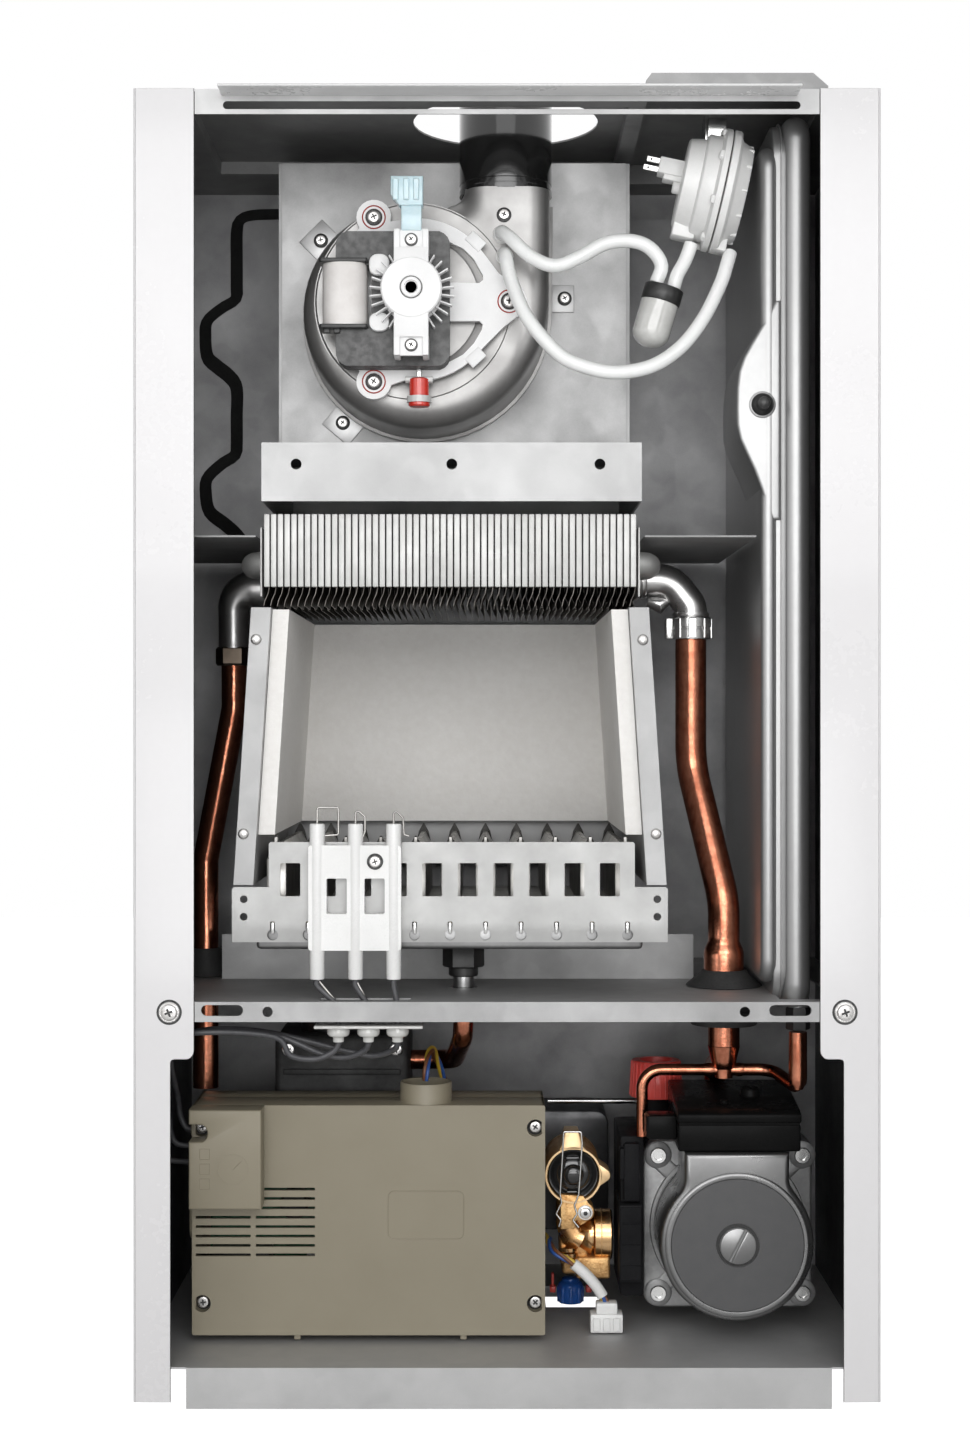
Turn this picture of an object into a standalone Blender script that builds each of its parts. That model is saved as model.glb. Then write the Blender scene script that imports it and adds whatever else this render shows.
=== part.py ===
"""Wall-hung fan-flued gas boiler with its front cover taken off.

Metres, +Z up. The origin is the centre of the rear face that lies on the wall,
+X is to the right seen from the front and +Y points into the wall.
"""
import math

import bmesh
import bpy
from mathutils import Matrix, Vector

# Driving dimensions of the casing
HALF_WIDTH = 0.200
DEPTH = 0.230
CASE_TOP = 0.3505
CASE_BOTTOM = -0.3525
SHEET = 0.001
GAP = 0.0003
FRONT = -DEPTH
INNER = HALF_WIDTH - SHEET - GAP
FLANGE_UPPER = 0.0326
FLANGE_LOWER = 0.0200
FLANGE_STEP = -0.169

# Levels of the shelves and the floor
PARTITION_TOP = -0.1383
PARTITION_RAIL = 0.0107
MID_SHELF = 0.1136
FLOOR_TOP = -0.334
FLOOR_SKIRT = 0.022
TOP_SHEET = 0.3481
TOP_PRESSING = 0.0075

# Axes that several pieces share, as X and Z or as X and Y
FLUE_X, FLUE_Y = 0.0, -0.142
FLUE_HOLE = 0.053
FLUE_TUBE = 0.0265
FAN_X, FAN_Z = -0.052, 0.248
PUMP_X, PUMP_Z = 0.128, -0.278
CORE_X = -0.0308
VALVE_X, VALVE_Z = 0.0383, -0.2453
RELIEF_X, RELIEF_Y = 0.0896, -0.100
TAP_X, TAP_Y = 0.0397, -0.080


def behind(depth):
    """Y of a plane that lies this far behind the front of the casing."""
    return FRONT + depth


def clear_scene():
    for item in list(bpy.data.objects):
        bpy.data.objects.remove(item, do_unlink=True)


def material(name, colour, roughness, metallic=0.0):
    made = bpy.data.materials.get(name) or bpy.data.materials.new(name)
    made.use_nodes = True
    shader = made.node_tree.nodes["Principled BSDF"]
    shader.inputs["Base Color"].default_value = (*colour, 1.0)
    shader.inputs["Roughness"].default_value = roughness
    shader.inputs["Metallic"].default_value = metallic
    made.diffuse_color = (*colour, 1.0)
    return made


def add(name, bm, look, location=(0, 0, 0), rotation=(0, 0, 0), parent=None, smooth=False):
    """Turn a bmesh into a named object with its finish."""
    bmesh.ops.remove_doubles(bm, verts=bm.verts, dist=1e-6)
    bmesh.ops.recalc_face_normals(bm, faces=bm.faces)
    mesh = bpy.data.meshes.new(name)
    bm.to_mesh(mesh)
    bm.free()
    if smooth:
        mesh.shade_smooth()
        mesh.set_sharp_from_angle(angle=math.radians(35))
    thing = bpy.data.objects.new(name, mesh)
    bpy.context.scene.collection.objects.link(thing)
    thing.location = location
    thing.rotation_euler = rotation
    thing.parent = parent
    if look:
        mesh.materials.append(look)
    return thing


def axis_empty(name, location, rotation=(0, 0, 0)):
    marker = bpy.data.objects.new(name, None)
    marker.location = location
    marker.rotation_euler = rotation
    bpy.context.scene.collection.objects.link(marker)
    return marker


def helper(thing):
    """Mark an object as a cutter or a joined shape that is not a piece itself."""
    thing.hide_render = True
    thing.display_type = 'WIRE'
    return thing


def combine(target, other, operation):
    helper(other)
    change = target.modifiers.new(operation.title() + "_" + other.name, 'BOOLEAN')
    change.operation = operation
    change.object = other
    change.solver = 'EXACT'
    return target


def cut(target, *others):
    for other in others:
        combine(target, other, 'DIFFERENCE')
    return target


def join(target, *others):
    for other in others:
        combine(target, other, 'UNION')
    return target


def box_mesh(x, y, z):
    """A box between two X, two Y and two Z values."""
    bm = bmesh.new()
    size = Vector((x[1] - x[0], y[1] - y[0], z[1] - z[0]))
    centre = Vector((x[0] + x[1], y[0] + y[1], z[0] + z[1])) / 2
    bmesh.ops.create_cube(bm, size=1.0)
    bmesh.ops.scale(bm, vec=size, verts=bm.verts)
    bmesh.ops.translate(bm, vec=centre, verts=bm.verts)
    return bm


def box(name, x, y, z, look=None, bevel=0.0, segments=2, location=(0, 0, 0),
        rotation=(0, 0, 0), parent=None):
    bm = box_mesh(x, y, z)
    if bevel:
        bmesh.ops.bevel(bm, geom=bm.edges[:], offset=bevel, segments=segments, profile=0.5,
                        affect='EDGES', material=-1)
    return add(name, bm, look, location, rotation, parent)


def prism(name, outline, axis, start, end, look=None, location=(0, 0, 0), rotation=(0, 0, 0),
          parent=None, smooth=False):
    """Extrude an outline along an axis: X takes (Y, Z), Y takes (X, Z), Z takes (X, Y)."""
    place = {'X': lambda u, v: (start, u, v),
             'Y': lambda u, v: (u, start, v),
             'Z': lambda u, v: (u, v, start)}[axis]
    along = {'X': Vector((1, 0, 0)), 'Y': Vector((0, 1, 0)), 'Z': Vector((0, 0, 1))}[axis]
    bm = bmesh.new()
    face = bm.faces.new([bm.verts.new(place(u, v)) for u, v in outline])
    grown = bmesh.ops.extrude_face_region(bm, geom=[face])
    moved = [item for item in grown["geom"] if isinstance(item, bmesh.types.BMVert)]
    bmesh.ops.translate(bm, vec=along * (end - start), verts=moved)
    return add(name, bm, look, location, rotation, parent, smooth)


def turned(name, profile, sides=24, look=None, location=(0, 0, 0), rotation=(0, 0, 0),
           parent=None):
    """Spin a profile of (radius, height) round local Z; its ends close on the axis or
    meet each other for a ring."""
    bm = bmesh.new()
    verts = [bm.verts.new((radius, 0, height)) for radius, height in profile]
    edges = [bm.edges.new(pair) for pair in zip(verts, verts[1:])]
    if min(profile[0][0], profile[-1][0]) > 0:
        edges.append(bm.edges.new((verts[-1], verts[0])))
    bmesh.ops.spin(bm, geom=verts + edges, cent=(0, 0, 0), axis=(0, 0, 1),
                   angle=math.tau, steps=sides, use_merge=True)
    return add(name, bm, look, location, rotation, parent, smooth=True)


def disc_profile(radius, low, high, bore=0.0):
    if bore:
        return [(bore, low), (radius, low), (radius, high), (bore, high)]
    return [(0, low), (radius, low), (radius, high), (0, high)]


FORWARD = (math.radians(90), 0, 0)


def facing(name, profile, x, z, front, sides=24, look=None, parent=None):
    """A turned piece whose axis runs front to back; heights count forwards from a plane."""
    return turned(name, profile, sides, look, (x, front, z), FORWARD, parent)


def arc(centre, radius, first, last, steps):
    """Points on an arc, angles in degrees."""
    turns = [math.radians(first + (last - first) * i / steps) for i in range(steps + 1)]
    return [(centre[0] + radius * math.cos(a), centre[1] + radius * math.sin(a))
            for a in turns]


def rounded(x, z, radius, steps=3):
    """A rectangle with round corners, anticlockwise."""
    (x0, x1), (z0, z1) = x, z
    corners = [((x1 - radius, z0 + radius), -90), ((x1 - radius, z1 - radius), 0),
               ((x0 + radius, z1 - radius), 90), ((x0 + radius, z0 + radius), 180)]
    return [p for centre, first in corners for p in arc(centre, radius, first, first + 90, steps)]


def bent_route(corners, radius, steps=4):
    """Straight runs between corners, joined by arcs as a bent pipe is."""
    points = [Vector(corners[0])]
    for before, here, after in zip(corners, corners[1:], corners[2:]):
        before, here, after = Vector(before), Vector(here), Vector(after)
        back, on = (before - here).normalized(), (after - here).normalized()
        half = back.angle(on) / 2
        reach = min(radius / math.tan(half), 0.49 * (before - here).length,
                    0.49 * (after - here).length)
        middle = here + (back + on).normalized() * (reach / math.cos(half))
        start, end = here + back * reach, here + on * reach
        spread = (start - middle).angle(end - middle)
        for i in range(steps + 1):
            share = i / steps
            first = math.sin((1 - share) * spread) / math.sin(spread)
            second = math.sin(share * spread) / math.sin(spread)
            points.append(middle + (start - middle) * first + (end - middle) * second)
    points.append(Vector(corners[-1]))
    return points


def smooth_route(anchors, spacing):
    """Points at an even spacing on a smooth curve through a hose's anchors, its ends square."""
    anchors = [Vector(p) for p in anchors]
    padded = [2 * anchors[0] - anchors[1]] + anchors + [2 * anchors[-1] - anchors[-2]]
    fine = []
    for p0, p1, p2, p3 in zip(padded, padded[1:], padded[2:], padded[3:]):
        for i in range(20):
            t = i / 20
            fine.append(0.5 * (2 * p1 + (p2 - p0) * t + (2 * p0 - 5 * p1 + 4 * p2 - p3) * t ** 2
                               + (3 * p1 - p0 - 3 * p2 + p3) * t ** 3))
    fine.append(anchors[-1])
    lengths = [0.0]
    for a, b in zip(fine, fine[1:]):
        lengths.append(lengths[-1] + (b - a).length)
    count = max(3, round(lengths[-1] / spacing))
    points, at = [], 0
    for i in range(count + 1):
        goal = lengths[-1] * i / count
        while at < len(fine) - 2 and lengths[at + 1] < goal:
            at += 1
        share = (goal - lengths[at]) / (lengths[at + 1] - lengths[at])
        points.append(fine[at].lerp(fine[at + 1], min(1.0, share)))
    square = 0.0015
    points.insert(1, anchors[0] + (anchors[1] - anchors[0]).normalized() * square)
    points.insert(-1, anchors[-1] + (anchors[-2] - anchors[-1]).normalized() * square)
    return points


def tube_curve(name, points, diameter, look=None, resolution=2, radii=None):
    """A round tube along points, as a curve with filled caps."""
    curve = bpy.data.curves.new(name, 'CURVE')
    curve.dimensions = '3D'
    curve.bevel_depth = diameter / 2
    curve.bevel_resolution = resolution
    curve.use_fill_caps = True
    spline = curve.splines.new('POLY')
    spline.points.add(len(points) - 1)
    for index, (slot, point) in enumerate(zip(spline.points, points)):
        slot.co = (*point, 1.0)
        slot.radius = radii[index] if radii else 1.0
    tube = bpy.data.objects.new(name, curve)
    bpy.context.scene.collection.objects.link(tube)
    if look:
        curve.materials.append(look)
    return tube


def pipe(name, points, diameter, look=None, resolution=3, radii=None):
    """The same tube as a mesh, for pipes that other shapes are joined to."""
    guide = tube_curve(name + "_guide", points, diameter, None, resolution, radii)
    bpy.context.view_layer.update()
    mesh = bpy.data.meshes.new_from_object(guide)
    bm = bmesh.new()
    bm.from_mesh(mesh)
    bpy.data.objects.remove(guide, do_unlink=True)
    bpy.data.meshes.remove(mesh)
    return add(name, bm, look, smooth=True)


# Finishes
def finishes():
    return {
        "white": material("white_enamel", (0.86, 0.85, 0.85), 0.35),
        "zinc": material("galvanised_steel", (0.60, 0.60, 0.60), 0.45, 0.8),
        "dark_zinc": material("shaded_steel", (0.30, 0.30, 0.30), 0.5, 0.6),
        "satin": material("satin_steel", (0.62, 0.61, 0.60), 0.35, 0.9),
        "black": material("black_plastic", (0.02, 0.02, 0.02), 0.4),
        "gloss_black": material("black_enamel", (0.015, 0.015, 0.015), 0.2),
        "white_plastic": material("white_plastic", (0.82, 0.82, 0.80), 0.4),
        "coil": material("coil_tape", (0.85, 0.84, 0.80), 0.6),
        "laminations": material("steel_laminations", (0.12, 0.12, 0.12), 0.5, 0.7),
        "silicone": material("silicone_rubber", (0.80, 0.79, 0.76), 0.35),
        "copper": material("copper", (0.72, 0.33, 0.20), 0.3, 1.0),
        "fins": material("copper_fins", (0.55, 0.52, 0.50), 0.35, 0.9),
        "fibre": material("ceramic_fibre", (0.84, 0.82, 0.75), 0.95),
        "ceramic": material("white_ceramic", (0.88, 0.87, 0.84), 0.3),
        "rubber": material("dark_rubber", (0.06, 0.06, 0.06), 0.7),
        "lead": material("lead_sleeve", (0.07, 0.07, 0.075), 0.6),
        "olive": material("olive_plastic", (0.26, 0.235, 0.175), 0.5),
        "board": material("circuit_board", (0.05, 0.20, 0.09), 0.5),
        "motor": material("pump_can", (0.42, 0.42, 0.42), 0.4, 0.8),
        "cast": material("composite_black", (0.03, 0.03, 0.03), 0.55),
        "brass": material("brass", (0.55, 0.42, 0.22), 0.35, 0.9),
        "chrome": material("chrome", (0.75, 0.75, 0.75), 0.15, 1.0),
        "red": material("red_plastic", (0.65, 0.03, 0.03), 0.45),
        "blue": material("blue_plastic", (0.03, 0.22, 0.55), 0.4),
        "silver": material("silver_enamel", (0.52, 0.52, 0.53), 0.3, 0.5),
        "burner": material("stainless_burner", (0.50, 0.50, 0.49), 0.35, 0.9),
    }


# Casing
def side_panel(name, side, look):
    """Folded side sheet: a wall and a front flange that is narrower low down."""
    outer, inner = side * HALF_WIDTH, side * (HALF_WIDTH - SHEET)
    edge = side * (HALF_WIDTH - FLANGE_UPPER)
    outline = [(outer, FRONT), (edge, FRONT), (edge, FRONT + SHEET), (inner, FRONT + SHEET),
               (inner, 0), (outer, 0)]
    panel = prism(name, outline, 'Z', CASE_BOTTOM, CASE_TOP, look)
    narrow = side * (HALF_WIDTH - FLANGE_LOWER)
    beyond = edge - side * 0.01
    notch = box(name + "_notch", sorted((narrow, beyond)), (FRONT - 0.005, FRONT + 0.005),
                (CASE_BOTTOM - 0.01, FLANGE_STEP))
    return cut(panel, notch)


def top_plate(look):
    """Top sheet with a raised pressing round the flue hole and a higher one over the vessel."""
    pressed = ((-0.1746, 0.068), (behind(0.027), behind(0.175)))
    vessel_side = ((0.075, -0.222), (0.173, -0.030))
    sheet = box("top_plate", (-INNER, INNER), (FRONT + SHEET + GAP, -0.0016),
                (TOP_SHEET, TOP_SHEET + SHEET), look)
    raised = box("pressing_outside", pressed[0], pressed[1],
                 (TOP_SHEET, TOP_SHEET + SHEET + TOP_PRESSING))
    hump_outline = [(0.075, TOP_SHEET), (0.173, TOP_SHEET), (0.173, 0.354), (0.165, 0.361),
                    (0.078, 0.361), (0.075, 0.357)]
    hump = prism("hump_outside", hump_outline, 'Y', vessel_side[0][1], vessel_side[1][1])
    join(sheet, raised, hump)
    under = box("pressing_inside", (pressed[0][0] + SHEET, pressed[0][1] - SHEET),
                (pressed[1][0] + SHEET, pressed[1][1] - SHEET),
                (TOP_SHEET - 0.01, TOP_SHEET + TOP_PRESSING))
    hump_inner = [(0.0762, TOP_SHEET - 0.01), (0.1718, TOP_SHEET - 0.01), (0.1718, 0.3535),
                  (0.1645, 0.3599), (0.0785, 0.3599), (0.0762, 0.3565)]
    hump_under = prism("hump_inside", hump_inner, 'Y', vessel_side[0][1] + SHEET,
                       vessel_side[1][1] - SHEET)
    hole = turned("flue_hole", disc_profile(FLUE_HOLE, TOP_SHEET - 0.02, TOP_SHEET + 0.03), 40,
                  location=(FLUE_X, FLUE_Y, 0))
    return cut(sheet, under, hump_under, hole)


def top_rail(look):
    """Front rail with a slot and, above it, the lip that the front cover hooks over."""
    reach = HALF_WIDTH - FLANGE_UPPER - GAP
    rail = box("top_rail", (-reach, reach), (FRONT, FRONT + SHEET), (0.3366, 0.3500), look)
    lip = box("cover_lip", (-0.153, 0.1555), (FRONT - 0.018, FRONT + 0.0005), (0.3463, 0.3479))
    join(rail, lip)
    slot = prism("lip_slot", rounded((-0.152, 0.157), (0.3392, 0.3435), 0.0021), 'Y',
                 FRONT - 0.004, FRONT + 0.004)
    return cut(rail, slot)


def back_panel(look):
    """Rear sheet with a forward pressing behind the fan; the pressing's left edge waves."""
    sheet_back = 0.0012
    panel = box("back_panel", (-INNER, INNER), (-sheet_back, 0), (-0.3335, 0.3475), look)
    low, high, right = 0.119, 0.336, 0.1448
    height = high - low

    def edge(share, inset):
        wave = 0.008 * (1 - math.cos(share * 4 * math.pi)) / 2
        return (-0.178 - 2 * wave + inset, low + inset + share * (height - 2 * inset))

    def outline(inset):
        left = [edge(i / 16, inset) for i in range(17)]
        return [(right - inset, low + inset), (right - inset, high - inset)] + left[::-1]

    raised = prism("back_pressing", outline(0), 'Y', -0.0085, -0.0006)
    hollow = prism("back_pressing_rear", outline(SHEET), 'Y', -0.0075, 0.002)
    join(panel, raised)
    return cut(panel, hollow)


def bottom_tray(look):
    """Floor sheet with a front skirt and the opening that the filling tap stands in."""
    floor = box("bottom_tray", (-INNER, INNER), (FRONT + SHEET + GAP, -0.0016),
                (FLOOR_TOP - SHEET, FLOOR_TOP), look)
    skirt = box("tray_skirt", (-0.1717, 0.1738), (FRONT, FRONT + SHEET),
                (FLOOR_TOP - FLOOR_SKIRT, FLOOR_TOP))
    bridge = box("tray_fold", (-0.1717, 0.1738), (FRONT, FRONT + 0.004),
                 (FLOOR_TOP - SHEET, FLOOR_TOP))
    join(floor, skirt, bridge)
    opening = box("tap_opening", (0.0242, 0.0568), (behind(0.124), behind(0.173)),
                  (FLOOR_TOP - 0.01, FLOOR_TOP + 0.01))
    return cut(floor, opening)


def partition_shelf(look):
    """Shelf under the burner: front rail with two slots, and the holes for what passes."""
    top = PARTITION_TOP
    shelf = box("partition_shelf", (-INNER, INNER), (FRONT + SHEET + GAP, -0.0016),
                (top - SHEET, top), look)
    reach = HALF_WIDTH - FLANGE_UPPER - GAP
    rail_outline = [(FRONT, top - PARTITION_RAIL), (FRONT + SHEET, top - PARTITION_RAIL),
                    (FRONT + SHEET, top - SHEET), (FRONT + 0.004, top - SHEET),
                    (FRONT + 0.004, top), (FRONT, top)]
    rail = prism("partition_rail", rail_outline, 'X', -reach, reach)
    stand = box("burner_stand", (-0.1655, 0.1100), (behind(0.110), behind(0.111)),
                (top - 0.0005, top + 0.026))
    join(shelf, rail, stand)
    openings = [prism("rail_slot_left", rounded((-0.1637, -0.1412), (-0.1458, -0.1399), 0.0029),
                      'Y', FRONT - 0.003, FRONT + 0.003),
                prism("rail_slot_right", rounded((0.1402, 0.1629), (-0.1458, -0.1399), 0.0029),
                      'Y', FRONT - 0.003, FRONT + 0.003),
                box("vessel_notch", (0.1475, 0.1790), (behind(0.012), behind(0.214)),
                    (top - 0.01, top + 0.01)),
                turned("gas_hole", disc_profile(0.0085, top - 0.01, top + 0.01), 16,
                       location=(GAS_X, GAS_Y, 0)),
                turned("flow_hole", disc_profile(0.0165, top - 0.01, top + 0.01), 20,
                       location=(FLOW_X, FLOW_Y, 0)),
                turned("return_hole", disc_profile(0.0112, top - 0.01, top + 0.01), 16,
                       location=(RETURN_X, RETURN_Y, 0)),
                box("lead_slot", (-0.1010, -0.0520), (behind(0.0060), behind(0.0165)),
                    (top - 0.01, top + 0.01))]
    openings += [facing("rail_hole_%d" % i, disc_profile(0.0028, -0.003, 0.003), x, -0.1436, FRONT, 14)
                 for i, x in enumerate((-0.1281, 0.1272))]
    return cut(shelf, *openings)


def mid_shelf(look):
    """Shelf that closes the fan compartment, open round the heat exchanger."""
    shelf = box("mid_shelf", (-INNER, 0.1365), (behind(0.0266), -0.0095),
                (MID_SHELF - SHEET, MID_SHELF), look)
    opening = box("exchanger_opening", (-0.1372, 0.0756), (behind(0.010), behind(0.2125)),
                  (MID_SHELF - 0.01, MID_SHELF + 0.01))
    rear = box("shelf_rear", (-0.1655, 0.1300), (-0.0100, -0.0088), (MID_SHELF - SHEET, MID_SHELF))
    join(shelf, rear)
    return cut(shelf, opening)


# Flue, fan and air pressure switch
HOOD_X = (-0.1330, 0.0732)
DUCT_FRONT = 0.118
HOOD_HOLES = (-0.1142, -0.0298, 0.0505)
HOOD_HOLE_Z = 0.1513
HOOD_HOLE = 0.0030


def flue_hood(look):
    """Hood over the exchanger whose rear part rises as a duct behind the fan plate."""
    def outline(inset, foot):
        return [(behind(0.016) + inset, foot), (behind(0.205) - inset, foot),
                (behind(0.205) - inset, 0.3400 - inset), (behind(DUCT_FRONT) + inset, 0.3400 - inset),
                (behind(DUCT_FRONT) + inset, 0.1630 - inset), (behind(0.016) + inset, 0.1630 - inset)]
    hood = prism("flue_hood", outline(0, 0.1312), 'X', HOOD_X[0], HOOD_X[1], look)
    hollow = prism("hood_hollow", outline(SHEET, 0.1200), 'X', HOOD_X[0] + SHEET,
                   HOOD_X[1] - SHEET)
    inlet = facing("duct_outlet", disc_profile(0.040, -0.004, 0.004), FAN_X, FAN_Z,
                   behind(DUCT_FRONT), 24)
    fixings = [facing("hood_hole_%d" % i, disc_profile(HOOD_HOLE, -0.004, 0.004), x, HOOD_HOLE_Z,
                      behind(0.016), 14) for i, x in enumerate(HOOD_HOLES)]
    return cut(hood, hollow, inlet, *fixings)


def fan_plate(look):
    """Galvanised plate that carries the fan; its round hole is the fan's inlet."""
    plate = box("fan_plate", (-0.1310, 0.0710), (behind(0.1167), behind(0.1177)),
                (0.1633, 0.3400), look)
    inlet = facing("plate_inlet", disc_profile(0.034, -0.004, 0.004), FAN_X, FAN_Z,
                   behind(0.117), 24)
    return cut(plate, inlet)


def scroll_outline(inset):
    """Scroll that widens from its left side to its right side and runs into the neck."""
    start, points = 67.5, []
    for i in range(29):
        angle = math.radians(start + (360 - start) * i / 28)
        radius = 0.068 + 0.012 * i / 28 - inset
        points.append((FAN_X + radius * math.cos(angle), FAN_Z + radius * math.sin(angle)))
    left, right, top = -0.026 + inset, 0.028 - inset, 0.3225 + (0.01 if inset else 0)
    return [(right, top), (left, top), (left, points[0][1])] + points


def fan_volute(look):
    """Stamped scroll: rim, front wall with the motor hole, open at the back and the neck."""
    volute = prism("fan_volute", scroll_outline(0), 'Y', behind(0.0620), behind(0.1164), look)
    hollow = prism("volute_hollow", scroll_outline(0.0012), 'Y', behind(0.0632), behind(0.1200))
    shaft_hole = facing("motor_hole", disc_profile(0.012, -0.01, 0.01), FAN_X, FAN_Z,
                        behind(0.062), 20)
    return cut(volute, hollow, shaft_hole)


def paddles(count, hub_radius, tip, half):
    """Outline of a hub with radial paddles, round its own centre."""
    points = []
    for i in range(count):
        turn = math.tau * (i + 0.3) / count
        along = Vector((math.cos(turn), math.sin(turn)))
        across = Vector((-along.y, along.x)) * half
        for radius, side in ((hub_radius, -1), (tip, -1), (tip, 1), (hub_radius, 1)):
            points.append(tuple(along * radius + across * side))
    return points


def fan_impeller(look, hub):
    """Radial wheel: paddles on a hub, a disc in front of them and a ring behind."""
    wheel = prism("fan_impeller", paddles(12, 0.0100, 0.0565, 0.0005), 'Y', behind(0.0715),
                  behind(0.1065), look, parent=hub)
    disc = facing("impeller_disc", disc_profile(0.058, -0.0010, 0.0), 0, 0, behind(0.071), 32,
                  None, hub)
    ring = facing("impeller_ring", disc_profile(0.058, -0.0010, 0.0, 0.036), 0, 0, behind(0.106),
                  32, None, hub)
    join(wheel, disc, ring)
    return cut(wheel, shaft_bore("impeller_bore", hub))


def shaft_bore(name, hub):
    """Cutter a little wider than the shaft, along the fan's axis."""
    return facing(name, disc_profile(0.0038, -0.1000, 0.0), 0, 0, behind(0.010), 16, None, hub)


def fan_shaft(look, hub):
    return facing("fan_shaft", disc_profile(0.0035, -0.0700, 0.0), 0, 0, behind(0.020), 16, look, hub)


def fan_cooling_wheel(look, hub):
    """Small white wheel in front of the motor, its vanes radial."""
    wheel = prism("fan_cooling_wheel", paddles(14, 0.0070, 0.0235, 0.0007), 'Y', behind(0.0305),
                  behind(0.0363), look, parent=hub)
    disc = facing("cooling_disc", disc_profile(0.0160, -0.0020, 0.0), 0, 0, behind(0.035), 28,
                  None, hub)
    join(wheel, disc)
    return cut(wheel, shaft_bore("cooling_bore", hub))


def fan_spider(look):
    """White moulded motor plate with two windows beside a spoke and three grommet lugs that
    stand on the scroll."""
    lugs = [(-0.0740, 0.2940), (-0.0740, 0.2020), (0.0018, 0.2470)]
    lug_radius, rim_centre, rim_radius = 0.0098, (-0.0500, 0.2480), 0.0455
    outline = arc(lugs[2], lug_radius, -70, 62, 5) + [(-0.0040, 0.2625), (-0.0100, 0.2705)]
    outline += arc(rim_centre, rim_radius, 40, 96, 5) + [(-0.0650, 0.2915)]
    outline += arc(lugs[0], lug_radius, 10, 215, 8) + [(-0.0890, 0.2480)]
    outline += arc(lugs[1], lug_radius, 145, 350, 8) + arc(rim_centre, rim_radius, 262, 318, 5)
    outline += [(-0.0100, 0.2240), (-0.0015, 0.2325)]
    plate = prism("fan_spider", outline, 'Y', behind(0.0546), behind(0.0584), look)
    feet = [facing("spider_lug_%d" % i, disc_profile(lug_radius - 0.0002, 0.0, 0.0066), x, z,
                   behind(0.0614), 16) for i, (x, z) in enumerate(lugs)]
    upper = [(-0.0318, 0.2802), (-0.0318, 0.2575), (-0.0150, 0.2572), (-0.0128, 0.2590),
             (-0.0130, 0.2615), (-0.0180, 0.2705), (-0.0240, 0.2765)]
    lower = [(-0.0318, 0.2130), (-0.0240, 0.2172), (-0.0180, 0.2235), (-0.0135, 0.2312),
             (-0.0130, 0.2340), (-0.0150, 0.2360), (-0.0318, 0.2360)]
    windows = [prism("spider_window_%d" % i, points, 'Y', behind(0.0500), behind(0.0600))
               for i, points in enumerate((upper, lower))]
    bore = facing("spider_bore", disc_profile(0.0125, -0.01, 0.01), FAN_X, FAN_Z, behind(0.056), 20)
    join(plate, *feet)
    return cut(plate, bore, *windows)


def fan_motor(looks):
    """Shaded-pole motor: a laminated stator, the coil on its left limb and the front bridge."""
    stator = prism("fan_stator", [(-0.0945, 0.2150), (-0.0875, 0.2080), (-0.0380, 0.2080),
                                  (-0.0310, 0.2150), (-0.0310, 0.2760), (-0.0380, 0.2830),
                                  (-0.0875, 0.2830), (-0.0945, 0.2760)],
                   'Y', behind(0.0385), behind(0.0542), looks["laminations"])
    bore = facing("stator_bore", disc_profile(0.0125, -0.03, 0.03), FAN_X, FAN_Z, behind(0.046), 20)
    window = box("stator_window", (-0.0835, -0.0745), (behind(0.03), behind(0.06)), (0.2290, 0.2640))
    left_window = box("stator_side", (-0.1100, -0.0925), (behind(0.03), behind(0.06)),
                      (0.2290, 0.2640))
    cut(stator, bore, window, left_window)
    coil = box("fan_coil", (-0.1032, -0.0762), (behind(0.0330), behind(0.0541)), (0.2293, 0.2637),
               looks["coil"], 0.003, 1)
    core = box("coil_core", (-0.0928, -0.0832), (behind(0.0380), behind(0.0560)), (0.2200, 0.2700))
    cut(coil, core)
    bridge = box("fan_bridge", (-0.0615, -0.0425), (behind(0.0195), behind(0.0225)),
                 (0.2110, 0.2800), looks["white_plastic"])
    ring = facing("bridge_bearing", disc_profile(0.0062, -0.0060, 0.0035, 0.0038), FAN_X, FAN_Z,
                  behind(0.0195), 20)
    hole = facing("bridge_bore", disc_profile(0.0038, -0.02, 0.02), FAN_X, FAN_Z, behind(0.02), 20)
    feet = [box("bridge_foot_%d" % i, (-0.0600, -0.0440), (behind(0.0210), behind(0.0382)), z)
            for i, z in enumerate(((0.2110, 0.2160), (0.2750, 0.2800)))]
    join(bridge, ring, *feet)
    cut(bridge, hole)
    return stator, coil, bridge


def flue_pipe(look):
    """Black outlet pipe from the fan's neck through the hole in the top plate."""
    top, foot = 0.3660, 0.3228
    return turned("flue_pipe", [(0.0250, foot), (FLUE_TUBE, foot), (FLUE_TUBE, top), (0.0250, top)],
                  36, look, (FLUE_X, FLUE_Y, 0))


SWITCH_AT = (0.1190, behind(0.045), 0.3060)
SWITCH_TILT = math.radians(12)


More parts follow.
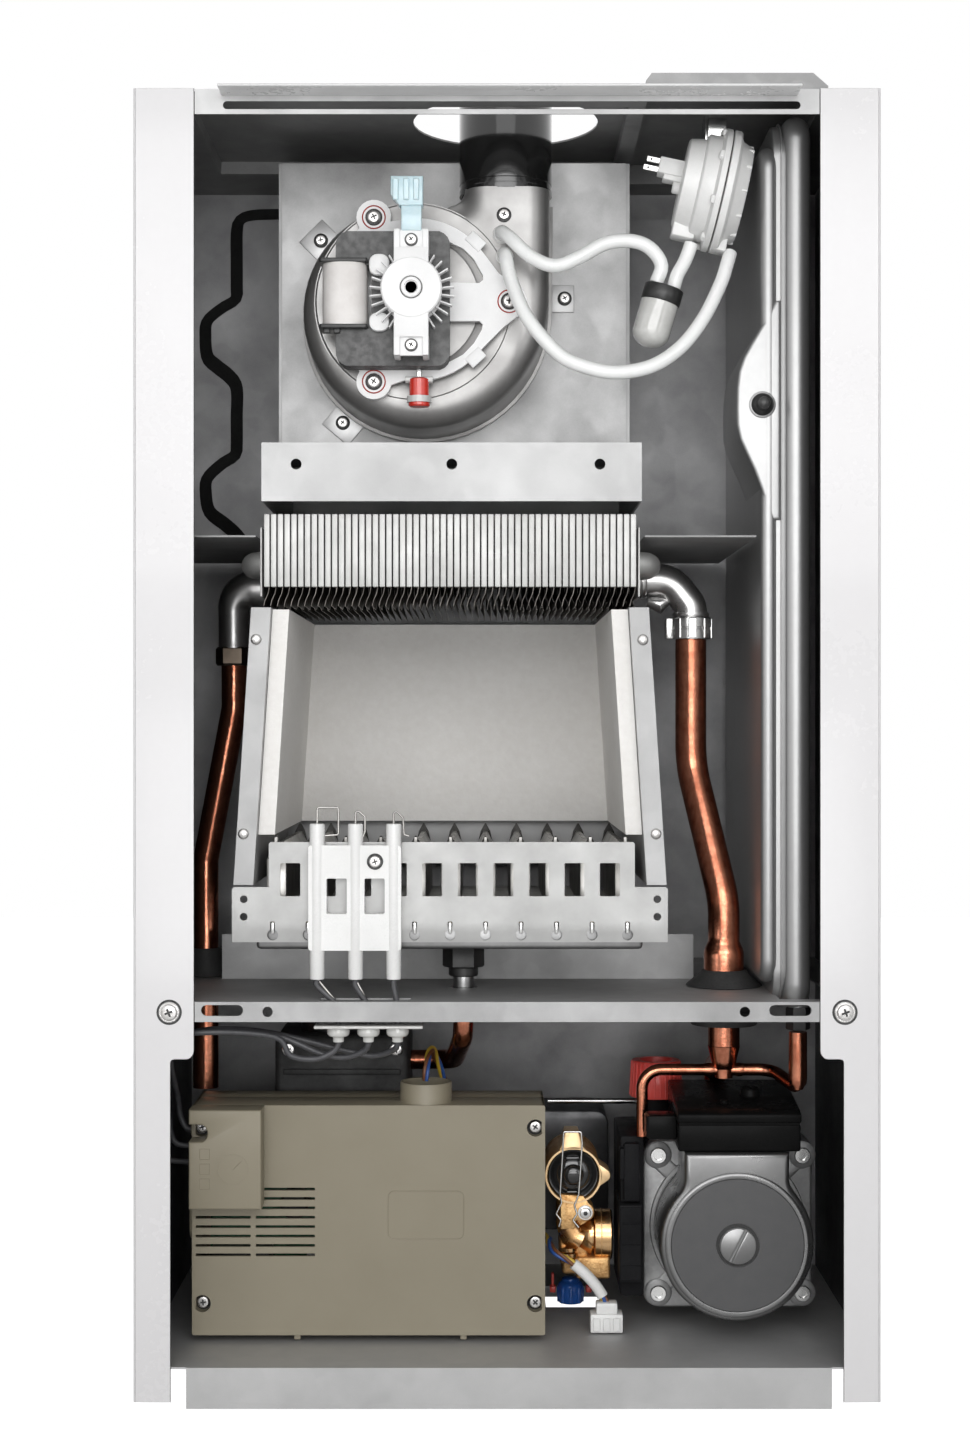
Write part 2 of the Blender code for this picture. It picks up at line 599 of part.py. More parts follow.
def pressure_switch(looks):
    """Round two-part switch on edge, its disc tilted, hung from the top sheet by a moulded
    arm; the diaphragm between its halves moves along the switch's axis."""
    pivot = axis_empty("switch_axis", SWITCH_AT, (0, math.radians(90) + SWITCH_TILT, 0))
    body = turned("switch_body", [(0, -0.0230), (0.0260, -0.0230), (0.0300, -0.0180),
                                  (0.0300, -0.0040), (0.0340, -0.0040), (0.0340, -0.0004),
                                  (0.0290, -0.0004), (0.0290, -0.0030), (0, -0.0030)],
                  28, looks["white_plastic"], parent=pivot)
    arm = box("switch_arm", (0.1130, 0.1190), (behind(0.0390), behind(0.0520)),
              (0.3300, TOP_SHEET - GAP))
    join(body, arm)
    cover = turned("switch_cover", [(0, 0.0035), (0.0290, 0.0035), (0.0290, 0.0004),
                                    (0.0340, 0.0004), (0.0340, 0.0040), (0.0300, 0.0050),
                                    (0.0270, 0.0130), (0, 0.0130)], 28, looks["white_plastic"],
                   parent=pivot)
    diaphragm = turned("switch_diaphragm", disc_profile(0.0275, -0.0026, -0.0016), 28,
                       looks["silicone"], parent=pivot)
    return body, cover, diaphragm


HOSE = 0.0078
TRAP_FOOT = Vector((0.0780, behind(0.0420), 0.2190))
TRAP_TILT = math.radians(16)
TRAP_HEIGHT = 0.0350


def trap_point(across, up):
    """A place near the leaning trap, measured across and along its axis from its foot."""
    turn = Matrix.Rotation(TRAP_TILT, 3, 'Y')
    return TRAP_FOOT + turn @ Vector((across, 0, up))


def silicone_hoses(look):
    """Three pressure hoses that sag between the fan, the trap and the switch."""
    spigot = 0.0050
    fan_high = smooth_route([(-0.0022, behind(0.0614), 0.2860), (-0.0022, behind(0.0560), 0.2860),
                             (0.0030, behind(0.0470), 0.2800), (0.0140, behind(0.0420), 0.2690),
                             (0.0270, behind(0.0410), 0.2640), (0.0410, behind(0.0410), 0.2690),
                             (0.0550, behind(0.0415), 0.2765), (0.0690, behind(0.0420), 0.2780),
                             (0.0795, behind(0.0420), 0.2740),
                             trap_point(-spigot, TRAP_HEIGHT + 0.0110),
                             trap_point(-spigot, TRAP_HEIGHT + 0.0006)], 0.0085)
    fan_low = smooth_route([(-0.0010, behind(0.0614), 0.2735), (-0.0010, behind(0.0540), 0.2735),
                            (0.0000, behind(0.0440), 0.2680), (0.0025, behind(0.0390), 0.2560),
                            (0.0110, behind(0.0310), 0.2340), (0.0280, behind(0.0260), 0.2130),
                            (0.0430, behind(0.0250), 0.2055), (0.0600, behind(0.0250), 0.2025),
                            (0.0790, behind(0.0265), 0.2060), (0.0950, behind(0.0290), 0.2165),
                            (0.1080, behind(0.0320), 0.2330), (0.1180, behind(0.0360), 0.2530),
                            (0.1222, behind(0.0400), 0.2655), (0.1240, behind(0.0430), 0.2712)],
                           0.0095)
    trap_switch = smooth_route([trap_point(spigot, TRAP_HEIGHT + 0.0006),
                                trap_point(spigot, TRAP_HEIGHT + 0.0080),
                                (0.0985, behind(0.0430), 0.2660), (0.1010, behind(0.0435), 0.2720),
                                (0.1026, behind(0.0435), 0.2770)], 0.0070)
    return (tube_curve("hose_fan_to_trap", fan_high, HOSE, look),
            tube_curve("hose_fan_to_switch", fan_low, HOSE, look),
            tube_curve("hose_trap_to_switch", trap_switch, HOSE, look))


def trap_bottle(look):
    """Small condensate bottle that leans below the two short hoses."""
    return turned("trap_bottle", [(0, 0.0), (0.0036, 0.0005), (0.0068, 0.0021), (0.0091, 0.0046),
                                  (0.0104, 0.0085), (0.0104, 0.0260), (0.0110, 0.0265),
                                  (0.0110, 0.0340), (0.0090, TRAP_HEIGHT), (0, TRAP_HEIGHT)],
                  20, look, TRAP_FOOT, (0, TRAP_TILT, 0))


# Heat exchanger and combustion chamber
FIN_PITCH = 0.0037
FIN_COUNT = 55
CORE_DEPTH = (0.030, 0.205)


def heat_exchanger(look):
    """Brazed block: comb of folded fins at the front, tubes and end bends in one piece."""
    first = CORE_X - FIN_PITCH * (FIN_COUNT - 1) / 2
    half = 0.00145
    front, root = behind(0.022), behind(CORE_DEPTH[0])
    outline = []
    for i in range(FIN_COUNT):
        x = first + FIN_PITCH * i
        outline += [(x - half, root), (x - half, front), (x + half, front), (x + half, root)]
    outline += [(outline[-1][0], behind(CORE_DEPTH[1])), (outline[0][0], behind(CORE_DEPTH[1]))]
    core = prism("heat_exchanger", outline, 'Z', 0.0850, 0.1250, look)
    low = box("fin_skirt", (-0.1310, 0.0695), (behind(0.034), behind(0.200)), (0.0740, 0.0900))
    ends = box("end_plates", (-0.1345, 0.0730), (behind(0.0285), behind(0.2045)), (0.0795, 0.1180))
    bends = []
    for side in (-1, 1):
        for i, depth in enumerate((0.060, 0.150)):
            x = CORE_X + side * 0.1015
            turn_points = [(x, behind(depth - 0.018), 0.0990), (x + side * 0.0060, behind(depth - 0.012), 0.0990),
                           (x + side * 0.0075, behind(depth), 0.0990),
                           (x + side * 0.0060, behind(depth + 0.012), 0.0990), (x, behind(depth + 0.018), 0.0990)]
            bends.append(pipe("end_bend_%d_%d" % (side, i), turn_points, 0.014, None, 2))
    return join(core, low, ends, *bends)


FLOW_X, FLOW_Y = 0.1240, behind(0.075)
RETURN_X, RETURN_Y = -0.1775, behind(0.130)
FLOW_BEND_X = 0.1080


def flow_side(looks):
    """Steel elbow with its nut, then the copper pipe that leans over to the pump."""
    back = behind(0.1050)
    points = bent_route([(0.0733, back, 0.0945), (0.0950, back, 0.0945),
                         (FLOW_BEND_X, back, 0.0740), (FLOW_BEND_X, back, 0.0610)], 0.012)
    elbow = pipe("flow_elbow", points, 0.0190, looks["satin"])
    nut = turned("flow_nut", disc_profile(0.0124, 0.0595, 0.0725), 12,
                 location=(FLOW_BEND_X, back, 0))
    join(elbow, nut)
    run = bent_route([(FLOW_BEND_X, back, 0.0590), (FLOW_BEND_X, back, -0.0130),
                      (FLOW_X, FLOW_Y, -0.0900), (FLOW_X, FLOW_Y, -0.1145)], 0.060, 6)
    run += [Vector((FLOW_X, FLOW_Y, z)) for z in (-0.1175, -0.1210, -0.1360)]
    radii = [1.0] * (len(run) - 3) + [1.25, 1.27, 1.27]
    flow = pipe("flow_pipe", run, 0.0180, looks["copper"], 3, radii)
    tail = turned("flow_tail", disc_profile(0.0090, -0.1720, -0.1200), 16,
                  location=(FLOW_X, FLOW_Y, 0))
    join(flow, tail)
    grommet = turned("flow_grommet", [(0.0118, -0.1364), (0.0136, -0.1364), (0.0160, -0.1380),
                                      (0.0160, -0.1500), (0.0190, -0.1520), (0.0190, -0.1600),
                                      (0.0094, -0.1600), (0.0094, -0.1364)],
                     24, looks["rubber"], (FLOW_X, FLOW_Y, 0))
    return elbow, flow, grommet


def return_pipe(look):
    """Copper pipe on the left, from the exchanger's cold end down through the shelf."""
    points = bent_route([(-0.1348, behind(0.1200), 0.0900), (-0.1600, behind(0.1200), 0.0900),
                         (-0.1600, behind(0.1250), 0.0200), (RETURN_X, RETURN_Y, -0.0700),
                         (RETURN_X, RETURN_Y, -0.2050)], 0.022)
    return pipe("return_pipe", points, 0.0150, look)


def chamber_section(inset, low, high):
    """The tapered chamber's outline between two levels, drawn in by an inset."""
    top, foot, half_top, half_foot = 0.0777, -0.0770, 0.1077, 0.1176

    def half(z):
        return half_top + (half_foot - half_top) * (top - z) / (top - foot) - inset
    return [(CORE_X - half(low), low), (CORE_X + half(low), low),
            (CORE_X + half(high), high), (CORE_X - half(high), high)]


def chamber_shell(look):
    """Tapered sheet box, open in front, with flanges that the missing front screws to."""
    top, foot = 0.0737, -0.0770
    flange = 0.0107
    shell = prism("chamber_shell", chamber_section(flange - SHEET, foot, top), 'Y', behind(0.0185),
                  behind(0.2170), look)
    plate = prism("chamber_flange", chamber_section(0.0, foot, top), 'Y', behind(0.0180),
                  behind(0.0190))
    hollow = prism("chamber_hollow", chamber_section(flange, foot - 0.010, top + 0.010), 'Y',
                   behind(0.0100), behind(0.2160))
    join(shell, plate)
    return cut(shell, hollow)


def chamber_insulation(look):
    """Ceramic-fibre lining: a back board and two side boards pressed as one."""
    top, foot = 0.0730, -0.0500
    lining = prism("chamber_insulation", chamber_section(0.0110, foot, top), 'Y', behind(0.0260),
                   behind(0.2156), look)
    hollow = prism("lining_hollow", chamber_section(0.0200, foot - 0.010, top + 0.010), 'Y',
                   behind(0.0200), behind(0.2050))
    return cut(lining, hollow)


NOZZLE_PITCH = 0.01925
NOZZLE_COUNT = 11
FIRST_NOZZLE = -0.1270


def burner_front_plate(look):
    """Front plate of the burner: ten windows, eleven nozzle holes and a folded lip."""
    outline = [(-0.1490, -0.1007), (0.0873, -0.1007), (0.0873, -0.0780), (0.0694, -0.0780),
               (0.0694, -0.0536), (-0.1290, -0.0536), (-0.1290, -0.0780), (-0.1490, -0.0780)]
    plate = prism("burner_front_plate", outline, 'Y', behind(0.0160), behind(0.0170), look)
    lip = box("plate_lip", (-0.1490, 0.0873), (behind(0.0165), behind(0.0175)), (-0.1080, -0.1002))
    join(plate, lip)
    for i in range(NOZZLE_COUNT - 1):
        x = FIRST_NOZZLE + NOZZLE_PITCH * (i + 0.5)
        window = box("plate_window_%02d" % i, (x - 0.00545, x + 0.00545),
                     (behind(0.01), behind(0.03)), (-0.0830, -0.0650))
        cut(plate, window)
    for i in range(NOZZLE_COUNT):
        x = FIRST_NOZZLE + NOZZLE_PITCH * i
        hole = facing("nozzle_hole_%02d" % i, disc_profile(0.0030, -0.01, 0.01), x, -0.1022,
                      behind(0.0168), 10)
        cut(plate, hole)
    return plate


def burner_ribs(look):
    """Eleven burner blades side by side on a common floor plate."""
    base = box("burner_ribs", (-0.1400, 0.0780), (behind(0.0360), behind(0.1990)),
               (-0.0925, -0.0905), look)
    for i in range(NOZZLE_COUNT):
        x = FIRST_NOZZLE + NOZZLE_PITCH * i
        outline = [(x - 0.0055, -0.0915), (x + 0.0055, -0.0915), (x + 0.0055, -0.0640),
                   (x + 0.0018, -0.0535), (x - 0.0018, -0.0535), (x - 0.0055, -0.0640)]
        rib = prism("burner_rib_%02d" % i, outline, 'Y', behind(0.0370), behind(0.1980))
        join(base, rib)
    return base


def gas_manifold(look):
    """Gas rail below the burner with a nozzle in front of each blade."""
    rail = box("gas_manifold", (-0.1360, 0.0740), (behind(0.0190), behind(0.0330)),
               (-0.1120, -0.0980), look, 0.002, 1)
    for i in range(NOZZLE_COUNT):
        x = FIRST_NOZZLE + NOZZLE_PITCH * i
        nozzle = turned("nozzle_%02d" % i, disc_profile(0.0022, -0.1000, -0.0932), 8,
                        location=(x, behind(0.0265), 0))
        join(rail, nozzle)
    return rail


def electrode_block(look):
    """White ceramic block with two windows and three upright electrode tubes."""
    tubes = (-0.1024, -0.0817, -0.0611)
    block = box("electrode_block", (-0.1070, -0.0570), (behind(0.0080), behind(0.0155)),
                (-0.1117, -0.0550), look, 0.0008, 1)
    windows = [box("block_window_%d" % i, x, (behind(0.0), behind(0.03)), (-0.0920, -0.0728))
               for i, x in enumerate(((-0.0972, -0.0862), (-0.0768, -0.0658)))]
    pillars = [turned("electrode_tube_%d" % i, disc_profile(0.0040, -0.1273, -0.0435), 16,
                      location=(x, behind(0.0112), 0)) for i, x in enumerate(tubes)]
    cut(block, *windows)
    return join(block, *pillars)


LEAD = 0.0032
GLANDS = (-0.0590, -0.0747, -0.0909)
GLAND_Y = behind(0.0110)
GLAND_FOOT = -0.1611


def lead_gland(look):
    """Silicone strip under the shelf with one stepped collar for each lead."""
    strip = box("lead_gland", (-0.1035, -0.0452), (FRONT + SHEET + GAP, behind(0.0175)),
                (-0.1530, -0.1465), look)
    collar = [(0, GLAND_FOOT), (0.0028, GLAND_FOOT), (0.0030, -0.1584), (0.0052, -0.1580),
              (0.0061, -0.1562), (0.0061, -0.1500), (0, -0.1500)]
    collars = [turned("gland_collar_%d" % i, collar, 20, location=(x, GLAND_Y, 0))
               for i, x in enumerate(GLANDS)]
    bores = [turned("gland_bore_%d" % i, disc_profile(LEAD / 2 + 0.0007, -0.1700, -0.1300), 16,
                    location=(x, GLAND_Y, 0)) for i, x in enumerate(GLANDS)]
    join(strip, *collars)
    return cut(strip, *bores)


def electrode_leads(look):
    """Three leads from the electrode tubes through the gland, left behind the flange and
    down into the sockets on the control box's side."""
    leads = []
    names = ("lead_flame_sensor", "lead_ignition_right", "lead_ignition_left")
    starts = (-0.0611, -0.0817, -0.1024)
    socket_levels = (-0.2184, -0.2277, -0.2367)
    socket_y = behind(0.066)
    for i, (name, start, gland, level) in enumerate(zip(names, starts, GLANDS, socket_levels)):
        lane_y = behind(0.0240 - 0.0065 * i)
        lane_x = -0.1845 - 0.0052 * i
        sag = -0.1705
        anchors = [(start, GLAND_Y, -0.1277), (start, GLAND_Y, -0.1310),
                   (gland, GLAND_Y, -0.1420), (gland, GLAND_Y, -0.1460),
                   (gland, GLAND_Y, -0.1540), (gland, GLAND_Y, -0.1625),
                   (gland - 0.0035, (GLAND_Y + lane_y) / 2, sag + 0.0035),
                   (gland - 0.0130, lane_y, sag), (gland - 0.0260, lane_y, sag + 0.0020),
                   (-0.1240, lane_y, -0.1590), (-0.1500, lane_y, -0.1560),
                   (lane_x + 0.0150, lane_y, -0.1575), (lane_x + 0.0020, lane_y + 0.002, -0.1640),
                   (lane_x, lane_y + 0.010, -0.1780), (lane_x, socket_y - 0.005, level + 0.0190),
                   (lane_x + 0.0005, socket_y, level + 0.0085),
                   (lane_x + 0.0035, socket_y, level + 0.0015),
                   (-0.1785, socket_y, level), (-0.1753, socket_y, level)]
        leads.append(tube_curve(name, smooth_route(anchors, 0.0090), LEAD, look))
    return leads


# Lower compartment
GAS_X, GAS_Y = -0.0240, behind(0.070)


def gas_line(looks):
    """Gas valve behind the control box and the pipe with its nut up to the manifold."""
    route = bent_route([(GAS_X, GAS_Y, -0.1134), (GAS_X, GAS_Y, -0.1660),
                        (-0.0300, behind(0.1300), -0.1880), (-0.0400, behind(0.1400), -0.1900),
                        (-0.0559, behind(0.1400), -0.1900)], 0.012)
    line = pipe("gas_pipe", route, 0.0115, looks["copper"], 3)
    nut = turned("gas_nut", disc_profile(0.0118, -0.1270, -0.1140), 6, location=(GAS_X, GAS_Y, 0))
    join(line, nut)
    valve = box("gas_valve", (-0.1350, -0.0563), (behind(0.1130), behind(0.1800)), (-0.2800, -0.1700),
                looks["cast"], 0.004, 1)
    dome = turned("valve_dome", disc_profile(0.0200, -0.1720, -0.1560), 24,
                  location=(-0.1020, behind(0.1450), 0))
    join(valve, dome)
    return line, valve


BOX_X = (-0.1750, 0.0217)
BOX_Z = (-0.3300, -0.2020)
BOX_FRONT = 0.049


def control_box(looks):
    """Two-part olive housing with vent slots, the circuit board inside."""
    cover = box("control_box_cover", BOX_X, (behind(BOX_FRONT), behind(0.0790)), BOX_Z,
                looks["olive"], 0.0025, 2)
    raised = box("cover_raised", (-0.1747, -0.1348), (behind(0.0320), behind(0.0600)),
                 (-0.2564, -0.2018), None, 0.002, 1)
    inside = box("cover_inside", (BOX_X[0] + 0.002, BOX_X[1] - 0.002),
                 (behind(BOX_FRONT + 0.002), behind(0.0900)), (BOX_Z[0] + 0.002, BOX_Z[1] - 0.002))
    join(cover, raised)
    cut(cover, inside)
    for i in range(8):
        z = -0.2425 - 0.00507 * i
        left = -0.1310 if i > 2 else -0.1283
        cut(cover, box("vent_right_%d" % i, (left, -0.0996), (behind(0.04), behind(0.06)),
                       (z - 0.0011, z + 0.0011)))
    for i in range(5):
        z = -0.2577 - 0.00507 * i
        cut(cover, box("vent_left_%d" % i, (-0.1664, -0.1342), (behind(0.04), behind(0.06)),
                       (z - 0.0011, z + 0.0011)))
    base = box("control_box_base", BOX_X, (behind(0.0793), behind(0.1000)), BOX_Z, looks["olive"],
               0.0025, 2)
    well = box("base_well", (BOX_X[0] + 0.002, BOX_X[1] - 0.002), (behind(0.0700), behind(0.0980)),
               (BOX_Z[0] + 0.002, BOX_Z[1] - 0.002))
    cut(base, well)
    collar = turned("cable_collar", disc_profile(0.0145, -0.2030, -0.1910, 0.0040), 20,
                    location=(-0.0450, behind(0.0650), 0))
    join(cover, collar)
    board = box("circuit_board", (-0.1690, 0.0157), (behind(0.0850), behind(0.0866)),
                (-0.3240, -0.2080), looks["board"])
    return cover, base, board


def control_harness(look):
    """Wire bundle that leaves the box's collar, loops down behind it and comes round its
    right side to the plug above the floor."""
    anchors = [(-0.0450, behind(0.0650), -0.1906), (-0.0450, behind(0.0650), -0.1850),
               (-0.0440, behind(0.0710), -0.1780), (-0.0420, behind(0.0860), -0.1760),
               (-0.0390, behind(0.1010), -0.1860), (-0.0300, behind(0.1070), -0.2100),
               (-0.0100, behind(0.1080), -0.2450), (0.0080, behind(0.1090), -0.2760),
               (0.0180, behind(0.1070), -0.2850), (0.0246, behind(0.0980), -0.2870),
               (0.0251, behind(0.0850), -0.2870), (0.0275, behind(0.0730), -0.2890),
               (0.0350, behind(0.0700), -0.2930), (0.0440, behind(0.0700), -0.3000),
               (0.0520, behind(0.0700), -0.3090), (0.0570, behind(0.0700), -0.3180)]
    return tube_curve("control_harness", smooth_route(anchors, 0.0085), 0.0042, look)


def pump(looks):
    """Circulator: motor can, terminal box, rotor and vent screw on one axis."""
    can = facing("pump_motor", [(0.0118, 0), (0.0426, 0), (0.0426, 0.0470), (0.0400, 0.0500),
                                (0.0370, 0.0500), (0.0366, 0.0505), (0.0118, 0.0505)],
                 PUMP_X, PUMP_Z, behind(0.0900), 36, looks["motor"])
    neck = box("can_neck", (0.0985, 0.1575), (behind(0.0480), behind(0.0890)), (-0.2560, -0.2273))
    join(can, neck)
    chamber = facing("rotor_space", disc_profile(0.0300, -0.01, 0.0440), PUMP_X, PUMP_Z,
                     behind(0.0900), 28)
    cut(can, chamber)
    lid_front, lid_back = (0.0440, -0.2050), (0.1100, -0.1970)
    outline = [(behind(lid_front[0]), -0.2270), (behind(lid_back[0]), -0.2270),
               (behind(lid_back[0]), lid_back[1]), (behind(lid_front[0]), lid_front[1])]
    terminal = prism("pump_terminal_box", outline, 'X', 0.0950, 0.1640, looks["black"])
    hub = axis_empty("pump_axis", (PUMP_X, behind(0.0900), PUMP_Z))
    rotor = facing("pump_rotor", [(0, -0.0300), (0.0250, -0.0300), (0.0250, -0.0220), (0.0070, -0.0200),
                                  (0.0070, -0.0050), (0.0250, -0.0050), (0.0250, 0.0380), (0, 0.0380)],
                   0, 0, 0, 24, looks["chrome"], hub)
    screw = facing("pump_vent_screw", disc_profile(0.0100, 0.0450, 0.0525), PUMP_X, PUMP_Z,
                   behind(0.0900), 20, looks["chrome"])
    slot = box("screw_slot", (-0.009, 0.009), (behind(0.0300), behind(0.0390)), (-0.0008, 0.0008),
               location=(PUMP_X, 0, PUMP_Z), rotation=(0, math.radians(-63), 0))
    cut(screw, slot)
    slope = (lid_back[1] - lid_front[1]) / (lid_back[0] - lid_front[0])
    knob_depth = 0.0760
    knob_foot = lid_front[1] + slope * (knob_depth - lid_front[0]) + GAP
    knob = turned("pump_speed_knob", [(0, 0), (0.0060, 0), (0.0055, 0.0050), (0, 0.0050)], 16,
                  looks["black"], (0.1390, behind(knob_depth), knob_foot), (math.atan(slope), 0, 0))
    return can, terminal, rotor, screw, knob


def hydraulic_block(look):
    """Composite group: pump housing with four bolt lugs, and the block with the relief
    valve and filling side on its left."""
    housing = facing("hydraulic_block", disc_profile(0.0460, -0.0550, -0.0003, 0), PUMP_X, PUMP_Z,
                     behind(0.0900), 32, look)
    lugs = [facing("pump_lug_%d" % i, disc_profile(0.0080, -0.0300, -0.0003), x, z, behind(0.0900), 12)
            for i, (x, z) in enumerate(((0.0878, -0.2376), (0.1707, -0.2376), (0.0878, -0.3168),
                                        (0.1707, -0.3168)))]
    arms = [box("lug_web_%d" % i, (0, 0.0570), (behind(0.0910), behind(0.1180)), (-0.006, 0.006),
                location=(PUMP_X, 0, PUMP_Z), rotation=(0, math.radians(angle), 0))
            for i, angle in enumerate((-43, 43, -137, 137))]
    block = box("relief_block", (0.0640, 0.0845), (behind(0.0660), behind(0.1400)),
                (-0.3150, -0.2240))
    bridge = box("relief_bridge", (0.0800, 0.1020), (behind(0.0950), behind(0.1420)),
                 (-0.3000, -0.2300))
    tower = turned("relief_tower", disc_profile(0.0115, -0.2400, -0.2104), 20,
                   location=(RELIEF_X, RELIEF_Y, 0))
    inlet = turned("pump_inlet", disc_profile(0.0110, -0.2500, -0.2100), 20,
                   location=(FLOW_X, behind(0.1270), 0))
    flange = prism("pump_flange", rounded((0.0790, 0.1765), (-0.3255, -0.2290), 0.0095, 4), 'Y',
                   behind(0.0915), behind(0.1000))
    join(housing, *arms, *lugs, flange, block, bridge, tower, inlet)
    space = facing("impeller_space", disc_profile(0.0300, -0.0330, 0.01), PUMP_X, PUMP_Z,
                   behind(0.0900), 28)
    return cut(housing, space)


def manifold_pipe(look):
    """Copper tee: from the flow pipe back and down into the pump, one branch to the relief
    block and one up to the expansion vessel."""
    cross = -0.1860
    trunk = pipe("manifold_pipe", bent_route([(FLOW_X, FLOW_Y, -0.1723), (FLOW_X, FLOW_Y, -0.1850),
                                              (FLOW_X, behind(0.1270), -0.1900),
                                              (FLOW_X, behind(0.1270), -0.2097)], 0.012),
                 0.0180, look, 3)
    port_x, port_y = VESSEL_PORT
    right = pipe("vessel_branch", bent_route([(FLOW_X, FLOW_Y, cross), (port_x - 0.0100, FLOW_Y, cross),
                                              (port_x, port_y, -0.1910), (port_x, port_y, -0.1780)],
                                             0.0120), 0.0070, None, 3)
    riser = turned("vessel_riser", disc_profile(0.0050, -0.1900, -0.1590), 20,
                   location=(port_x, port_y, 0))
    left = pipe("relief_branch", bent_route([(FLOW_X, FLOW_Y, cross), (0.0775, FLOW_Y, cross),
                                             (0.0775, FLOW_Y, -0.2237)], 0.0130), 0.0068, None, 3)
    return join(trunk, right, riser, left)


VESSEL_PORT = (0.1615, behind(0.042))


def expansion_vessel(look):
    """Flat enamelled vessel on edge: two pressed shells welded at a rim, a bulge on the
    left for its valve, and a short stub below."""
    deep, back = behind(0.0250), behind(0.2050)
    left_shell = prism("expansion_vessel", rounded((deep, back), (-0.1320, 0.3420), 0.020, 4), 'X',
                       0.1405, 0.1520, look)
    right_shell = prism("vessel_right", rounded((deep, back), (-0.1460, 0.3450), 0.024, 4), 'X',
                        0.1515, 0.1690)
    rim = prism("vessel_rim", rounded((deep + 0.002, back), (-0.1380, 0.3435), 0.022, 4), 'X',
                0.1508, 0.1528)
    bulge = prism("valve_bulge", [(0.1500, 0.2400), (0.1270, 0.2120), (0.1250, 0.1850),
                                  (0.1250, 0.1700), (0.1290, 0.1560), (0.1500, 0.1270)], 'Y',
                  behind(0.0250), behind(0.0950))
    cap = facing("valve_cap", disc_profile(0.0050, -0.002, 0.0110), 0.1385, 0.1880,
                    behind(0.0250), 16)
    stub = turned("vessel_stub", disc_profile(0.0068, -0.1587, -0.1300), 16,
                  location=(VESSEL_PORT[0], VESSEL_PORT[1], 0))
    return join(left_shell, right_shell, rim, bulge, cap, stub)


def relief_knob(look):
    """Red ribbed cap of the relief valve, turned to let water out."""
    return turned("relief_knob", [(0, 0.0), (0.0160, 0.0), (0.0150, 0.0215), (0.0100, 0.0215),
                                  (0.0090, 0.0170), (0, 0.0170)], 24, look,
                  (RELIEF_X, RELIEF_Y, -0.2100))


def diverter_valve(looks):
    """Brass valve body with its round port towards the front and the black cartridge in it."""
    body = facing("brass_valve_body", disc_profile(0.0160, -0.0450, 0.0), VALVE_X, VALVE_Z,
                  behind(0.0700), 28, looks["brass"])
    lower = box("valve_lower", (0.0300, 0.0480), (behind(0.0760), behind(0.1100)),
                (-0.3000, -0.2560), None, 0.002, 1)
    socket = turned("valve_socket", disc_profile(0.0145, 0.0450, 0.0612), 28, None,
                    (0, behind(0.0950), -0.2840), (0, math.radians(90), 0))
    foot = box("valve_foot", (0.0400, 0.0600), (behind(0.0840), behind(0.1060)),
               (-0.3075, -0.2850), None, 0.002, 1)
    stem = box("valve_stem", (0.0330, 0.0464), (behind(0.1050), behind(0.1580)),
               (-0.3100, -0.2700))
    ears = [facing("valve_ear_%d" % i, disc_profile(radius, -0.020, 0.0), x, z, behind(0.0700), 12)
            for i, (x, z, radius) in enumerate(((VALVE_X - 0.0008, VALVE_Z + 0.0180, 0.0050),
                                                (VALVE_X + 0.0172, VALVE_Z, 0.0038),
                                                (0.0450, -0.2662, 0.0052)))]
    join(body, lower, socket, foot, stem, *ears)
    bore = facing("valve_bore", disc_profile(0.0146, -0.0200, 0.01), VALVE_X, VALVE_Z,
                  behind(0.0700), 28)
    cut(body, bore)
    cartridge = facing("valve_cartridge", [(0, -0.0196), (0.0143, -0.0196), (0.0143, 0.0030),
                                           (0.0105, 0.0060), (0, 0.0060)], VALVE_X, VALVE_Z,
                       behind(0.0700), 24, looks["black"])
    return body, cartridge


def plate_exchanger(look):
    """Stack of brazed plates behind the brass valve that heats the tap water."""
    return box("plate_exchanger", (-0.0450, 0.0640), (behind(0.1750), behind(0.2250)),
               (-0.3000, -0.2270), look, 0.004, 1)


def fill_tap_knob(look):
    """Blue filling tap knob that stands in the opening of the floor."""
    points = []
    lobes, steps = 8, 32
    for i in range(steps):
        angle = math.tau * i / steps
        radius = 0.0076 + 0.0006 * math.cos(lobes * angle)
        points.append((radius * math.cos(angle), radius * math.sin(angle)))
    return prism("fill_tap_knob", points, 'Z', -0.0150, 0.0, look, (TAP_X, TAP_Y, -0.3225))


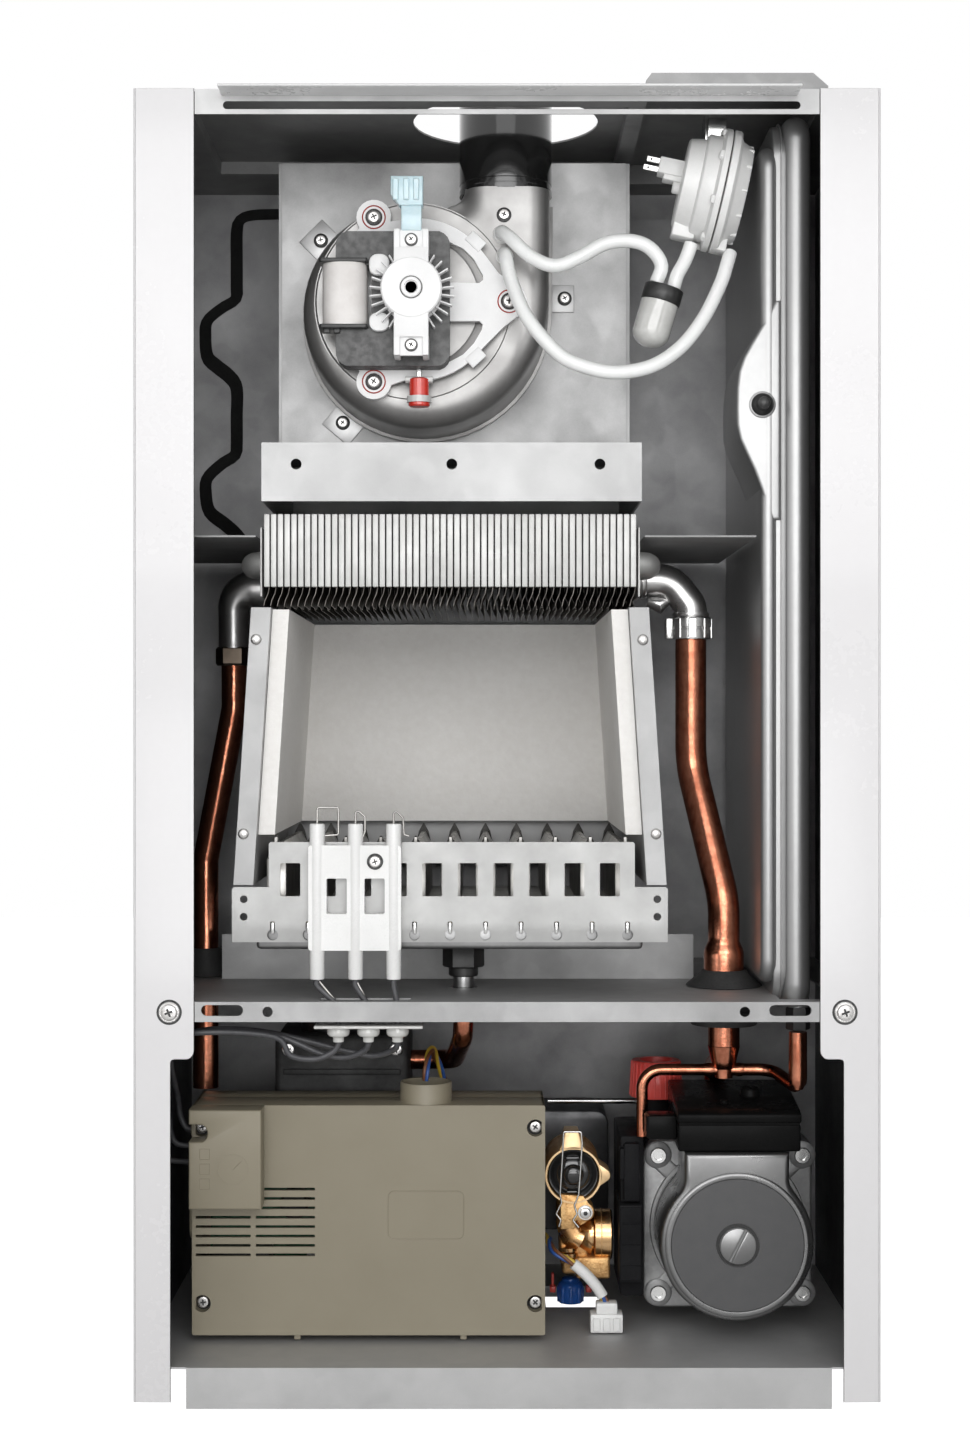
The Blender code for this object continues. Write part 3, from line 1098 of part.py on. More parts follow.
def build():
    clear_scene()
    looks = finishes()
    side_panel("side_panel_left", -1, looks["white"])
    side_panel("side_panel_right", 1, looks["white"])
    top_plate(looks["zinc"])
    top_rail(looks["zinc"])
    back_panel(looks["zinc"])
    bottom_tray(looks["zinc"])
    partition_shelf(looks["zinc"])
    mid_shelf(looks["zinc"])
    flue_hood(looks["zinc"])
    fan_plate(looks["zinc"])
    fan_volute(looks["satin"])
    fan_hub = axis_empty("fan_axis", (FAN_X, 0, FAN_Z))
    fan_impeller(looks["zinc"], fan_hub)
    fan_shaft(looks["chrome"], fan_hub)
    fan_cooling_wheel(looks["white_plastic"], fan_hub)
    fan_spider(looks["white_plastic"])
    fan_motor(looks)
    flue_pipe(looks["gloss_black"])
    pressure_switch(looks)
    silicone_hoses(looks["silicone"])
    trap_bottle(looks["silicone"])
    heat_exchanger(looks["fins"])
    flow_side(looks)
    return_pipe(looks["copper"])
    chamber_shell(looks["zinc"])
    chamber_insulation(looks["fibre"])
    burner_front_plate(looks["burner"])
    burner_ribs(looks["burner"])
    gas_manifold(looks["dark_zinc"])
    electrode_block(looks["ceramic"])
    lead_gland(looks["silicone"])
    electrode_leads(looks["lead"])
    gas_line(looks)
    control_box(looks)
    control_harness(looks["lead"])
    pump(looks)
    hydraulic_block(looks["cast"])
    manifold_pipe(looks["copper"])
    expansion_vessel(looks["silver"])
    relief_knob(looks["red"])
    diverter_valve(looks)
    plate_exchanger(looks["chrome"])
    fill_tap_knob(looks["blue"])


build()
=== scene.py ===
import math

import bmesh
import bpy
from mathutils import Matrix, Vector


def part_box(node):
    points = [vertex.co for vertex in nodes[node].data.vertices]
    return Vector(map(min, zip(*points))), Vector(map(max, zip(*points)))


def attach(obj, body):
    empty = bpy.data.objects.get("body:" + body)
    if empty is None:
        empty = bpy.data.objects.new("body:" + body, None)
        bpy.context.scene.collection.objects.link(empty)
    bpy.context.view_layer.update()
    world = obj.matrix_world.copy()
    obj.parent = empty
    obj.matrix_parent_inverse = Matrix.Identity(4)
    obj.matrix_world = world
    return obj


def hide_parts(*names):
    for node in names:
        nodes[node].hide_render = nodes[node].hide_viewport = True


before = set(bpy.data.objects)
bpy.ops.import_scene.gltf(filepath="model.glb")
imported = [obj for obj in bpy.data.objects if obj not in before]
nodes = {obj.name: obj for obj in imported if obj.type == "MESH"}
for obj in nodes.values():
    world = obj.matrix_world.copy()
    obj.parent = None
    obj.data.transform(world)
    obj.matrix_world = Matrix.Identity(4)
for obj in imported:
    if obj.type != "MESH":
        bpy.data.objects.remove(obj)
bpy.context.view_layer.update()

# The camera stands straight in front of the open casing at eye level with its middle, far
# enough back for the whole height to fill the frame. The depths of the pieces count from
# the plane of the casing's front flanges.
FRONT = -0.23
CAMERA_BACK = 1.181
CAMERA_AT = (-0.0118, FRONT - CAMERA_BACK, 0.0085)
FRAME_HEIGHT = 0.7781
SENSOR = 36
view = bpy.data.cameras.new("front_view")
view.sensor_fit = 'VERTICAL'
view.sensor_height = SENSOR
view.sensor_width = SENSOR
view.lens = SENSOR * CAMERA_BACK / FRAME_HEIGHT
camera = bpy.data.objects.new("front_view", view)
camera.location = CAMERA_AT
camera.rotation_euler = (math.radians(90), 0, 0)
bpy.context.scene.collection.objects.link(camera)
bpy.context.scene.camera = camera
bpy.context.scene.view_settings.view_transform = 'Standard'


# Studio light. Soft boxes above, before and below the camera, and a tall strip on each side
# that draws the bright lines down the pipes, in an even pale surround. The floor is pale and
# keeps the shadow.
def soft_box(name, place, aim, size, power):
    lamp = bpy.data.lights.new(name, 'AREA')
    lamp.shape = 'RECTANGLE'
    lamp.size, lamp.size_y = size
    lamp.energy = power
    thing = bpy.data.objects.new(name, lamp)
    thing.location = place
    thing.rotation_euler = (Vector(aim) - Vector(place)).to_track_quat('-Z', 'Y').to_euler()
    bpy.context.scene.collection.objects.link(thing)
    return thing


soft_box("light_above", (0, -1.5, 1.3), (0, -0.15, 0.05), (1.3, 0.8), 3)
soft_box("light_front", (0, -1.5, 0.42), (0, -0.1, -0.02), (1.3, 0.5), 8.4)
soft_box("light_low", (0, -1.5, -0.12), (0, -0.06, -0.05), (0.8, 0.3), 3.2)
soft_box("light_left", (-1.15, -1.35, -0.05), (0, -0.12, -0.05), (0.3, 1.4), 2)
soft_box("light_right", (1.15, -1.35, -0.05), (0, -0.12, -0.05), (0.3, 1.4), 2)


def clamped_sum(tree, first, second):
    made = tree.nodes.new('ShaderNodeMath')
    made.operation = 'ADD'
    made.use_clamp = True
    tree.links.new(first, made.inputs[0])
    tree.links.new(second, made.inputs[1])
    return made.outputs[0]


studio = bpy.data.worlds.new("studio")
studio.use_nodes = True
studio.node_tree.nodes.clear()
tree = studio.node_tree
path = tree.nodes.new('ShaderNodeLightPath').outputs
seen = clamped_sum(tree, path['Is Camera Ray'], path['Is Glossy Ray'])
surround = tree.nodes.new('ShaderNodeMixShader')
tree.links.new(clamped_sum(tree, seen, path['Is Transmission Ray']), surround.inputs[0])
for slot, strength in ((1, 0.18), (2, 1)):
    white = tree.nodes.new('ShaderNodeBackground')
    white.inputs['Color'].default_value = (1, 1, 1, 1)
    white.inputs['Strength'].default_value = strength
    tree.links.new(white.outputs[0], surround.inputs[slot])
out = studio.node_tree.nodes.new('ShaderNodeOutputWorld')
studio.node_tree.links.new(surround.outputs[0], out.inputs['Surface'])
bpy.context.scene.world = studio

FLOOR_LEVEL = -0.372
FLOOR_HALF = 3
sheet = bmesh.new()
bmesh.ops.create_grid(sheet, x_segments=1, y_segments=1, size=FLOOR_HALF)
bmesh.ops.translate(sheet, vec=(0, 0, FLOOR_LEVEL), verts=sheet.verts)
floor_mesh = bpy.data.meshes.new("floor")
sheet.to_mesh(floor_mesh)
sheet.free()
floor = bpy.data.objects.new("floor", floor_mesh)
bpy.context.scene.collection.objects.link(floor)
pale = bpy.data.materials.new("pale_floor")
pale.use_nodes = True
paper = pale.node_tree.nodes["Principled BSDF"]
paper.inputs["Base Color"].default_value = (0.93, 0.93, 0.93, 1)
paper.inputs["Roughness"].default_value = 0.9
paper.inputs["Emission Color"].default_value = (1, 1, 1, 1)
path = pale.node_tree.nodes.new('ShaderNodeLightPath')
pale.node_tree.links.new(path.outputs['Is Camera Ray'], paper.inputs["Emission Strength"])
floor_mesh.materials.append(pale)


# Silicone hoses. Translucent extruded tube, 7.8 mm outside, pushed over the spigots of the
# fan, the water trap and the pressure switch. They sag under their own weight between them.
def behind(depth):
    """Y of a plane that lies this far behind the casing's front flanges."""
    return FRONT + depth


def new_group(name, colour, shade, **numbers):
    """A shader group that gives a colour, a roughness and a height; numbers are its further
    inputs. Returned: the tree, its inputs, its outputs and the object coordinates."""
    tree = bpy.data.node_groups.new(name, 'ShaderNodeTree')
    for label, default in (("Colour", colour), ("Shade", shade)):
        socket = tree.interface.new_socket(label, in_out='INPUT', socket_type='NodeSocketColor')
        socket.default_value = (*default, 1)
    for label, default in numbers.items():
        socket = tree.interface.new_socket(label.replace("_", " "), in_out='INPUT',
            socket_type='NodeSocketFloat')
        socket.default_value = default
    for label, kind in (("Colour", 'NodeSocketColor'), ("Roughness", 'NodeSocketFloat'),
            ("Height", 'NodeSocketFloat')):
        tree.interface.new_socket(label, in_out='OUTPUT', socket_type=kind)
    return (tree, tree.nodes.new('NodeGroupInput').outputs, tree.nodes.new('NodeGroupOutput').inputs,
        tree.nodes.new('ShaderNodeTexCoord').outputs['Object'])


def feed(tree, socket, value):
    """Link a socket to another one, or set it to a plain number."""
    if isinstance(value, bpy.types.NodeSocket):
        tree.links.new(value, socket)
    else:
        socket.default_value = value


def noise(tree, place, scale, detail=4, roughness=0.55):
    """Noise at the given coordinates; scale is a number or a socket."""
    made = tree.nodes.new('ShaderNodeTexNoise')
    for label, value in (('Detail', detail), ('Roughness', roughness), ('Scale', scale),
            ('Vector', place)):
        feed(tree, made.inputs[label], value)
    return made.outputs['Fac']


def spread(tree, value, low, high, to_low=0, to_high=1):
    """A value stretched from one span to another; the ends are numbers or sockets."""
    made = tree.nodes.new('ShaderNodeMapRange')
    for label, end in (('Value', value), ('From Min', low), ('From Max', high), ('To Min', to_low),
            ('To Max', to_high)):
        feed(tree, made.inputs[label], end)
    return made.outputs['Result']


def combine(tree, operation, first, second=0):
    made = tree.nodes.new('ShaderNodeMath')
    made.operation = operation
    feed(tree, made.inputs[0], first)
    feed(tree, made.inputs[1], second)
    return made.outputs[0]


def weigh(tree, first, share, second, rest):
    """Two values, each times its weight, added up."""
    return combine(tree, 'ADD', combine(tree, 'MULTIPLY', first, share),
        combine(tree, 'MULTIPLY', second, rest))


def close_group(tree, wants, gives, share, height, flip=False, roughness=None):
    """Colour and roughness follow one share between their ends; flip turns the ends round."""
    ends = ["Colour", "Shade"], ["Smoothest", "Roughest"]
    (first, last), (low, high) = [pair[::-1] for pair in ends] if flip else ends
    mixed = tree.nodes.new('ShaderNodeMix')
    mixed.data_type = 'RGBA'
    for slot, value in (('Factor', share), (6, wants[first]), (7, wants[last])):
        tree.links.new(value, mixed.inputs[slot])
    tree.links.new(mixed.outputs[2], gives["Colour"])
    roughness = roughness or spread(tree, share, 0, 1, wants[low], wants[high])
    tree.links.new(roughness, gives["Roughness"])
    tree.links.new(height, gives["Height"])


uneven, wants, gives, place = new_group("uneven_surface", (0.8, 0.8, 0.8), (0.6, 0.6, 0.6), Cloud_Scale=20,
    Grain_Scale=900, Smoothest=0.3, Roughest=0.5)
cloud = noise(uneven, place, wants["Cloud Scale"], 5)
grain = noise(uneven, place, wants["Grain Scale"], 3)
close_group(uneven, wants, gives, spread(uneven, weigh(uneven, cloud, 0.75, grain, 0.25), 0.38, 0.64),
    grain)


def finish_from(group, name, values, bump=0.1, depth=0.0003, **plain):
    """A material whose colour, roughness and relief come from a shader group; plain names the
    shader's own sockets that stay the same all over. A colour given as one number is a grey."""
    made = bpy.data.materials.new(name)
    made.use_nodes = True
    tree = made.node_tree
    shader = tree.nodes["Principled BSDF"]
    source = tree.nodes.new('ShaderNodeGroup')
    source.node_tree = group
    for label, value in values.items():
        if label in ("Colour", "Shade"):
            value = (*(value if isinstance(value, tuple) else (value,) * 3), 1)
        source.inputs[label].default_value = value
    relief = tree.nodes.new('ShaderNodeBump')
    relief.inputs['Strength'].default_value = bump
    relief.inputs['Distance'].default_value = depth
    for start, end in ((source.outputs["Colour"], shader.inputs["Base Color"]),
            (source.outputs["Roughness"], shader.inputs["Roughness"]),
            (source.outputs["Height"], relief.inputs['Height']),
            (relief.outputs['Normal'], shader.inputs['Normal'])):
        tree.links.new(start, end)
    for label, value in plain.items():
        shader.inputs[label.replace("_", " ")].default_value = value
    return made


def moulded(name, colour, shade, smoothest=0.3, roughest=0.5, clouds=25, grain=1200, bump=0.12, **plain):
    return finish_from(uneven, name, {"Colour": colour, "Shade": shade, "Cloud Scale": clouds,
        "Grain Scale": grain, "Smoothest": smoothest, "Roughest": roughest}, bump=bump, **plain)


def smooth_route(anchors, spacing):
    """Points at an even spacing on a smooth curve through a hose's anchors."""
    anchors = [Vector(p) for p in anchors]
    padded = [2 * anchors[0] - anchors[1]] + anchors + [2 * anchors[-1] - anchors[-2]]
    fine = []
    for p0, p1, p2, p3 in zip(padded, padded[1:], padded[2:], padded[3:]):
        for i in range(20):
            t = i / 20
            fine.append(0.5 * (2 * p1 + (p2 - p0) * t + (2 * p0 - 5 * p1 + 4 * p2 - p3) * t ** 2
                + (3 * p1 - p0 - 3 * p2 + p3) * t ** 3))
    fine.append(anchors[-1])
    lengths = [0]
    for a, b in zip(fine, fine[1:]):
        lengths.append(lengths[-1] + (b - a).length)
    count = max(3, round(lengths[-1] / spacing))
    points, at = [], 0
    for i in range(count + 1):
        goal = lengths[-1] * i / count
        while at < len(fine) - 2 and lengths[at + 1] < goal:
            at += 1
        step = (goal - lengths[at]) / (lengths[at + 1] - lengths[at])
        points.append(fine[at].lerp(fine[at + 1], min(1, step)))
    return points


def tube(name, points, diameter, look, sides=3):
    """A round tube along points, as a curve with filled ends."""
    line = bpy.data.curves.new(name, 'CURVE')
    line.dimensions = '3D'
    line.bevel_depth = diameter / 2
    line.bevel_resolution = sides
    line.use_fill_caps = True
    run = line.splines.new('POLY')
    run.points.add(len(points) - 1)
    for knot, point in zip(run.points, points):
        knot.co = (*point, 1)
    run.use_smooth = True
    thing = bpy.data.objects.new(name, line)
    bpy.context.scene.collection.objects.link(thing)
    line.materials.append(look)
    return thing


silicone = moulded("silicone", (0.93, 0.94, 0.93), (0.87, 0.88, 0.87), 0.16, 0.3, 40, 300, 0.05,
    Subsurface_Weight=0.35, Subsurface_Radius=(0.6, 0.6, 0.6), Subsurface_Scale=0.004, Coat_Weight=0.25,
    Coat_Roughness=0.12)
HOSE = 0.0078
TRAP_FOOT = Vector((0.078, behind(0.042), 0.219))
TRAP_TILT = math.radians(16)
TRAP_HEIGHT = 0.035
SPIGOT = 0.005
ROUTE_STEP = 0.0025


def trap_point(across, up):
    """A place near the leaning trap, measured across and along its axis from its foot."""
    return TRAP_FOOT + Matrix.Rotation(TRAP_TILT, 3, 'Y') @ Vector((across, 0, up))


hose_routes = {
    "hose_fan_to_trap": [(-0.0022, behind(0.0614), 0.286), (-0.0022, behind(0.056), 0.286),
        (0.003, behind(0.047), 0.28), (0.014, behind(0.042), 0.269), (0.027, behind(0.041), 0.264),
        (0.041, behind(0.041), 0.269), (0.055, behind(0.0415), 0.2765), (0.069, behind(0.042), 0.278),
        (0.0795, behind(0.042), 0.274), trap_point(-SPIGOT, TRAP_HEIGHT + 0.011),
        trap_point(-SPIGOT, TRAP_HEIGHT + 0.0006)],
    "hose_fan_to_switch": [(-0.001, behind(0.0614), 0.2735), (-0.001, behind(0.054), 0.2735),
        (0, behind(0.044), 0.268), (0.0025, behind(0.039), 0.256), (0.011, behind(0.031), 0.234),
        (0.028, behind(0.026), 0.213), (0.043, behind(0.025), 0.2055), (0.06, behind(0.025), 0.2025),
        (0.079, behind(0.0265), 0.206), (0.095, behind(0.029), 0.2165), (0.108, behind(0.032), 0.233),
        (0.118, behind(0.036), 0.253), (0.1222, behind(0.04), 0.2655), (0.124, behind(0.043), 0.2712)],
    "hose_trap_to_switch": [trap_point(SPIGOT, TRAP_HEIGHT + 0.0006),
        trap_point(SPIGOT, TRAP_HEIGHT + 0.008), (0.0985, behind(0.043), 0.266),
        (0.101, behind(0.0435), 0.272), (0.1026, behind(0.0435), 0.277)]}
for name, anchors in hose_routes.items():
    points = smooth_route(anchors, ROUTE_STEP)
    hose = tube(name + "_tube", points, HOSE, silicone, 6)
    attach(hose, "boiler")
    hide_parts(name)


# Ignition and sensing leads. Silicone-sleeved wires of 3.2 mm that leave the feet of the
# electrode tubes, pass the rubber gland and run behind the left flange into the control box.
lead_sleeve = moulded("lead_sleeve", (0.075, 0.075, 0.08), (0.045, 0.045, 0.05), 0.38, 0.55, 60, 700, 0.1)
LEAD = 0.0032
GLANDS = (-0.059, -0.0747, -0.0909)
GLAND_Y = behind(0.011)
SOCKET_Y = behind(0.066)
LEAD_SAG = -0.1705
lead_names = ("lead_flame_sensor", "lead_ignition_right", "lead_ignition_left")
lead_starts = (-0.0611, -0.0817, -0.1024)
socket_levels = (-0.2184, -0.2277, -0.2367)
for i, (name, start, gland, level) in enumerate(zip(lead_names, lead_starts, GLANDS, socket_levels)):
    lane_y = behind(0.024 - 0.0065 * i)
    lane_x = -0.1845 - 0.0052 * i
    anchors = [(start, GLAND_Y, -0.1277), (start, GLAND_Y, -0.131), (gland, GLAND_Y, -0.142),
        (gland, GLAND_Y, -0.146), (gland, GLAND_Y, -0.154), (gland, GLAND_Y, -0.1625),
        (gland - 0.0035, (GLAND_Y + lane_y) / 2, LEAD_SAG + 0.0035), (gland - 0.013, lane_y, LEAD_SAG),
        (gland - 0.026, lane_y, LEAD_SAG + 0.002), (-0.124, lane_y, -0.159), (-0.15, lane_y, -0.156),
        (lane_x + 0.015, lane_y, -0.1575), (lane_x + 0.002, lane_y + 0.002, -0.164),
        (lane_x, lane_y + 0.01, -0.178), (lane_x, SOCKET_Y - 0.005, level + 0.019),
        (lane_x + 0.0005, SOCKET_Y, level + 0.0085), (lane_x + 0.0035, SOCKET_Y, level + 0.0015),
        (-0.1785, SOCKET_Y, level), (-0.1753, SOCKET_Y, level)]
    points = smooth_route(anchors, ROUTE_STEP)
    lead = tube(name + "_sleeve", points, LEAD, lead_sleeve, 5)
    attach(lead, "boiler")
    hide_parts(name)


# Wires of the control box. Three thin insulated wires, yellow, brown and blue, laid up
# together: out of the box's collar, down behind the box and round to a white plug.
HARNESS = 0.0042
STRAND = HARNESS / 4
LAY_LENGTH = 0.045
harness_anchors = [(-0.045, behind(0.065), -0.1906), (-0.045, behind(0.065), -0.185),
    (-0.044, behind(0.071), -0.178), (-0.042, behind(0.086), -0.176), (-0.039, behind(0.101), -0.186),
    (-0.03, behind(0.107), -0.21), (-0.01, behind(0.108), -0.245), (0.008, behind(0.109), -0.276),
    (0.018, behind(0.107), -0.285), (0.0246, behind(0.098), -0.287), (0.0251, behind(0.085), -0.287),
    (0.0275, behind(0.073), -0.289), (0.035, behind(0.07), -0.293), (0.044, behind(0.07), -0.3),
    (0.052, behind(0.07), -0.309), (0.057, behind(0.07), -0.318)]


def new_piece(name, bm, looks, stands_for=None, body="boiler", angle=35):
    """A finished mesh at the origin with its materials. It rides on a body, has a material
    slot and may stand for a node of the pack."""
    mesh = bpy.data.meshes.new(name)
    bm.to_mesh(mesh)
    bm.free()
    mesh.shade_smooth()
    mesh.set_sharp_from_angle(angle=math.radians(angle))
    thing = bpy.data.objects.new(name, mesh)
    bpy.context.scene.collection.objects.link(thing)
    for look in looks:
        mesh.materials.append(look)
    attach(thing, body)
    if stands_for:
        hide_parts(stands_for)
    return thing


def mm(*points):
    """Points given in millimetres."""
    return [tuple(value / 1000 for value in point) for point in points]


def sweep(bm, points, radii, sides=12, material=0, closed_ends=True):
    """A tube of changing radius along points, its rings turned by the least twist."""
    points = [Vector(p) for p in points]
    radii = radii if isinstance(radii, (list, tuple)) else [radii] * len(points)
    ahead = (points[1] - points[0]).normalized()
    across = ahead.orthogonal().normalized()
    rings = []
    for i, point in enumerate(points):
        before, after = points[max(0, i - 1)], points[min(len(points) - 1, i + 1)]
        heading = (after - before).normalized()
        across = (across - heading * across.dot(heading)).normalized()
        up = heading.cross(across)
        rings.append([bm.verts.new(point + (across * math.cos(math.tau * k / sides)
            + up * math.sin(math.tau * k / sides)) * radii[i]) for k in range(sides)])
    made = []
    for first, second in zip(rings, rings[1:]):
        for k in range(sides):
            made.append(bm.faces.new((first[k], first[(k + 1) % sides],
                second[(k + 1) % sides], second[k])))
    if closed_ends:
        made.append(bm.faces.new(rings[0][::-1]))
        made.append(bm.faces.new(rings[-1]))
    for face in made:
        face.material_index = material
    return made


points = smooth_route(harness_anchors, ROUTE_STEP)
strands = bmesh.new()
for k in range(3):
    ahead = (points[1] - points[0]).normalized()
    across = ahead.orthogonal().normalized()
    strand_points, gone = [], 0
    for i, point in enumerate(points):
        heading = (points[min(len(points) - 1, i + 1)] - points[max(0, i - 1)]).normalized()
        across = (across - heading * across.dot(heading)).normalized()
        turn = math.tau * (gone / LAY_LENGTH + k / 3)
        strand_points.append(point + (across * math.cos(turn) + heading.cross(across) * math.sin(turn))
            * (HARNESS / 2 - STRAND))
        if i < len(points) - 1:
            gone += (points[i + 1] - point).length
    sweep(strands, strand_points, STRAND, 8, k)
wire_looks = []
for word, colour in (("yellow", (0.7, 0.47, 0.05)), ("brown", (0.2, 0.075, 0.03)),
        ("blue", (0.03, 0.1, 0.36))):
    shade = tuple(0.75 * c for c in colour)
    wire_looks.append(moulded("wire_" + word, colour, shade, 0.3, 0.45, 80, 900, 0.05))
wires = new_piece("control_harness_wires", strands, wire_looks, "control_harness", angle=60)


def settle(bm, before, matrix, material):
    """Place the faces that came after before, and give them their material."""
    faces = [f for f in bm.faces if f not in before]
    if matrix:
        bmesh.ops.transform(bm, matrix=matrix, verts=list({v for f in faces for v in f.verts}))
    for face in faces:
        face.material_index = material
    return faces


def lathe(bm, profile, matrix=None, sides=32, material=0):
    """Spin a profile of (radius, height) about Z, then place it. Profiles run outwards from
    the low end to the high end, so the faces point outwards."""
    verts = [bm.verts.new((radius, 0, height)) for radius, height in profile]
    edges = [bm.edges.new(pair) for pair in zip(verts, verts[1:])]
    if min(profile[0][0], profile[-1][0]) > 0:
        edges.append(bm.edges.new((verts[-1], verts[0])))
    before = set(bm.faces)
    bmesh.ops.spin(bm, geom=verts + edges, cent=(0, 0, 0), axis=(0, 0, 1), angle=math.tau, steps=sides,
        use_merge=True)
    corners = list({v for f in bm.faces if f not in before for v in f.verts})
    bmesh.ops.remove_doubles(bm, verts=corners, dist=1e-7)
    bmesh.ops.recalc_face_normals(bm, faces=[f for f in bm.faces if f not in before])
    return settle(bm, before, matrix, material)


def band(inner, outer, low, high):
    """Profile of a plain ring, or of a disc when it starts at radius 0."""
    return [(inner, low), (outer, low), (outer, high), (inner, high)]


def block(bm, x, y, z, bevel=0, segments=2, matrix=None, material=0):
    """A box between two X, two Y and two Z values with rounded edges."""
    before = set(bm.faces)
    made = bmesh.ops.create_cube(bm, size=1)["verts"]
    bmesh.ops.scale(bm, vec=(x[1] - x[0], y[1] - y[0], z[1] - z[0]), verts=made)
    bmesh.ops.translate(bm, vec=((x[0] + x[1]) / 2, (y[0] + y[1]) / 2, (z[0] + z[1]) / 2), verts=made)
    if bevel:
        edges = list({e for v in made for e in v.link_edges})
        bmesh.ops.bevel(bm, geom=edges, offset=bevel, offset_type='OFFSET', segments=segments, profile=0.5,
            affect='EDGES', material=-1)
    return settle(bm, before, matrix, material)


def depths(near, far):
    """The Y of both ends of a piece that reaches from one depth to another."""
    return behind(near), behind(far)


def blocks(bm, *rows, segments=2, material=0):
    """Boxes in millimetres, each from left to right, from a near to a far depth behind the
    casing's front and from its foot to its top, with the bevel of its edges."""
    for left, right, near, far, foot, top, bevel in mm(*rows):
        block(bm, (left, right), depths(near, far), (foot, top), bevel, segments, material=material)


def grown_parts(result, kind):
    """The vertices or the edges among what an operator made."""
    return [part for part in result["geom"] if isinstance(part, kind)]


def slab(bm, outline, axis, start, end, bevel=0, segments=2, matrix=None, material=0, rims=True):
    """An outline pushed along an axis: X takes (Y, Z), Y takes (X, Z), Z takes (X, Y). The
    bevel rounds the two rims, and with rims off it rounds every edge."""
    put = {'X': lambda u, v: (start, u, v), 'Y': lambda u, v: (u, start, v),
        'Z': lambda u, v: (u, v, start)}[axis]
    along = {'X': Vector((1, 0, 0)), 'Y': Vector((0, 1, 0)), 'Z': Vector((0, 0, 1))}[axis]
    before = set(bm.faces)
    face = bm.faces.new([bm.verts.new(put(u, v)) for u, v in outline])
    grown = bmesh.ops.extrude_face_region(bm, geom=[face])
    bmesh.ops.translate(bm, vec=along * (end - start), verts=grown_parts(grown, bmesh.types.BMVert))
    faces = [f for f in bm.faces if f not in before]
    bmesh.ops.recalc_face_normals(bm, faces=faces)
    if bevel:
        edges = list({e for f in faces for e in f.edges})
        if rims:
            edges = [e for e in edges if abs((e.verts[1].co - e.verts[0].co).dot(along)) < 1e-9]
        bmesh.ops.bevel(bm, geom=edges, offset=bevel, offset_type='OFFSET', segments=segments, profile=0.5,
            affect='EDGES', clamp_overlap=True, material=-1)
    return settle(bm, before, matrix, material)


def arc(centre, radius, first, last, steps):
    """Points on an arc, angles in degrees."""
    turns = [math.radians(first + (last - first) * i / steps) for i in range(steps + 1)]
    return [(centre[0] + radius * math.cos(a), centre[1] + radius * math.sin(a)) for a in turns]


def rounded(x, z, radius, steps=4):
    """A rectangle with round corners, anticlockwise."""
    (x0, x1), (z0, z1) = x, z
    corners = [((x1 - radius, z0 + radius), -90), ((x1 - radius, z1 - radius), 0),
        ((x0 + radius, z1 - radius), 90), ((x0 + radius, z0 + radius), 180)]
    return [p for centre, first in corners for p in arc(centre, radius, first, first + 90, steps)]


def placed(x, y, z):
    return Matrix.Translation((x, y, z))


def turned(degrees, axis):
    return Matrix.Rotation(math.radians(degrees), 4, axis)


def spoke(k, count):
    """The turn about Z to one of a number of equal spokes."""
    return Matrix.Rotation(math.tau * k / count, 4, 'Z')


def facing(x, z, front):
    """Turns a shape spun about Z so that its axis points at the viewer, at this place."""
    return placed(x, front, z) @ turned(90, 'X')


white_nylon = moulded("white_nylon", (0.8, 0.8, 0.79), (0.7, 0.7, 0.69), 0.28, 0.42, 60, 1500, 0.08)
sleeve = bmesh.new()
sweep(sleeve, points[-13:-2], 0.0032, 20)
sleeve_piece = new_piece("harness_sleeve", sleeve, [white_nylon])
plug = bmesh.new()
blocks(plug, (47.7, 66, 64, 76, -333, -322.5, 0.8), (51, 63, 65.5, 74.5, -323, -316.5, 1))
for i in range(3):
    block(plug, (0.0492 + 0.0056 * i, 0.0532 + 0.0056 * i), depths(0.063, 0.0645), (-0.332, -0.3245),
        0.0004, 1)
plug_piece = new_piece("harness_plug", plug, [white_nylon])


# Side panels. Folded sheet steel with white enamel, a wide front flange above and a narrower
# one beside the controls, each with a pan-head screw; the inside faces take a near-black painted shade.
enamel = moulded("white_enamel", (0.745, 0.737, 0.745), (0.725, 0.715, 0.723), 0.22, 0.3, 6, 260, 0.02,
    Coat_Weight=0.3, Coat_Roughness=0.08)
# Painted shade: a near-black colour standing in for the shade inside the casing, used on the side panels'
# inner faces and in the control box's screw wells and cable collar.
painted_shade_black = moulded("painted_shade_inside", (0.035, 0.035, 0.036), (0.022, 0.022, 0.023), 0.45, 0.65, 14, 500,
    0.08)


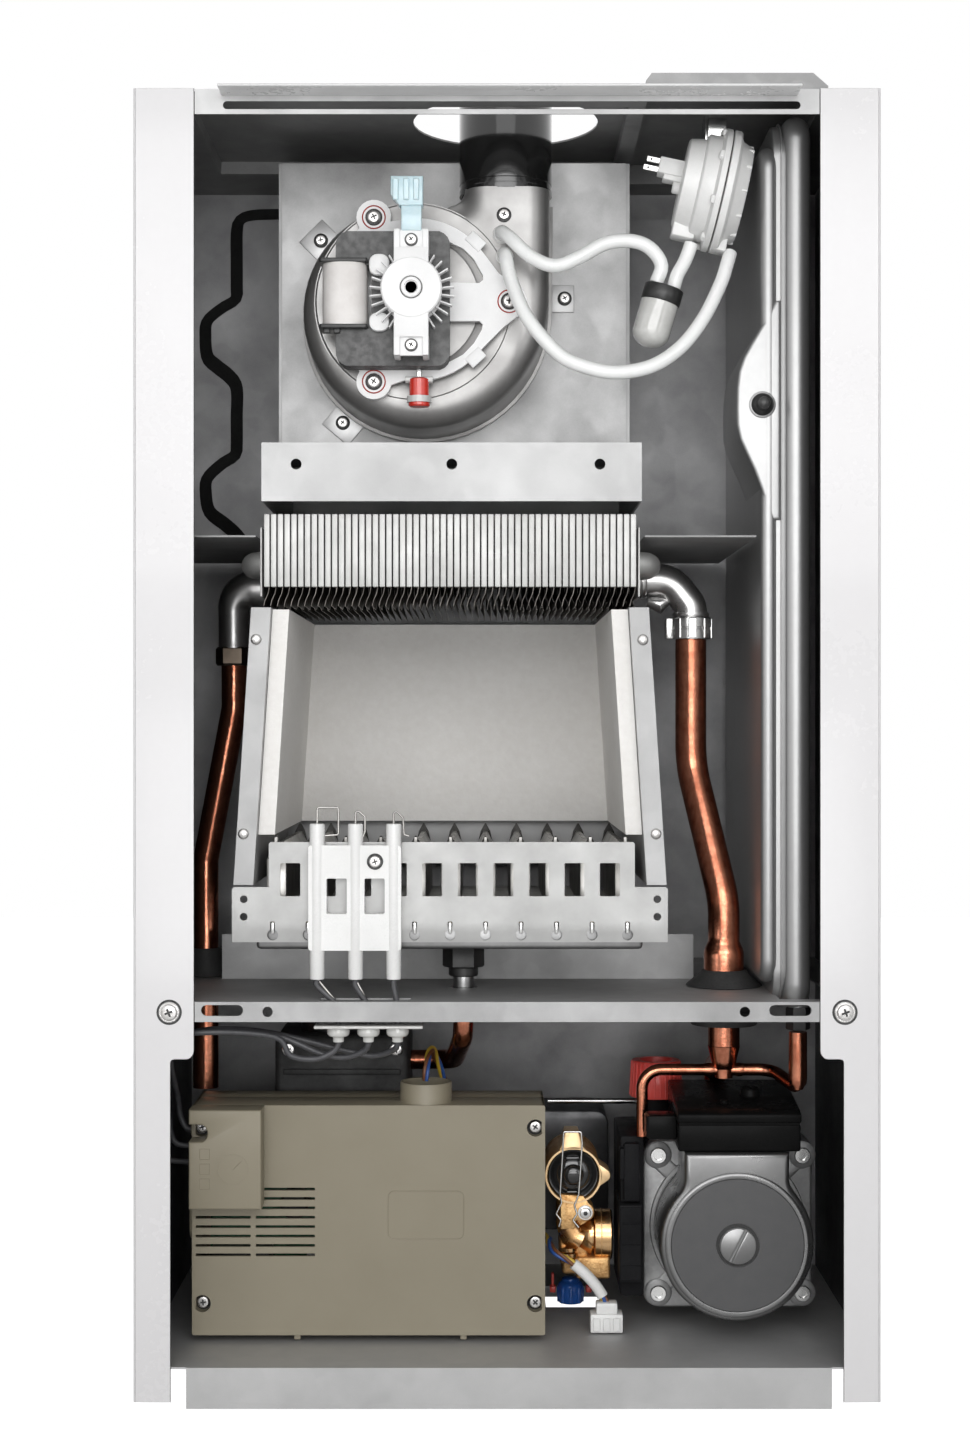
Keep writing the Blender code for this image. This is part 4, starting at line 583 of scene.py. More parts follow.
def screw(bm, x, z, front, radius, height, recess="cross", material=0, recess_shade_material=1, turn=20):
    """A fastener head that faces the viewer: round with a cross recess, or a hexagon socket."""
    top_radius = radius * 0.62
    sides = 24
    before = set(bm.faces)
    rim = []
    for k in range(sides):
        angle = math.tau * k / sides
        rim.append(bm.verts.new((top_radius * math.cos(angle), top_radius * math.sin(angle), height)))
    arm, half = top_radius * 0.8, top_radius * 0.2
    if recess == "cross":
        hole = [(half, -arm), (half, -half), (arm, -half), (arm, half), (half, half), (half, arm),
            (-half, arm), (-half, half), (-arm, half), (-arm, -half), (-half, -half), (-half, -arm)]
    else:
        hole = [(arm * 0.85 * math.cos(math.tau * k / 6), arm * 0.85 * math.sin(math.tau * k / 6))
            for k in range(6)]
    well = [bm.verts.new((u, v, height)) for u, v in hole]
    rim_edges = [bm.edges.new((rim[k], rim[(k + 1) % sides])) for k in range(sides)]
    well_edges = [bm.edges.new((well[k], well[(k + 1) % len(well)])) for k in range(len(well))]
    bmesh.ops.triangle_fill(bm, use_beauty=True, edges=rim_edges + well_edges)
    lowered = grown_parts(bmesh.ops.extrude_edge_only(bm, edges=well_edges), bmesh.types.BMVert)
    bmesh.ops.translate(bm, vec=(0, 0, -height * 0.55), verts=lowered)
    bm.faces.new(in_ring_order(lowered))
    deep = {f for v in lowered for f in v.link_faces}
    loop = rim_edges
    for share, level in ((0.86, 0.93), (0.97, 0.72), (1, 0.45), (1, 0)):
        grown = bmesh.ops.extrude_edge_only(bm, edges=loop)
        for v in grown_parts(grown, bmesh.types.BMVert):
            flat = Vector((v.co.x, v.co.y, 0)).normalized() * radius * share
            v.co = Vector((flat.x, flat.y, height * level))
        loop = grown_parts(grown, bmesh.types.BMEdge)
    bmesh.ops.contextual_create(bm, geom=loop)
    bmesh.ops.recalc_face_normals(bm, faces=[f for f in bm.faces if f not in before])
    spun = facing(x, z, front) @ turned(turn, 'Z')
    # Painted shade: the faces down in the recess take the dark recess material.
    for face in settle(bm, before, spun, material):
        if face in deep:
            face.material_index = recess_shade_material


def in_ring_order(verts):
    """Vertices in the order of the edges that join them."""
    left, order = set(verts[1:]), [verts[0]]
    while left:
        order.append(next(e.other_vert(order[-1]) for e in order[-1].link_edges
            if e.other_vert(order[-1]) in left))
        left.discard(order[-1])
    return order


zinc_screw = moulded("zinc_screw", (0.62, 0.61, 0.6), (0.42, 0.41, 0.4), 0.22, 0.4, 300, 1200, 0.15,
    Metallic=1)
# Dark colour painted as shade in the recesses of screw heads and bolt sockets; it also colours the dark
# washer ring under the side panels' screws.
recess_shade_and_washer = moulded("recess_shade_and_washer", 0.07, 0.03, 0.4, 0.6, 300, 1200, 0.1, Metallic=0.6)
SHEET = 0.001
FLANGE_UPPER = 0.0326
FLANGE_LOWER = 0.02
FLANGE_STEP = -0.169
STEP_RADIUS = 0.0045
SCREW_LEVEL = -0.1438
for name, side in (("side_panel_left", -1), ("side_panel_right", 1)):
    low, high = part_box(name)
    outer = high.x if side > 0 else low.x
    wide, narrow = outer - side * FLANGE_UPPER, outer - side * FLANGE_LOWER
    fold = 0.0011
    outline = [(outer - side * fold, low.z), (outer - side * fold, high.z), (wide, high.z)]
    top_corner = arc((wide + side * STEP_RADIUS, FLANGE_STEP + STEP_RADIUS), STEP_RADIUS, 180, 270, 5)
    foot_corner = arc((narrow - side * 0.002, FLANGE_STEP - 0.002), 0.002, 90, 0, 3)
    if side < 0:
        top_corner = [(2 * (wide + side * STEP_RADIUS) - u, v) for u, v in top_corner]
        foot_corner = [(2 * (narrow - side * 0.002) - u, v) for u, v in foot_corner]
    outline += top_corner + foot_corner + [(narrow, low.z)]
    panel = bmesh.new()
    slab(panel, outline, 'Y', low.y, low.y + SHEET, 0.00025, 1)
    corner = arc((outer - side * fold, low.y + fold), fold, 180 if side < 0 else 0,
        270 if side < 0 else -90, 6)
    fold_outline = corner + [(outer - side * fold, low.y + SHEET), (outer - side * SHEET, low.y + fold)]
    slab(panel, fold_outline, 'Z', low.z, high.z)
    slab(panel, [(outer, low.y + fold), (outer - side * SHEET, low.y + fold),
        (outer - side * SHEET, high.y), (outer, high.y)], 'Z', low.z, high.z)
    # Painted shade: faces that look into the casing, and the back of the front flange, take the near-black.
    for face in panel.faces:
        inward = (face.normal.x * side < -0.5
            or (face.normal.y > 0.5 and face.calc_center_median().y < low.y + 0.01))
        face.material_index = 1 if inward else 0
    new_piece(name + "_sheet", panel, [enamel, painted_shade_black], name)
    heads = bmesh.new()
    head_x = outer - side * 0.0193
    seat = facing(head_x, SCREW_LEVEL, low.y)
    lathe(heads, band(0.0034, 0.0068, -0.0002, 0.0001), seat, 28, 1)
    lathe(heads, mm((3.4, 0), (5.6, 0), (5.6, 0.4), (5.2, 0.7), (3.4, 0.7)), seat, 28)
    screw(heads, head_x, SCREW_LEVEL, low.y - 0.0005, 0.0045, 0.0024)
    new_piece(name + "_screw", heads, [zinc_screw, recess_shade_and_washer])


# Top rail and cover lip. Zinc-coated sheet folded into a rail across the front, with a long
# slot, and over it the thin white lip that the front cover hooks onto.
zinc, wants, gives, place = new_group("zinc_coat", (0.6, 0.6, 0.6), (0.4, 0.4, 0.4), Spangle_Scale=110,
    Cloud_Scale=14, Smoothest=0.35, Roughest=0.55)
warp = zinc.nodes.new('ShaderNodeTexNoise')
warp.inputs['Scale'].default_value = 60
bent = zinc.nodes.new('ShaderNodeVectorMath')
bent.operation = 'MULTIPLY_ADD'
bent.inputs[1].default_value = (0.012, 0.012, 0.012)
flakes = zinc.nodes.new('ShaderNodeTexVoronoi')
flakes.feature = 'SMOOTH_F1'
flakes.inputs['Smoothness'].default_value = 0.35
flake_value = zinc.nodes.new('ShaderNodeSeparateColor')
for start, end in ((place, warp.inputs['Vector']), (warp.outputs['Color'], bent.inputs[0]),
        (place, bent.inputs[2]), (bent.outputs[0], flakes.inputs['Vector']),
        (wants["Spangle Scale"], flakes.inputs['Scale']), (flakes.outputs['Color'], flake_value.inputs[0])):
    zinc.links.new(start, end)
clouds = noise(zinc, place, wants["Cloud Scale"], 6, 0.6)
specks = noise(zinc, place, 1400, 2)
share = combine(zinc, 'ADD', weigh(zinc, flake_value.outputs[0], 0.1, clouds, 0.9),
    combine(zinc, 'MULTIPLY', specks, 0.1))
close_group(zinc, wants, gives, spread(zinc, share, 0.3, 0.78), weigh(zinc, clouds, 0.7, specks, 0.3),
    flip=True)


def zinc_coated(name, colour, shade, smoothest=0.35, roughest=0.55, spangle=110, clouds=14, bump=0.12,
        metallic=0.85, **plain):
    return finish_from(zinc, name, {"Colour": colour, "Shade": shade, "Spangle Scale": spangle,
        "Cloud Scale": clouds, "Smoothest": smoothest, "Roughest": roughest}, bump=bump, depth=0.0006,
        Metallic=metallic, **plain)


rail_zinc = zinc_coated("rail_zinc", 0.5, 0.4, 0.5, 0.66, 90, 22)
lip_white = moulded("lip_white", 0.78, 0.73, 0.25, 0.35, 12, 300, 0.03)
RAIL_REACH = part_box("top_rail")[1].x
RAIL_LEVELS = (0.3366, 0.35)
SLOT = ((-0.152, 0.157), (0.3392, 0.3435))
rail = bmesh.new()


def pierced(bm, outline, holes, y, thickness, bevel=0.0002):
    """A flat sheet facing the viewer with holes through it; outlines are (X, Z)."""
    before = set(bm.faces)
    loops = []
    for points in [outline] + holes:
        verts = [bm.verts.new((u, y, v)) for u, v in points]
        loops += [bm.edges.new((verts[k], verts[(k + 1) % len(verts)])) for k in range(len(verts))]
    bmesh.ops.triangle_fill(bm, use_beauty=True, edges=loops, normal=(0, -1, 0))
    flat = [f for f in bm.faces if f not in before]
    bmesh.ops.recalc_face_normals(bm, faces=flat)
    grown = bmesh.ops.extrude_face_region(bm, geom=flat)
    bmesh.ops.translate(bm, vec=(0, thickness, 0), verts=grown_parts(grown, bmesh.types.BMVert))
    faces = [f for f in bm.faces if f not in before]
    bmesh.ops.recalc_face_normals(bm, faces=faces)
    if bevel:
        edges = [e for e in {e for f in faces for e in f.edges} if abs(e.verts[0].co.y - y) < 1e-9
            and abs(e.verts[1].co.y - y) < 1e-9 and len(e.link_faces) == 2 and e.calc_face_angle(0) > 1]
        bmesh.ops.bevel(bm, geom=edges, offset=bevel, segments=1, profile=0.5, affect='EDGES', material=-1)


pierced(rail, [(-RAIL_REACH, RAIL_LEVELS[0]), (RAIL_REACH, RAIL_LEVELS[0]), (RAIL_REACH, RAIL_LEVELS[1]),
    (-RAIL_REACH, RAIL_LEVELS[1])], [rounded(SLOT[0], SLOT[1], 0.0021)[::-1]], FRONT, SHEET)
new_piece("top_rail_sheet", rail, [rail_zinc], "top_rail")
lip = bmesh.new()
LIP_REACH = 0.018
LIP_FRONT = FRONT - LIP_REACH
block(lip, (-0.153, 0.1555), (LIP_FRONT, FRONT + 0.0004), (0.3465, 0.3479), 0.0006, 3)
new_piece("cover_lip_edge", lip, [lip_white])


# Top plate. One zinc-coated sheet pressed up round the flue hole and, over the expansion
# vessel, into a higher hump with sloped sides.
top_zinc = zinc_coated("top_zinc", 0.36, 0.24, 0.56, 0.73, 90, 11)


def dress(node, look):
    """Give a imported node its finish, without touching its mesh."""
    for place in nodes[node].material_slots:
        place.material = look


dress("top_plate", top_zinc)


# Back panel. Zinc-coated sheet with a shallow pressing behind the fan whose left edge waves
# round the fixing points of the casing; the pressing's sloped edge is coloured near-black as painted shade.
back_zinc = zinc_coated("back_zinc", (0.52, 0.52, 0.525), (0.3, 0.3, 0.305), 0.56, 0.73, 70, 14, 0.2, 0.7)
# Painted shade: near-black colour that stands in for the shade along the sloped edge of the pressing.
pressing_painted_shade = moulded("painted_pressing_shade", 0.02, 0.012, 0.55, 0.75, 40, 500, 0.08)
back = bmesh.new()
block(back, (-0.1994, 0.1994), (-0.0011, -0.0001), (-0.355, 0.3485), 0)
PRESSED_Y, SHEET_Y = -0.0085, -0.0013
GROOVE = 0.0086
groove_line = mm((-141.3, 335.3), (-158.3, 334.8), (-166.8, 332.3), (-169.7, 325.5), (-169.9, 303.3),
    (-169.9, 289.7), (-170.6, 281.2), (-179.6, 275.3), (-188.6, 267.3), (-189.8, 257.4), (-188.6, 244.6),
    (-183, 238.7), (-174.5, 231.9), (-169.9, 224.2), (-169.9, 206), (-169.9, 188.5), (-171.1, 181.7),
    (-179.6, 176.1), (-188.6, 167.2), (-189.6, 157.9), (-187.2, 146), (-177.9, 138.3), (-170.2, 131.5),
    (-164, 123))
centres = smooth_route([(x, 0, z) for x, z in groove_line], 0.003)
across = []
for i, point in enumerate(centres):
    heading = (centres[min(len(centres) - 1, i + 1)] - centres[max(0, i - 1)]).normalized()
    half = Vector((-heading.z, 0, heading.x)) * GROOVE / 2
    across.append((((point - half).x, (point - half).z), ((point + half).x, (point + half).z)))
inner_edge = [inner for outer, inner in across]
raised_outline = inner_edge + [(0.1448, 0.122), (0.1448, 0.331)]
slab(back, raised_outline, 'Y', PRESSED_Y, -0.0008, 0)
rim = [back.verts.new((x, PRESSED_Y, z)) for x, z in inner_edge]
rim_edges = [back.edges.new(pair) for pair in zip(rim, rim[1:])]
lowered = set(grown_parts(bmesh.ops.extrude_edge_only(back, edges=rim_edges), bmesh.types.BMVert))
for corner, (outer, inner) in zip(rim, across):
    pair = next(e.other_vert(corner) for e in corner.link_edges if e.other_vert(corner) in lowered)
    pair.co = Vector((outer[0], SHEET_Y, outer[1]))
# The sloped edge takes the painted shade.
for face in {f for v in lowered for f in v.link_faces}:
    face.material_index = 1
new_piece("back_sheet", back, [back_zinc, pressing_painted_shade], "back_panel", angle=25)


# Bottom tray, partition and mid shelf. Folded zinc-coated sheets; the partition carries the
# burner and closes the chamber, its front rail slotted for the cover's fixings.
tray_zinc = zinc_coated("tray_zinc", 0.52, 0.4, 0.54, 0.7, 60, 12, 0.2)
# Zinc-coated partition, its colour set darker than the tray's as painted shade for its shadowed top.
shelf_zinc_darkened_as_shade = zinc_coated("shelf_zinc_darkened_as_shade", 0.38, 0.3, 0.52, 0.68, 90, 20, metallic=0.95)
dress("bottom_tray", tray_zinc)
dress("partition_shelf", shelf_zinc_darkened_as_shade)
dress("mid_shelf", zinc_coated("mid_zinc", 0.34, 0.24, 0.58, 0.73, 70, 12))


# Flue hood and fan plate. The hood's bright front carries three fixing holes; the mottled
# plate above it holds the fan by its lugs.
dress("flue_hood", zinc_coated("hood_zinc", 0.44, 0.39, 0.52, 0.66, 80, 16))
dress("fan_plate", zinc_coated("plate_zinc", 0.62, 0.36, 0.54, 0.73, 60, 13, 0.25))


# Fan scroll. Stamped steel with a rolled rim that clamps it to the plate, a rounded
# shoulder, and a neck that narrows into the round outlet collar.
pressed, wants, gives, place = new_group("pressed_metal", (0.6, 0.6, 0.6), (0.45, 0.45, 0.45),
    Line_Scale=30, Stretch=12, Smoothest=0.25, Roughest=0.45)
axis = pressed.nodes.new('ShaderNodeCombineXYZ')
axis.inputs[2].default_value = 1
pressed.links.new(wants["Stretch"], axis.inputs[0])
pressed.links.new(wants["Stretch"], axis.inputs[1])


def stretched(tree, place, factors):
    """Coordinates times a factor on each axis, so that a pattern runs into lines."""
    made = tree.nodes.new('ShaderNodeVectorMath')
    made.operation = 'MULTIPLY'
    tree.links.new(place, made.inputs[0])
    feed(tree, made.inputs[1], factors)
    return made.outputs[0]


lines = noise(pressed, stretched(pressed, place, axis.outputs[0]), wants["Line Scale"], 5, 0.6)
clouds = noise(pressed, place, 35, 5, 0.6)
close_group(pressed, wants, gives, spread(pressed, weigh(pressed, lines, 0.45, clouds, 0.55), 0.36, 0.66),
    lines)


def drawn(name, colour, shade, smoothest=0.25, roughest=0.45, lines=30, stretch=12, bump=0.05, metallic=1,
        **plain):
    return finish_from(pressed, name, {"Colour": colour, "Shade": shade, "Line Scale": lines,
        "Stretch": stretch, "Smoothest": smoothest, "Roughest": roughest}, bump=bump, Metallic=metallic,
        **plain)


scroll_steel = drawn("scroll_steel", (0.36, 0.355, 0.35), (0.27, 0.265, 0.26), 0.36, 0.46, 40, 1, 0.03,
    0.75)
FAN_X, FAN_Z = -0.052, 0.248
SCROLL = depths(0.062, 0.1164)
SHOULDER = 0.013


def scroll_outline(grow):
    """Scroll that widens from its left side to its right side and runs into the neck."""
    start, steps, points = 67.5, 44, []
    for i in range(steps + 1):
        angle = math.radians(start + (360 - start) * i / steps)
        radius = 0.0575 + 0.022 * i / steps + grow
        points.append((FAN_X + radius * math.cos(angle), FAN_Z + radius * math.sin(angle)))
    left, right, top = -0.026 - grow, 0.028 + grow, 0.3132
    foot = points[0][1]
    neck = [(right, top), (left, top)]
    fillet = arc((left - 0.01, foot + 0.016), 0.01, 0, -80, 5)
    return neck + fillet + points[1:]


scroll = bmesh.new()
levels = [(0.002, SCROLL[1] - 0.001), (0.0022, SCROLL[1] - 0.006), (0.003, SCROLL[0] + SHOULDER)]
for i in range(1, 10):
    turn = math.radians(10 * i)
    levels.append((0.003 + SHOULDER * (1 - math.cos(turn)), SCROLL[0] + SHOULDER * (1 - math.sin(turn))))
ring = [scroll.verts.new((x, levels[0][1], z)) for x, z in scroll_outline(-levels[0][0])]
loop = [scroll.edges.new((ring[i], ring[(i + 1) % len(ring)])) for i in range(len(ring))]
for inset, depth in levels[1:]:
    grown = bmesh.ops.extrude_edge_only(scroll, edges=loop)
    fresh = set(grown_parts(grown, bmesh.types.BMVert))
    ring = [next(e.other_vert(v) for e in v.link_edges if e.other_vert(v) in fresh) for v in ring]
    for vertex, (x, z) in zip(ring, scroll_outline(-inset)):
        vertex.co = Vector((x, depth, z))
    loop = [e for e in grown_parts(grown, bmesh.types.BMEdge) if all(v in fresh for v in e.verts)]
bmesh.ops.contextual_create(scroll, geom=loop)
bmesh.ops.recalc_face_normals(scroll, faces=scroll.faces[:])
slab(scroll, scroll_outline(-0.0002), 'Y', SCROLL[1] - 0.0046, SCROLL[1] - 0.0008, 0.0008, 2)
lathe(scroll, mm((36, 0), (56, 0), (56, -0.6), (54.5, 1.2), (38, 1.2), (36, 0))[::-1],
    facing(FAN_X, FAN_Z, SCROLL[0] + 0.0005), 64)
new_piece("fan_scroll", scroll, [scroll_steel], "fan_volute", angle=40)
tabs = bmesh.new()
PLATE_FRONT = behind(0.1167)
TAB_FRONT = PLATE_FRONT - 0.0013
for x, z, turn, half in ((-0.1075, 0.2935, 45, 0.0095), (-0.0935, 0.188, 40, 0.01),
        (0.0325, 0.2602, 0, 0.008)):
    at = placed(x, 0, z) @ turned(turn, 'Y')
    block(tabs, (-half, half), (TAB_FRONT, PLATE_FRONT - 0.0001), (-half, half), 0.0004, 2, at)
new_piece("scroll_tabs", tabs, [zinc_coated("tab_zinc", 0.56, 0.42)])
fan_screws = bmesh.new()
# Near-black for the washers under screws and in the grommets; it also stands as painted shade in the blade
# terminals' holes and in the groove round the motor bearing.
washers_and_hole_shade = moulded("black_washers_and_hole_shade", 0.03, 0.018, 0.35, 0.5, 100, 900)
for x, z, y, turn in ((-0.1081, 0.2942, TAB_FRONT, 15), (-0.0952, 0.1873, TAB_FRONT, 50),
        (0.0349, 0.2602, TAB_FRONT, 30), (-0.0011, 0.297, SCROLL[0] + 0.0002, 70)):
    lathe(fan_screws, mm((2, 0), (4.2, 0), (4.2, 0.7), (3.7, 1), (2, 1)), facing(x, z, y), 24, 2)
    screw(fan_screws, x, z, y - 0.0008, 0.003, 0.0018, turn=turn)
new_piece("scroll_screws", fan_screws, [zinc_screw, recess_shade_and_washer, washers_and_hole_shade])
ports = bmesh.new()
for x, z in ((-0.0022, 0.286), (-0.001, 0.2735)):
    lathe(ports, mm((0, 0), (5.4, 0), (5.4, 1), (4.6, 2), (0, 2)), facing(x, z, SCROLL[0] + 0.0012), 24)
new_piece("scroll_ports", ports, [white_nylon])


# Fan wheel and shaft. The zinc-coated wheel inside the scroll and the bright shaft keep
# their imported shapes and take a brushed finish.
dress("fan_impeller", zinc_coated("wheel_zinc", 0.55, 0.42))
bright_steel = drawn("bright_steel", (0.74, 0.74, 0.73), (0.58, 0.58, 0.57), 0.14, 0.28, 60, 6, 0.03)
dress("fan_shaft", bright_steel)


# Motor spider. White glass-filled moulding behind the motor: a plate with two windows and
# three lugs, each screwed to the scroll through a red rubber grommet.
spider_white = moulded("spider_white", 0.9, 0.85, 0.3, 0.45, 50, 1400, 0.08)
LUGS = ((-0.074, 0.294), (-0.074, 0.202), (0.0018, 0.247))
LUG_RADIUS = 0.0098
RING_AT, RING_RADIUS = (-0.05, 0.248), 0.0455
spider = bmesh.new()
outline = arc(LUGS[2], LUG_RADIUS, -70, 62, 8)
outline += [(-0.004, 0.2625), (-0.01, 0.2705)] + arc(RING_AT, RING_RADIUS, 40, 96, 8)
outline += [(-0.065, 0.2915)] + arc(LUGS[0], LUG_RADIUS, 10, 215, 12)
outline += mm((-87.5, 278), (-89, 248), (-87.5, 218)) + arc(LUGS[1], LUG_RADIUS, 145, 350, 12)
outline += arc(RING_AT, RING_RADIUS, 262, 318, 8) + [(-0.01, 0.224), (-0.0015, 0.2325)]
upper_window = mm((-31.8, 280.2), (-31.8, 257.5), (-15, 257.2), (-12.8, 259), (-13, 261.5), (-18, 270.5),
    (-24, 276.5))
lower_window = mm((-31.8, 213), (-24, 217.2), (-18, 223.5), (-13.5, 231.2), (-13, 234), (-15, 236),
    (-31.8, 236))
SHAFT_BORE = 0.0125
bore = [(FAN_X + SHAFT_BORE * math.cos(math.tau * k / 24), FAN_Z + SHAFT_BORE * math.sin(math.tau * k / 24))
    for k in range(24)]
pierced(spider, outline, [upper_window, lower_window, bore], behind(0.0546), 0.0038, 0.0006)
for x, z in LUGS:
    lathe(spider, [(0.0068, 0), (LUG_RADIUS, 0), (LUG_RADIUS, 0.0056), (0.009, 0.0064), (0.0074, 0.0064),
        (0.0068, 0.0058)], facing(x, z, behind(0.0611)), 32)
for first, second in (((-0.021, 0.2842), (-0.013, 0.2768)), ((-0.021, 0.2118), (-0.013, 0.2192))):
    middle = ((first[0] + second[0]) / 2, (first[1] + second[1]) / 2)
    tilt = math.atan2(second[1] - first[1], second[0] - first[0])
    at = placed(middle[0], 0, middle[1]) @ Matrix.Rotation(-tilt, 4, 'Y')
    block(spider, (-0.0052, 0.0052), depths(0.0538, 0.055), (-0.0034, 0.0034), 0.0005, 2, at)
new_piece("motor_spider", spider, [spider_white], "fan_spider", angle=40)
red_rubber = moulded("red_rubber", (0.5, 0.05, 0.035), (0.38, 0.03, 0.02), 0.4, 0.55, 80, 700, 0.08)
grommets = bmesh.new()
for i, (x, z) in enumerate(LUGS):
    seat = facing(x, z, behind(0.0605))
    lathe(grommets, mm((6, 0), (6.7, 0), (6.7, 6.2), (6.4, 6.6), (6, 6.2)), seat, 28)
    lathe(grommets, band(0.0049, 0.006, 0, 0.006), seat, 28, 4)
    lathe(grommets, mm((0, 0), (4.9, 0), (4.9, 5.8), (4.2, 6.4), (0, 6.4)), seat, 28, 3)
    screw(grommets, x, z, behind(0.0541), 0.0036, 0.0016, material=1, recess_shade_material=2, turn=25 + 30 * i)
new_piece("spider_grommets", grommets, [red_rubber, zinc_screw, recess_shade_and_washer, washers_and_hole_shade, spider_white])


# Motor stator. A stack of thin varnished laminations with clipped corners; its edges show
# the sheets as fine lines.
stack, wants, gives, place = new_group("sheet_stack", (0.1, 0.1, 0.1), (0.05, 0.05, 0.05),
    Sheets_per_Metre=1600)
along = stack.nodes.new('ShaderNodeSeparateXYZ')
stack.links.new(place, along.inputs[0])
lap = combine(stack, 'FRACT', combine(stack, 'MULTIPLY', along.outputs[1], wants["Sheets per Metre"]))
groove = spread(stack, combine(stack, 'ABSOLUTE', combine(stack, 'SUBTRACT', lap, 0.5)), 0.3, 0.5)
mottle = noise(stack, place, 260, 4, 0.6)
close_group(stack, wants, gives, spread(stack, mottle, 0.35, 0.65),
    combine(stack, 'SUBTRACT', combine(stack, 'MULTIPLY', mottle, 0.3), groove),
    roughness=spread(stack, mottle, 0.3, 0.7, 0.42, 0.62))
laminations = finish_from(stack, "laminations", {"Colour": 0.1, "Shade": 0.072, "Sheets per Metre": 1600},
    bump=0.5, Metallic=0.3)
STATOR = depths(0.0386, 0.0541)
stator = bmesh.new()
corner = 0.008
body = (-0.0944, -0.0311)
level = (0.2081, 0.2829)
outline = []
for centre, first in (((body[1] - corner, level[0] + corner), -90),
        ((body[1] - corner, level[1] - corner), 0), ((body[0] + corner, level[1] - corner), 90),
        ((body[0] + corner, level[0] + corner), 180)):
    outline += arc(centre, corner, first + 14, first + 76, 3)
window = mm((-83.5, 229), (-74.5, 229), (-74.5, 264), (-83.5, 264))
side_notch = [(body[0], 0.264), (-0.0925, 0.264), (-0.0925, 0.229), (body[0], 0.229)]
split = next(i for i, p in enumerate(outline) if p[0] < body[0] + corner and p[1] < FAN_Z)
outline = outline[:split] + side_notch + outline[split:]
pierced(stator, outline, [bore, window], STATOR[0], STATOR[1] - STATOR[0], 0.0003)
new_piece("motor_stator", stator, [laminations], "fan_stator", angle=30)


# Motor coil. Copper winding under white tape on a black bobbin, pushed on the stator's left
# limb, with two white pads that wedge it.
coil_white = moulded("coil_tape", (0.8, 0.775, 0.755), (0.73, 0.7, 0.68), 0.45, 0.6, 90, 420, 0.2)
# Black for the bobbin and other black parts; on the gas valve it also stands as painted shade in the screw
# recesses.
black_parts_and_recess_shade = moulded("black_parts_and_recess_shade", 0.022, 0.012, 0.3, 0.45, 60, 1200)
COIL_X = (-0.103, -0.0764)
COIL_Y = depths(0.0331, 0.054)
COIL_Z = (0.2284, 0.267)
coil = bmesh.new()
slab(coil, rounded((COIL_X[0] + 0.0012, COIL_X[1] - 0.0004), (COIL_Y[0] + 0.0004, COIL_Y[1] - 0.0014),
    0.0098, 8), 'Z', COIL_Z[0] + 0.002, COIL_Z[1] - 0.002, 0.001, 3)
for level in ((0.2576, 0.2694), (0.2268, 0.2372)):
    slab(coil, rounded((-0.0757, -0.0645), level, 0.0046, 5), 'Y', behind(0.0345), behind(0.0384),
        0.001, 2, material=2)
for low, high in ((COIL_Z[0], COIL_Z[0] + 0.0022), (COIL_Z[1] - 0.0022, COIL_Z[1])):
    slab(coil, rounded(COIL_X, (COIL_Y[0] + 0.0001, COIL_Y[1] - 0.0006), 0.0015, 3), 'Z', low, high, 0.0004,
        2, material=1)
for x in (-0.099, -0.0935):
    block(coil, (x - 0.0018, x + 0.0018), (COIL_Y[0] + 0.0035, COIL_Y[0] + 0.0065),
        (COIL_Z[0] - 0.0024, COIL_Z[0] + 0.001), 0.0004, 1, material=1)
new_piece("motor_coil", coil, [coil_white, black_parts_and_recess_shade, spider_white], "fan_coil")


# Bearing bridge. White moulded bar across the motor with the front bearing in its round
# middle, fixed by two screws on stepped feet; ribs stiffen the edges of both feet.
bridge = bmesh.new()
BRIDGE_X = (-0.0615, -0.0425)
BRIDGE_Y = depths(0.0196, 0.0224)
block(bridge, BRIDGE_X, BRIDGE_Y, (0.221, 0.27), 0.0006, 2)
for low, high in ((0.2111, 0.2225), (0.2685, 0.2799)):
    block(bridge, BRIDGE_X, (BRIDGE_Y[0] + 0.0022, BRIDGE_Y[1] + 0.0016), (low, high), 0.0005, 2)
    for x in (BRIDGE_X[0], BRIDGE_X[1] - 0.0034):
        block(bridge, (x, x + 0.0034), (BRIDGE_Y[0] + 0.0002, behind(0.0381)), (low, high), 0.0005, 2)
bearing_at = facing(FAN_X, FAN_Z, BRIDGE_Y[1])
lathe(bridge, mm((3.6, 0), (16.8, 0), (16.8, 2.4), (16, 3.3), (6.6, 3.3), (6.2, 2.9), (6.2, 0.8),
    (5.6, 0.8), (5.6, 3.6), (5.2, 4.1), (3.8, 4.1), (3.6, 3.8)), bearing_at, 48)
# Painted shade: a near-black ring lies in the groove round the bearing.
lathe(bridge, band(0.0054, 0.0063, 0, 0.0029), bearing_at, 48, 1)
lathe(bridge, mm((0, 0), (3.5, 0), (3.5, 2.6), (3.2, 2.8), (0, 2.8)), bearing_at, 32, 2)
new_piece("bearing_bridge", bridge, [spider_white, washers_and_hole_shade, bright_steel],
    "fan_bridge", angle=40)
bridge_screws = bmesh.new()
for z, turn in ((0.2742, 35), (0.2168, 60)):
    lathe(bridge_screws, band(0.002, 0.0036, 0, 0.0006), facing(FAN_X, z, BRIDGE_Y[0] + 0.0022), 24, 2)
    screw(bridge_screws, FAN_X, z, BRIDGE_Y[0] + 0.0016, 0.0029, 0.0016, turn=turn)
new_piece("bridge_screws", bridge_screws, [zinc_screw, recess_shade_and_washer, washers_and_hole_shade])
connector = bmesh.new()
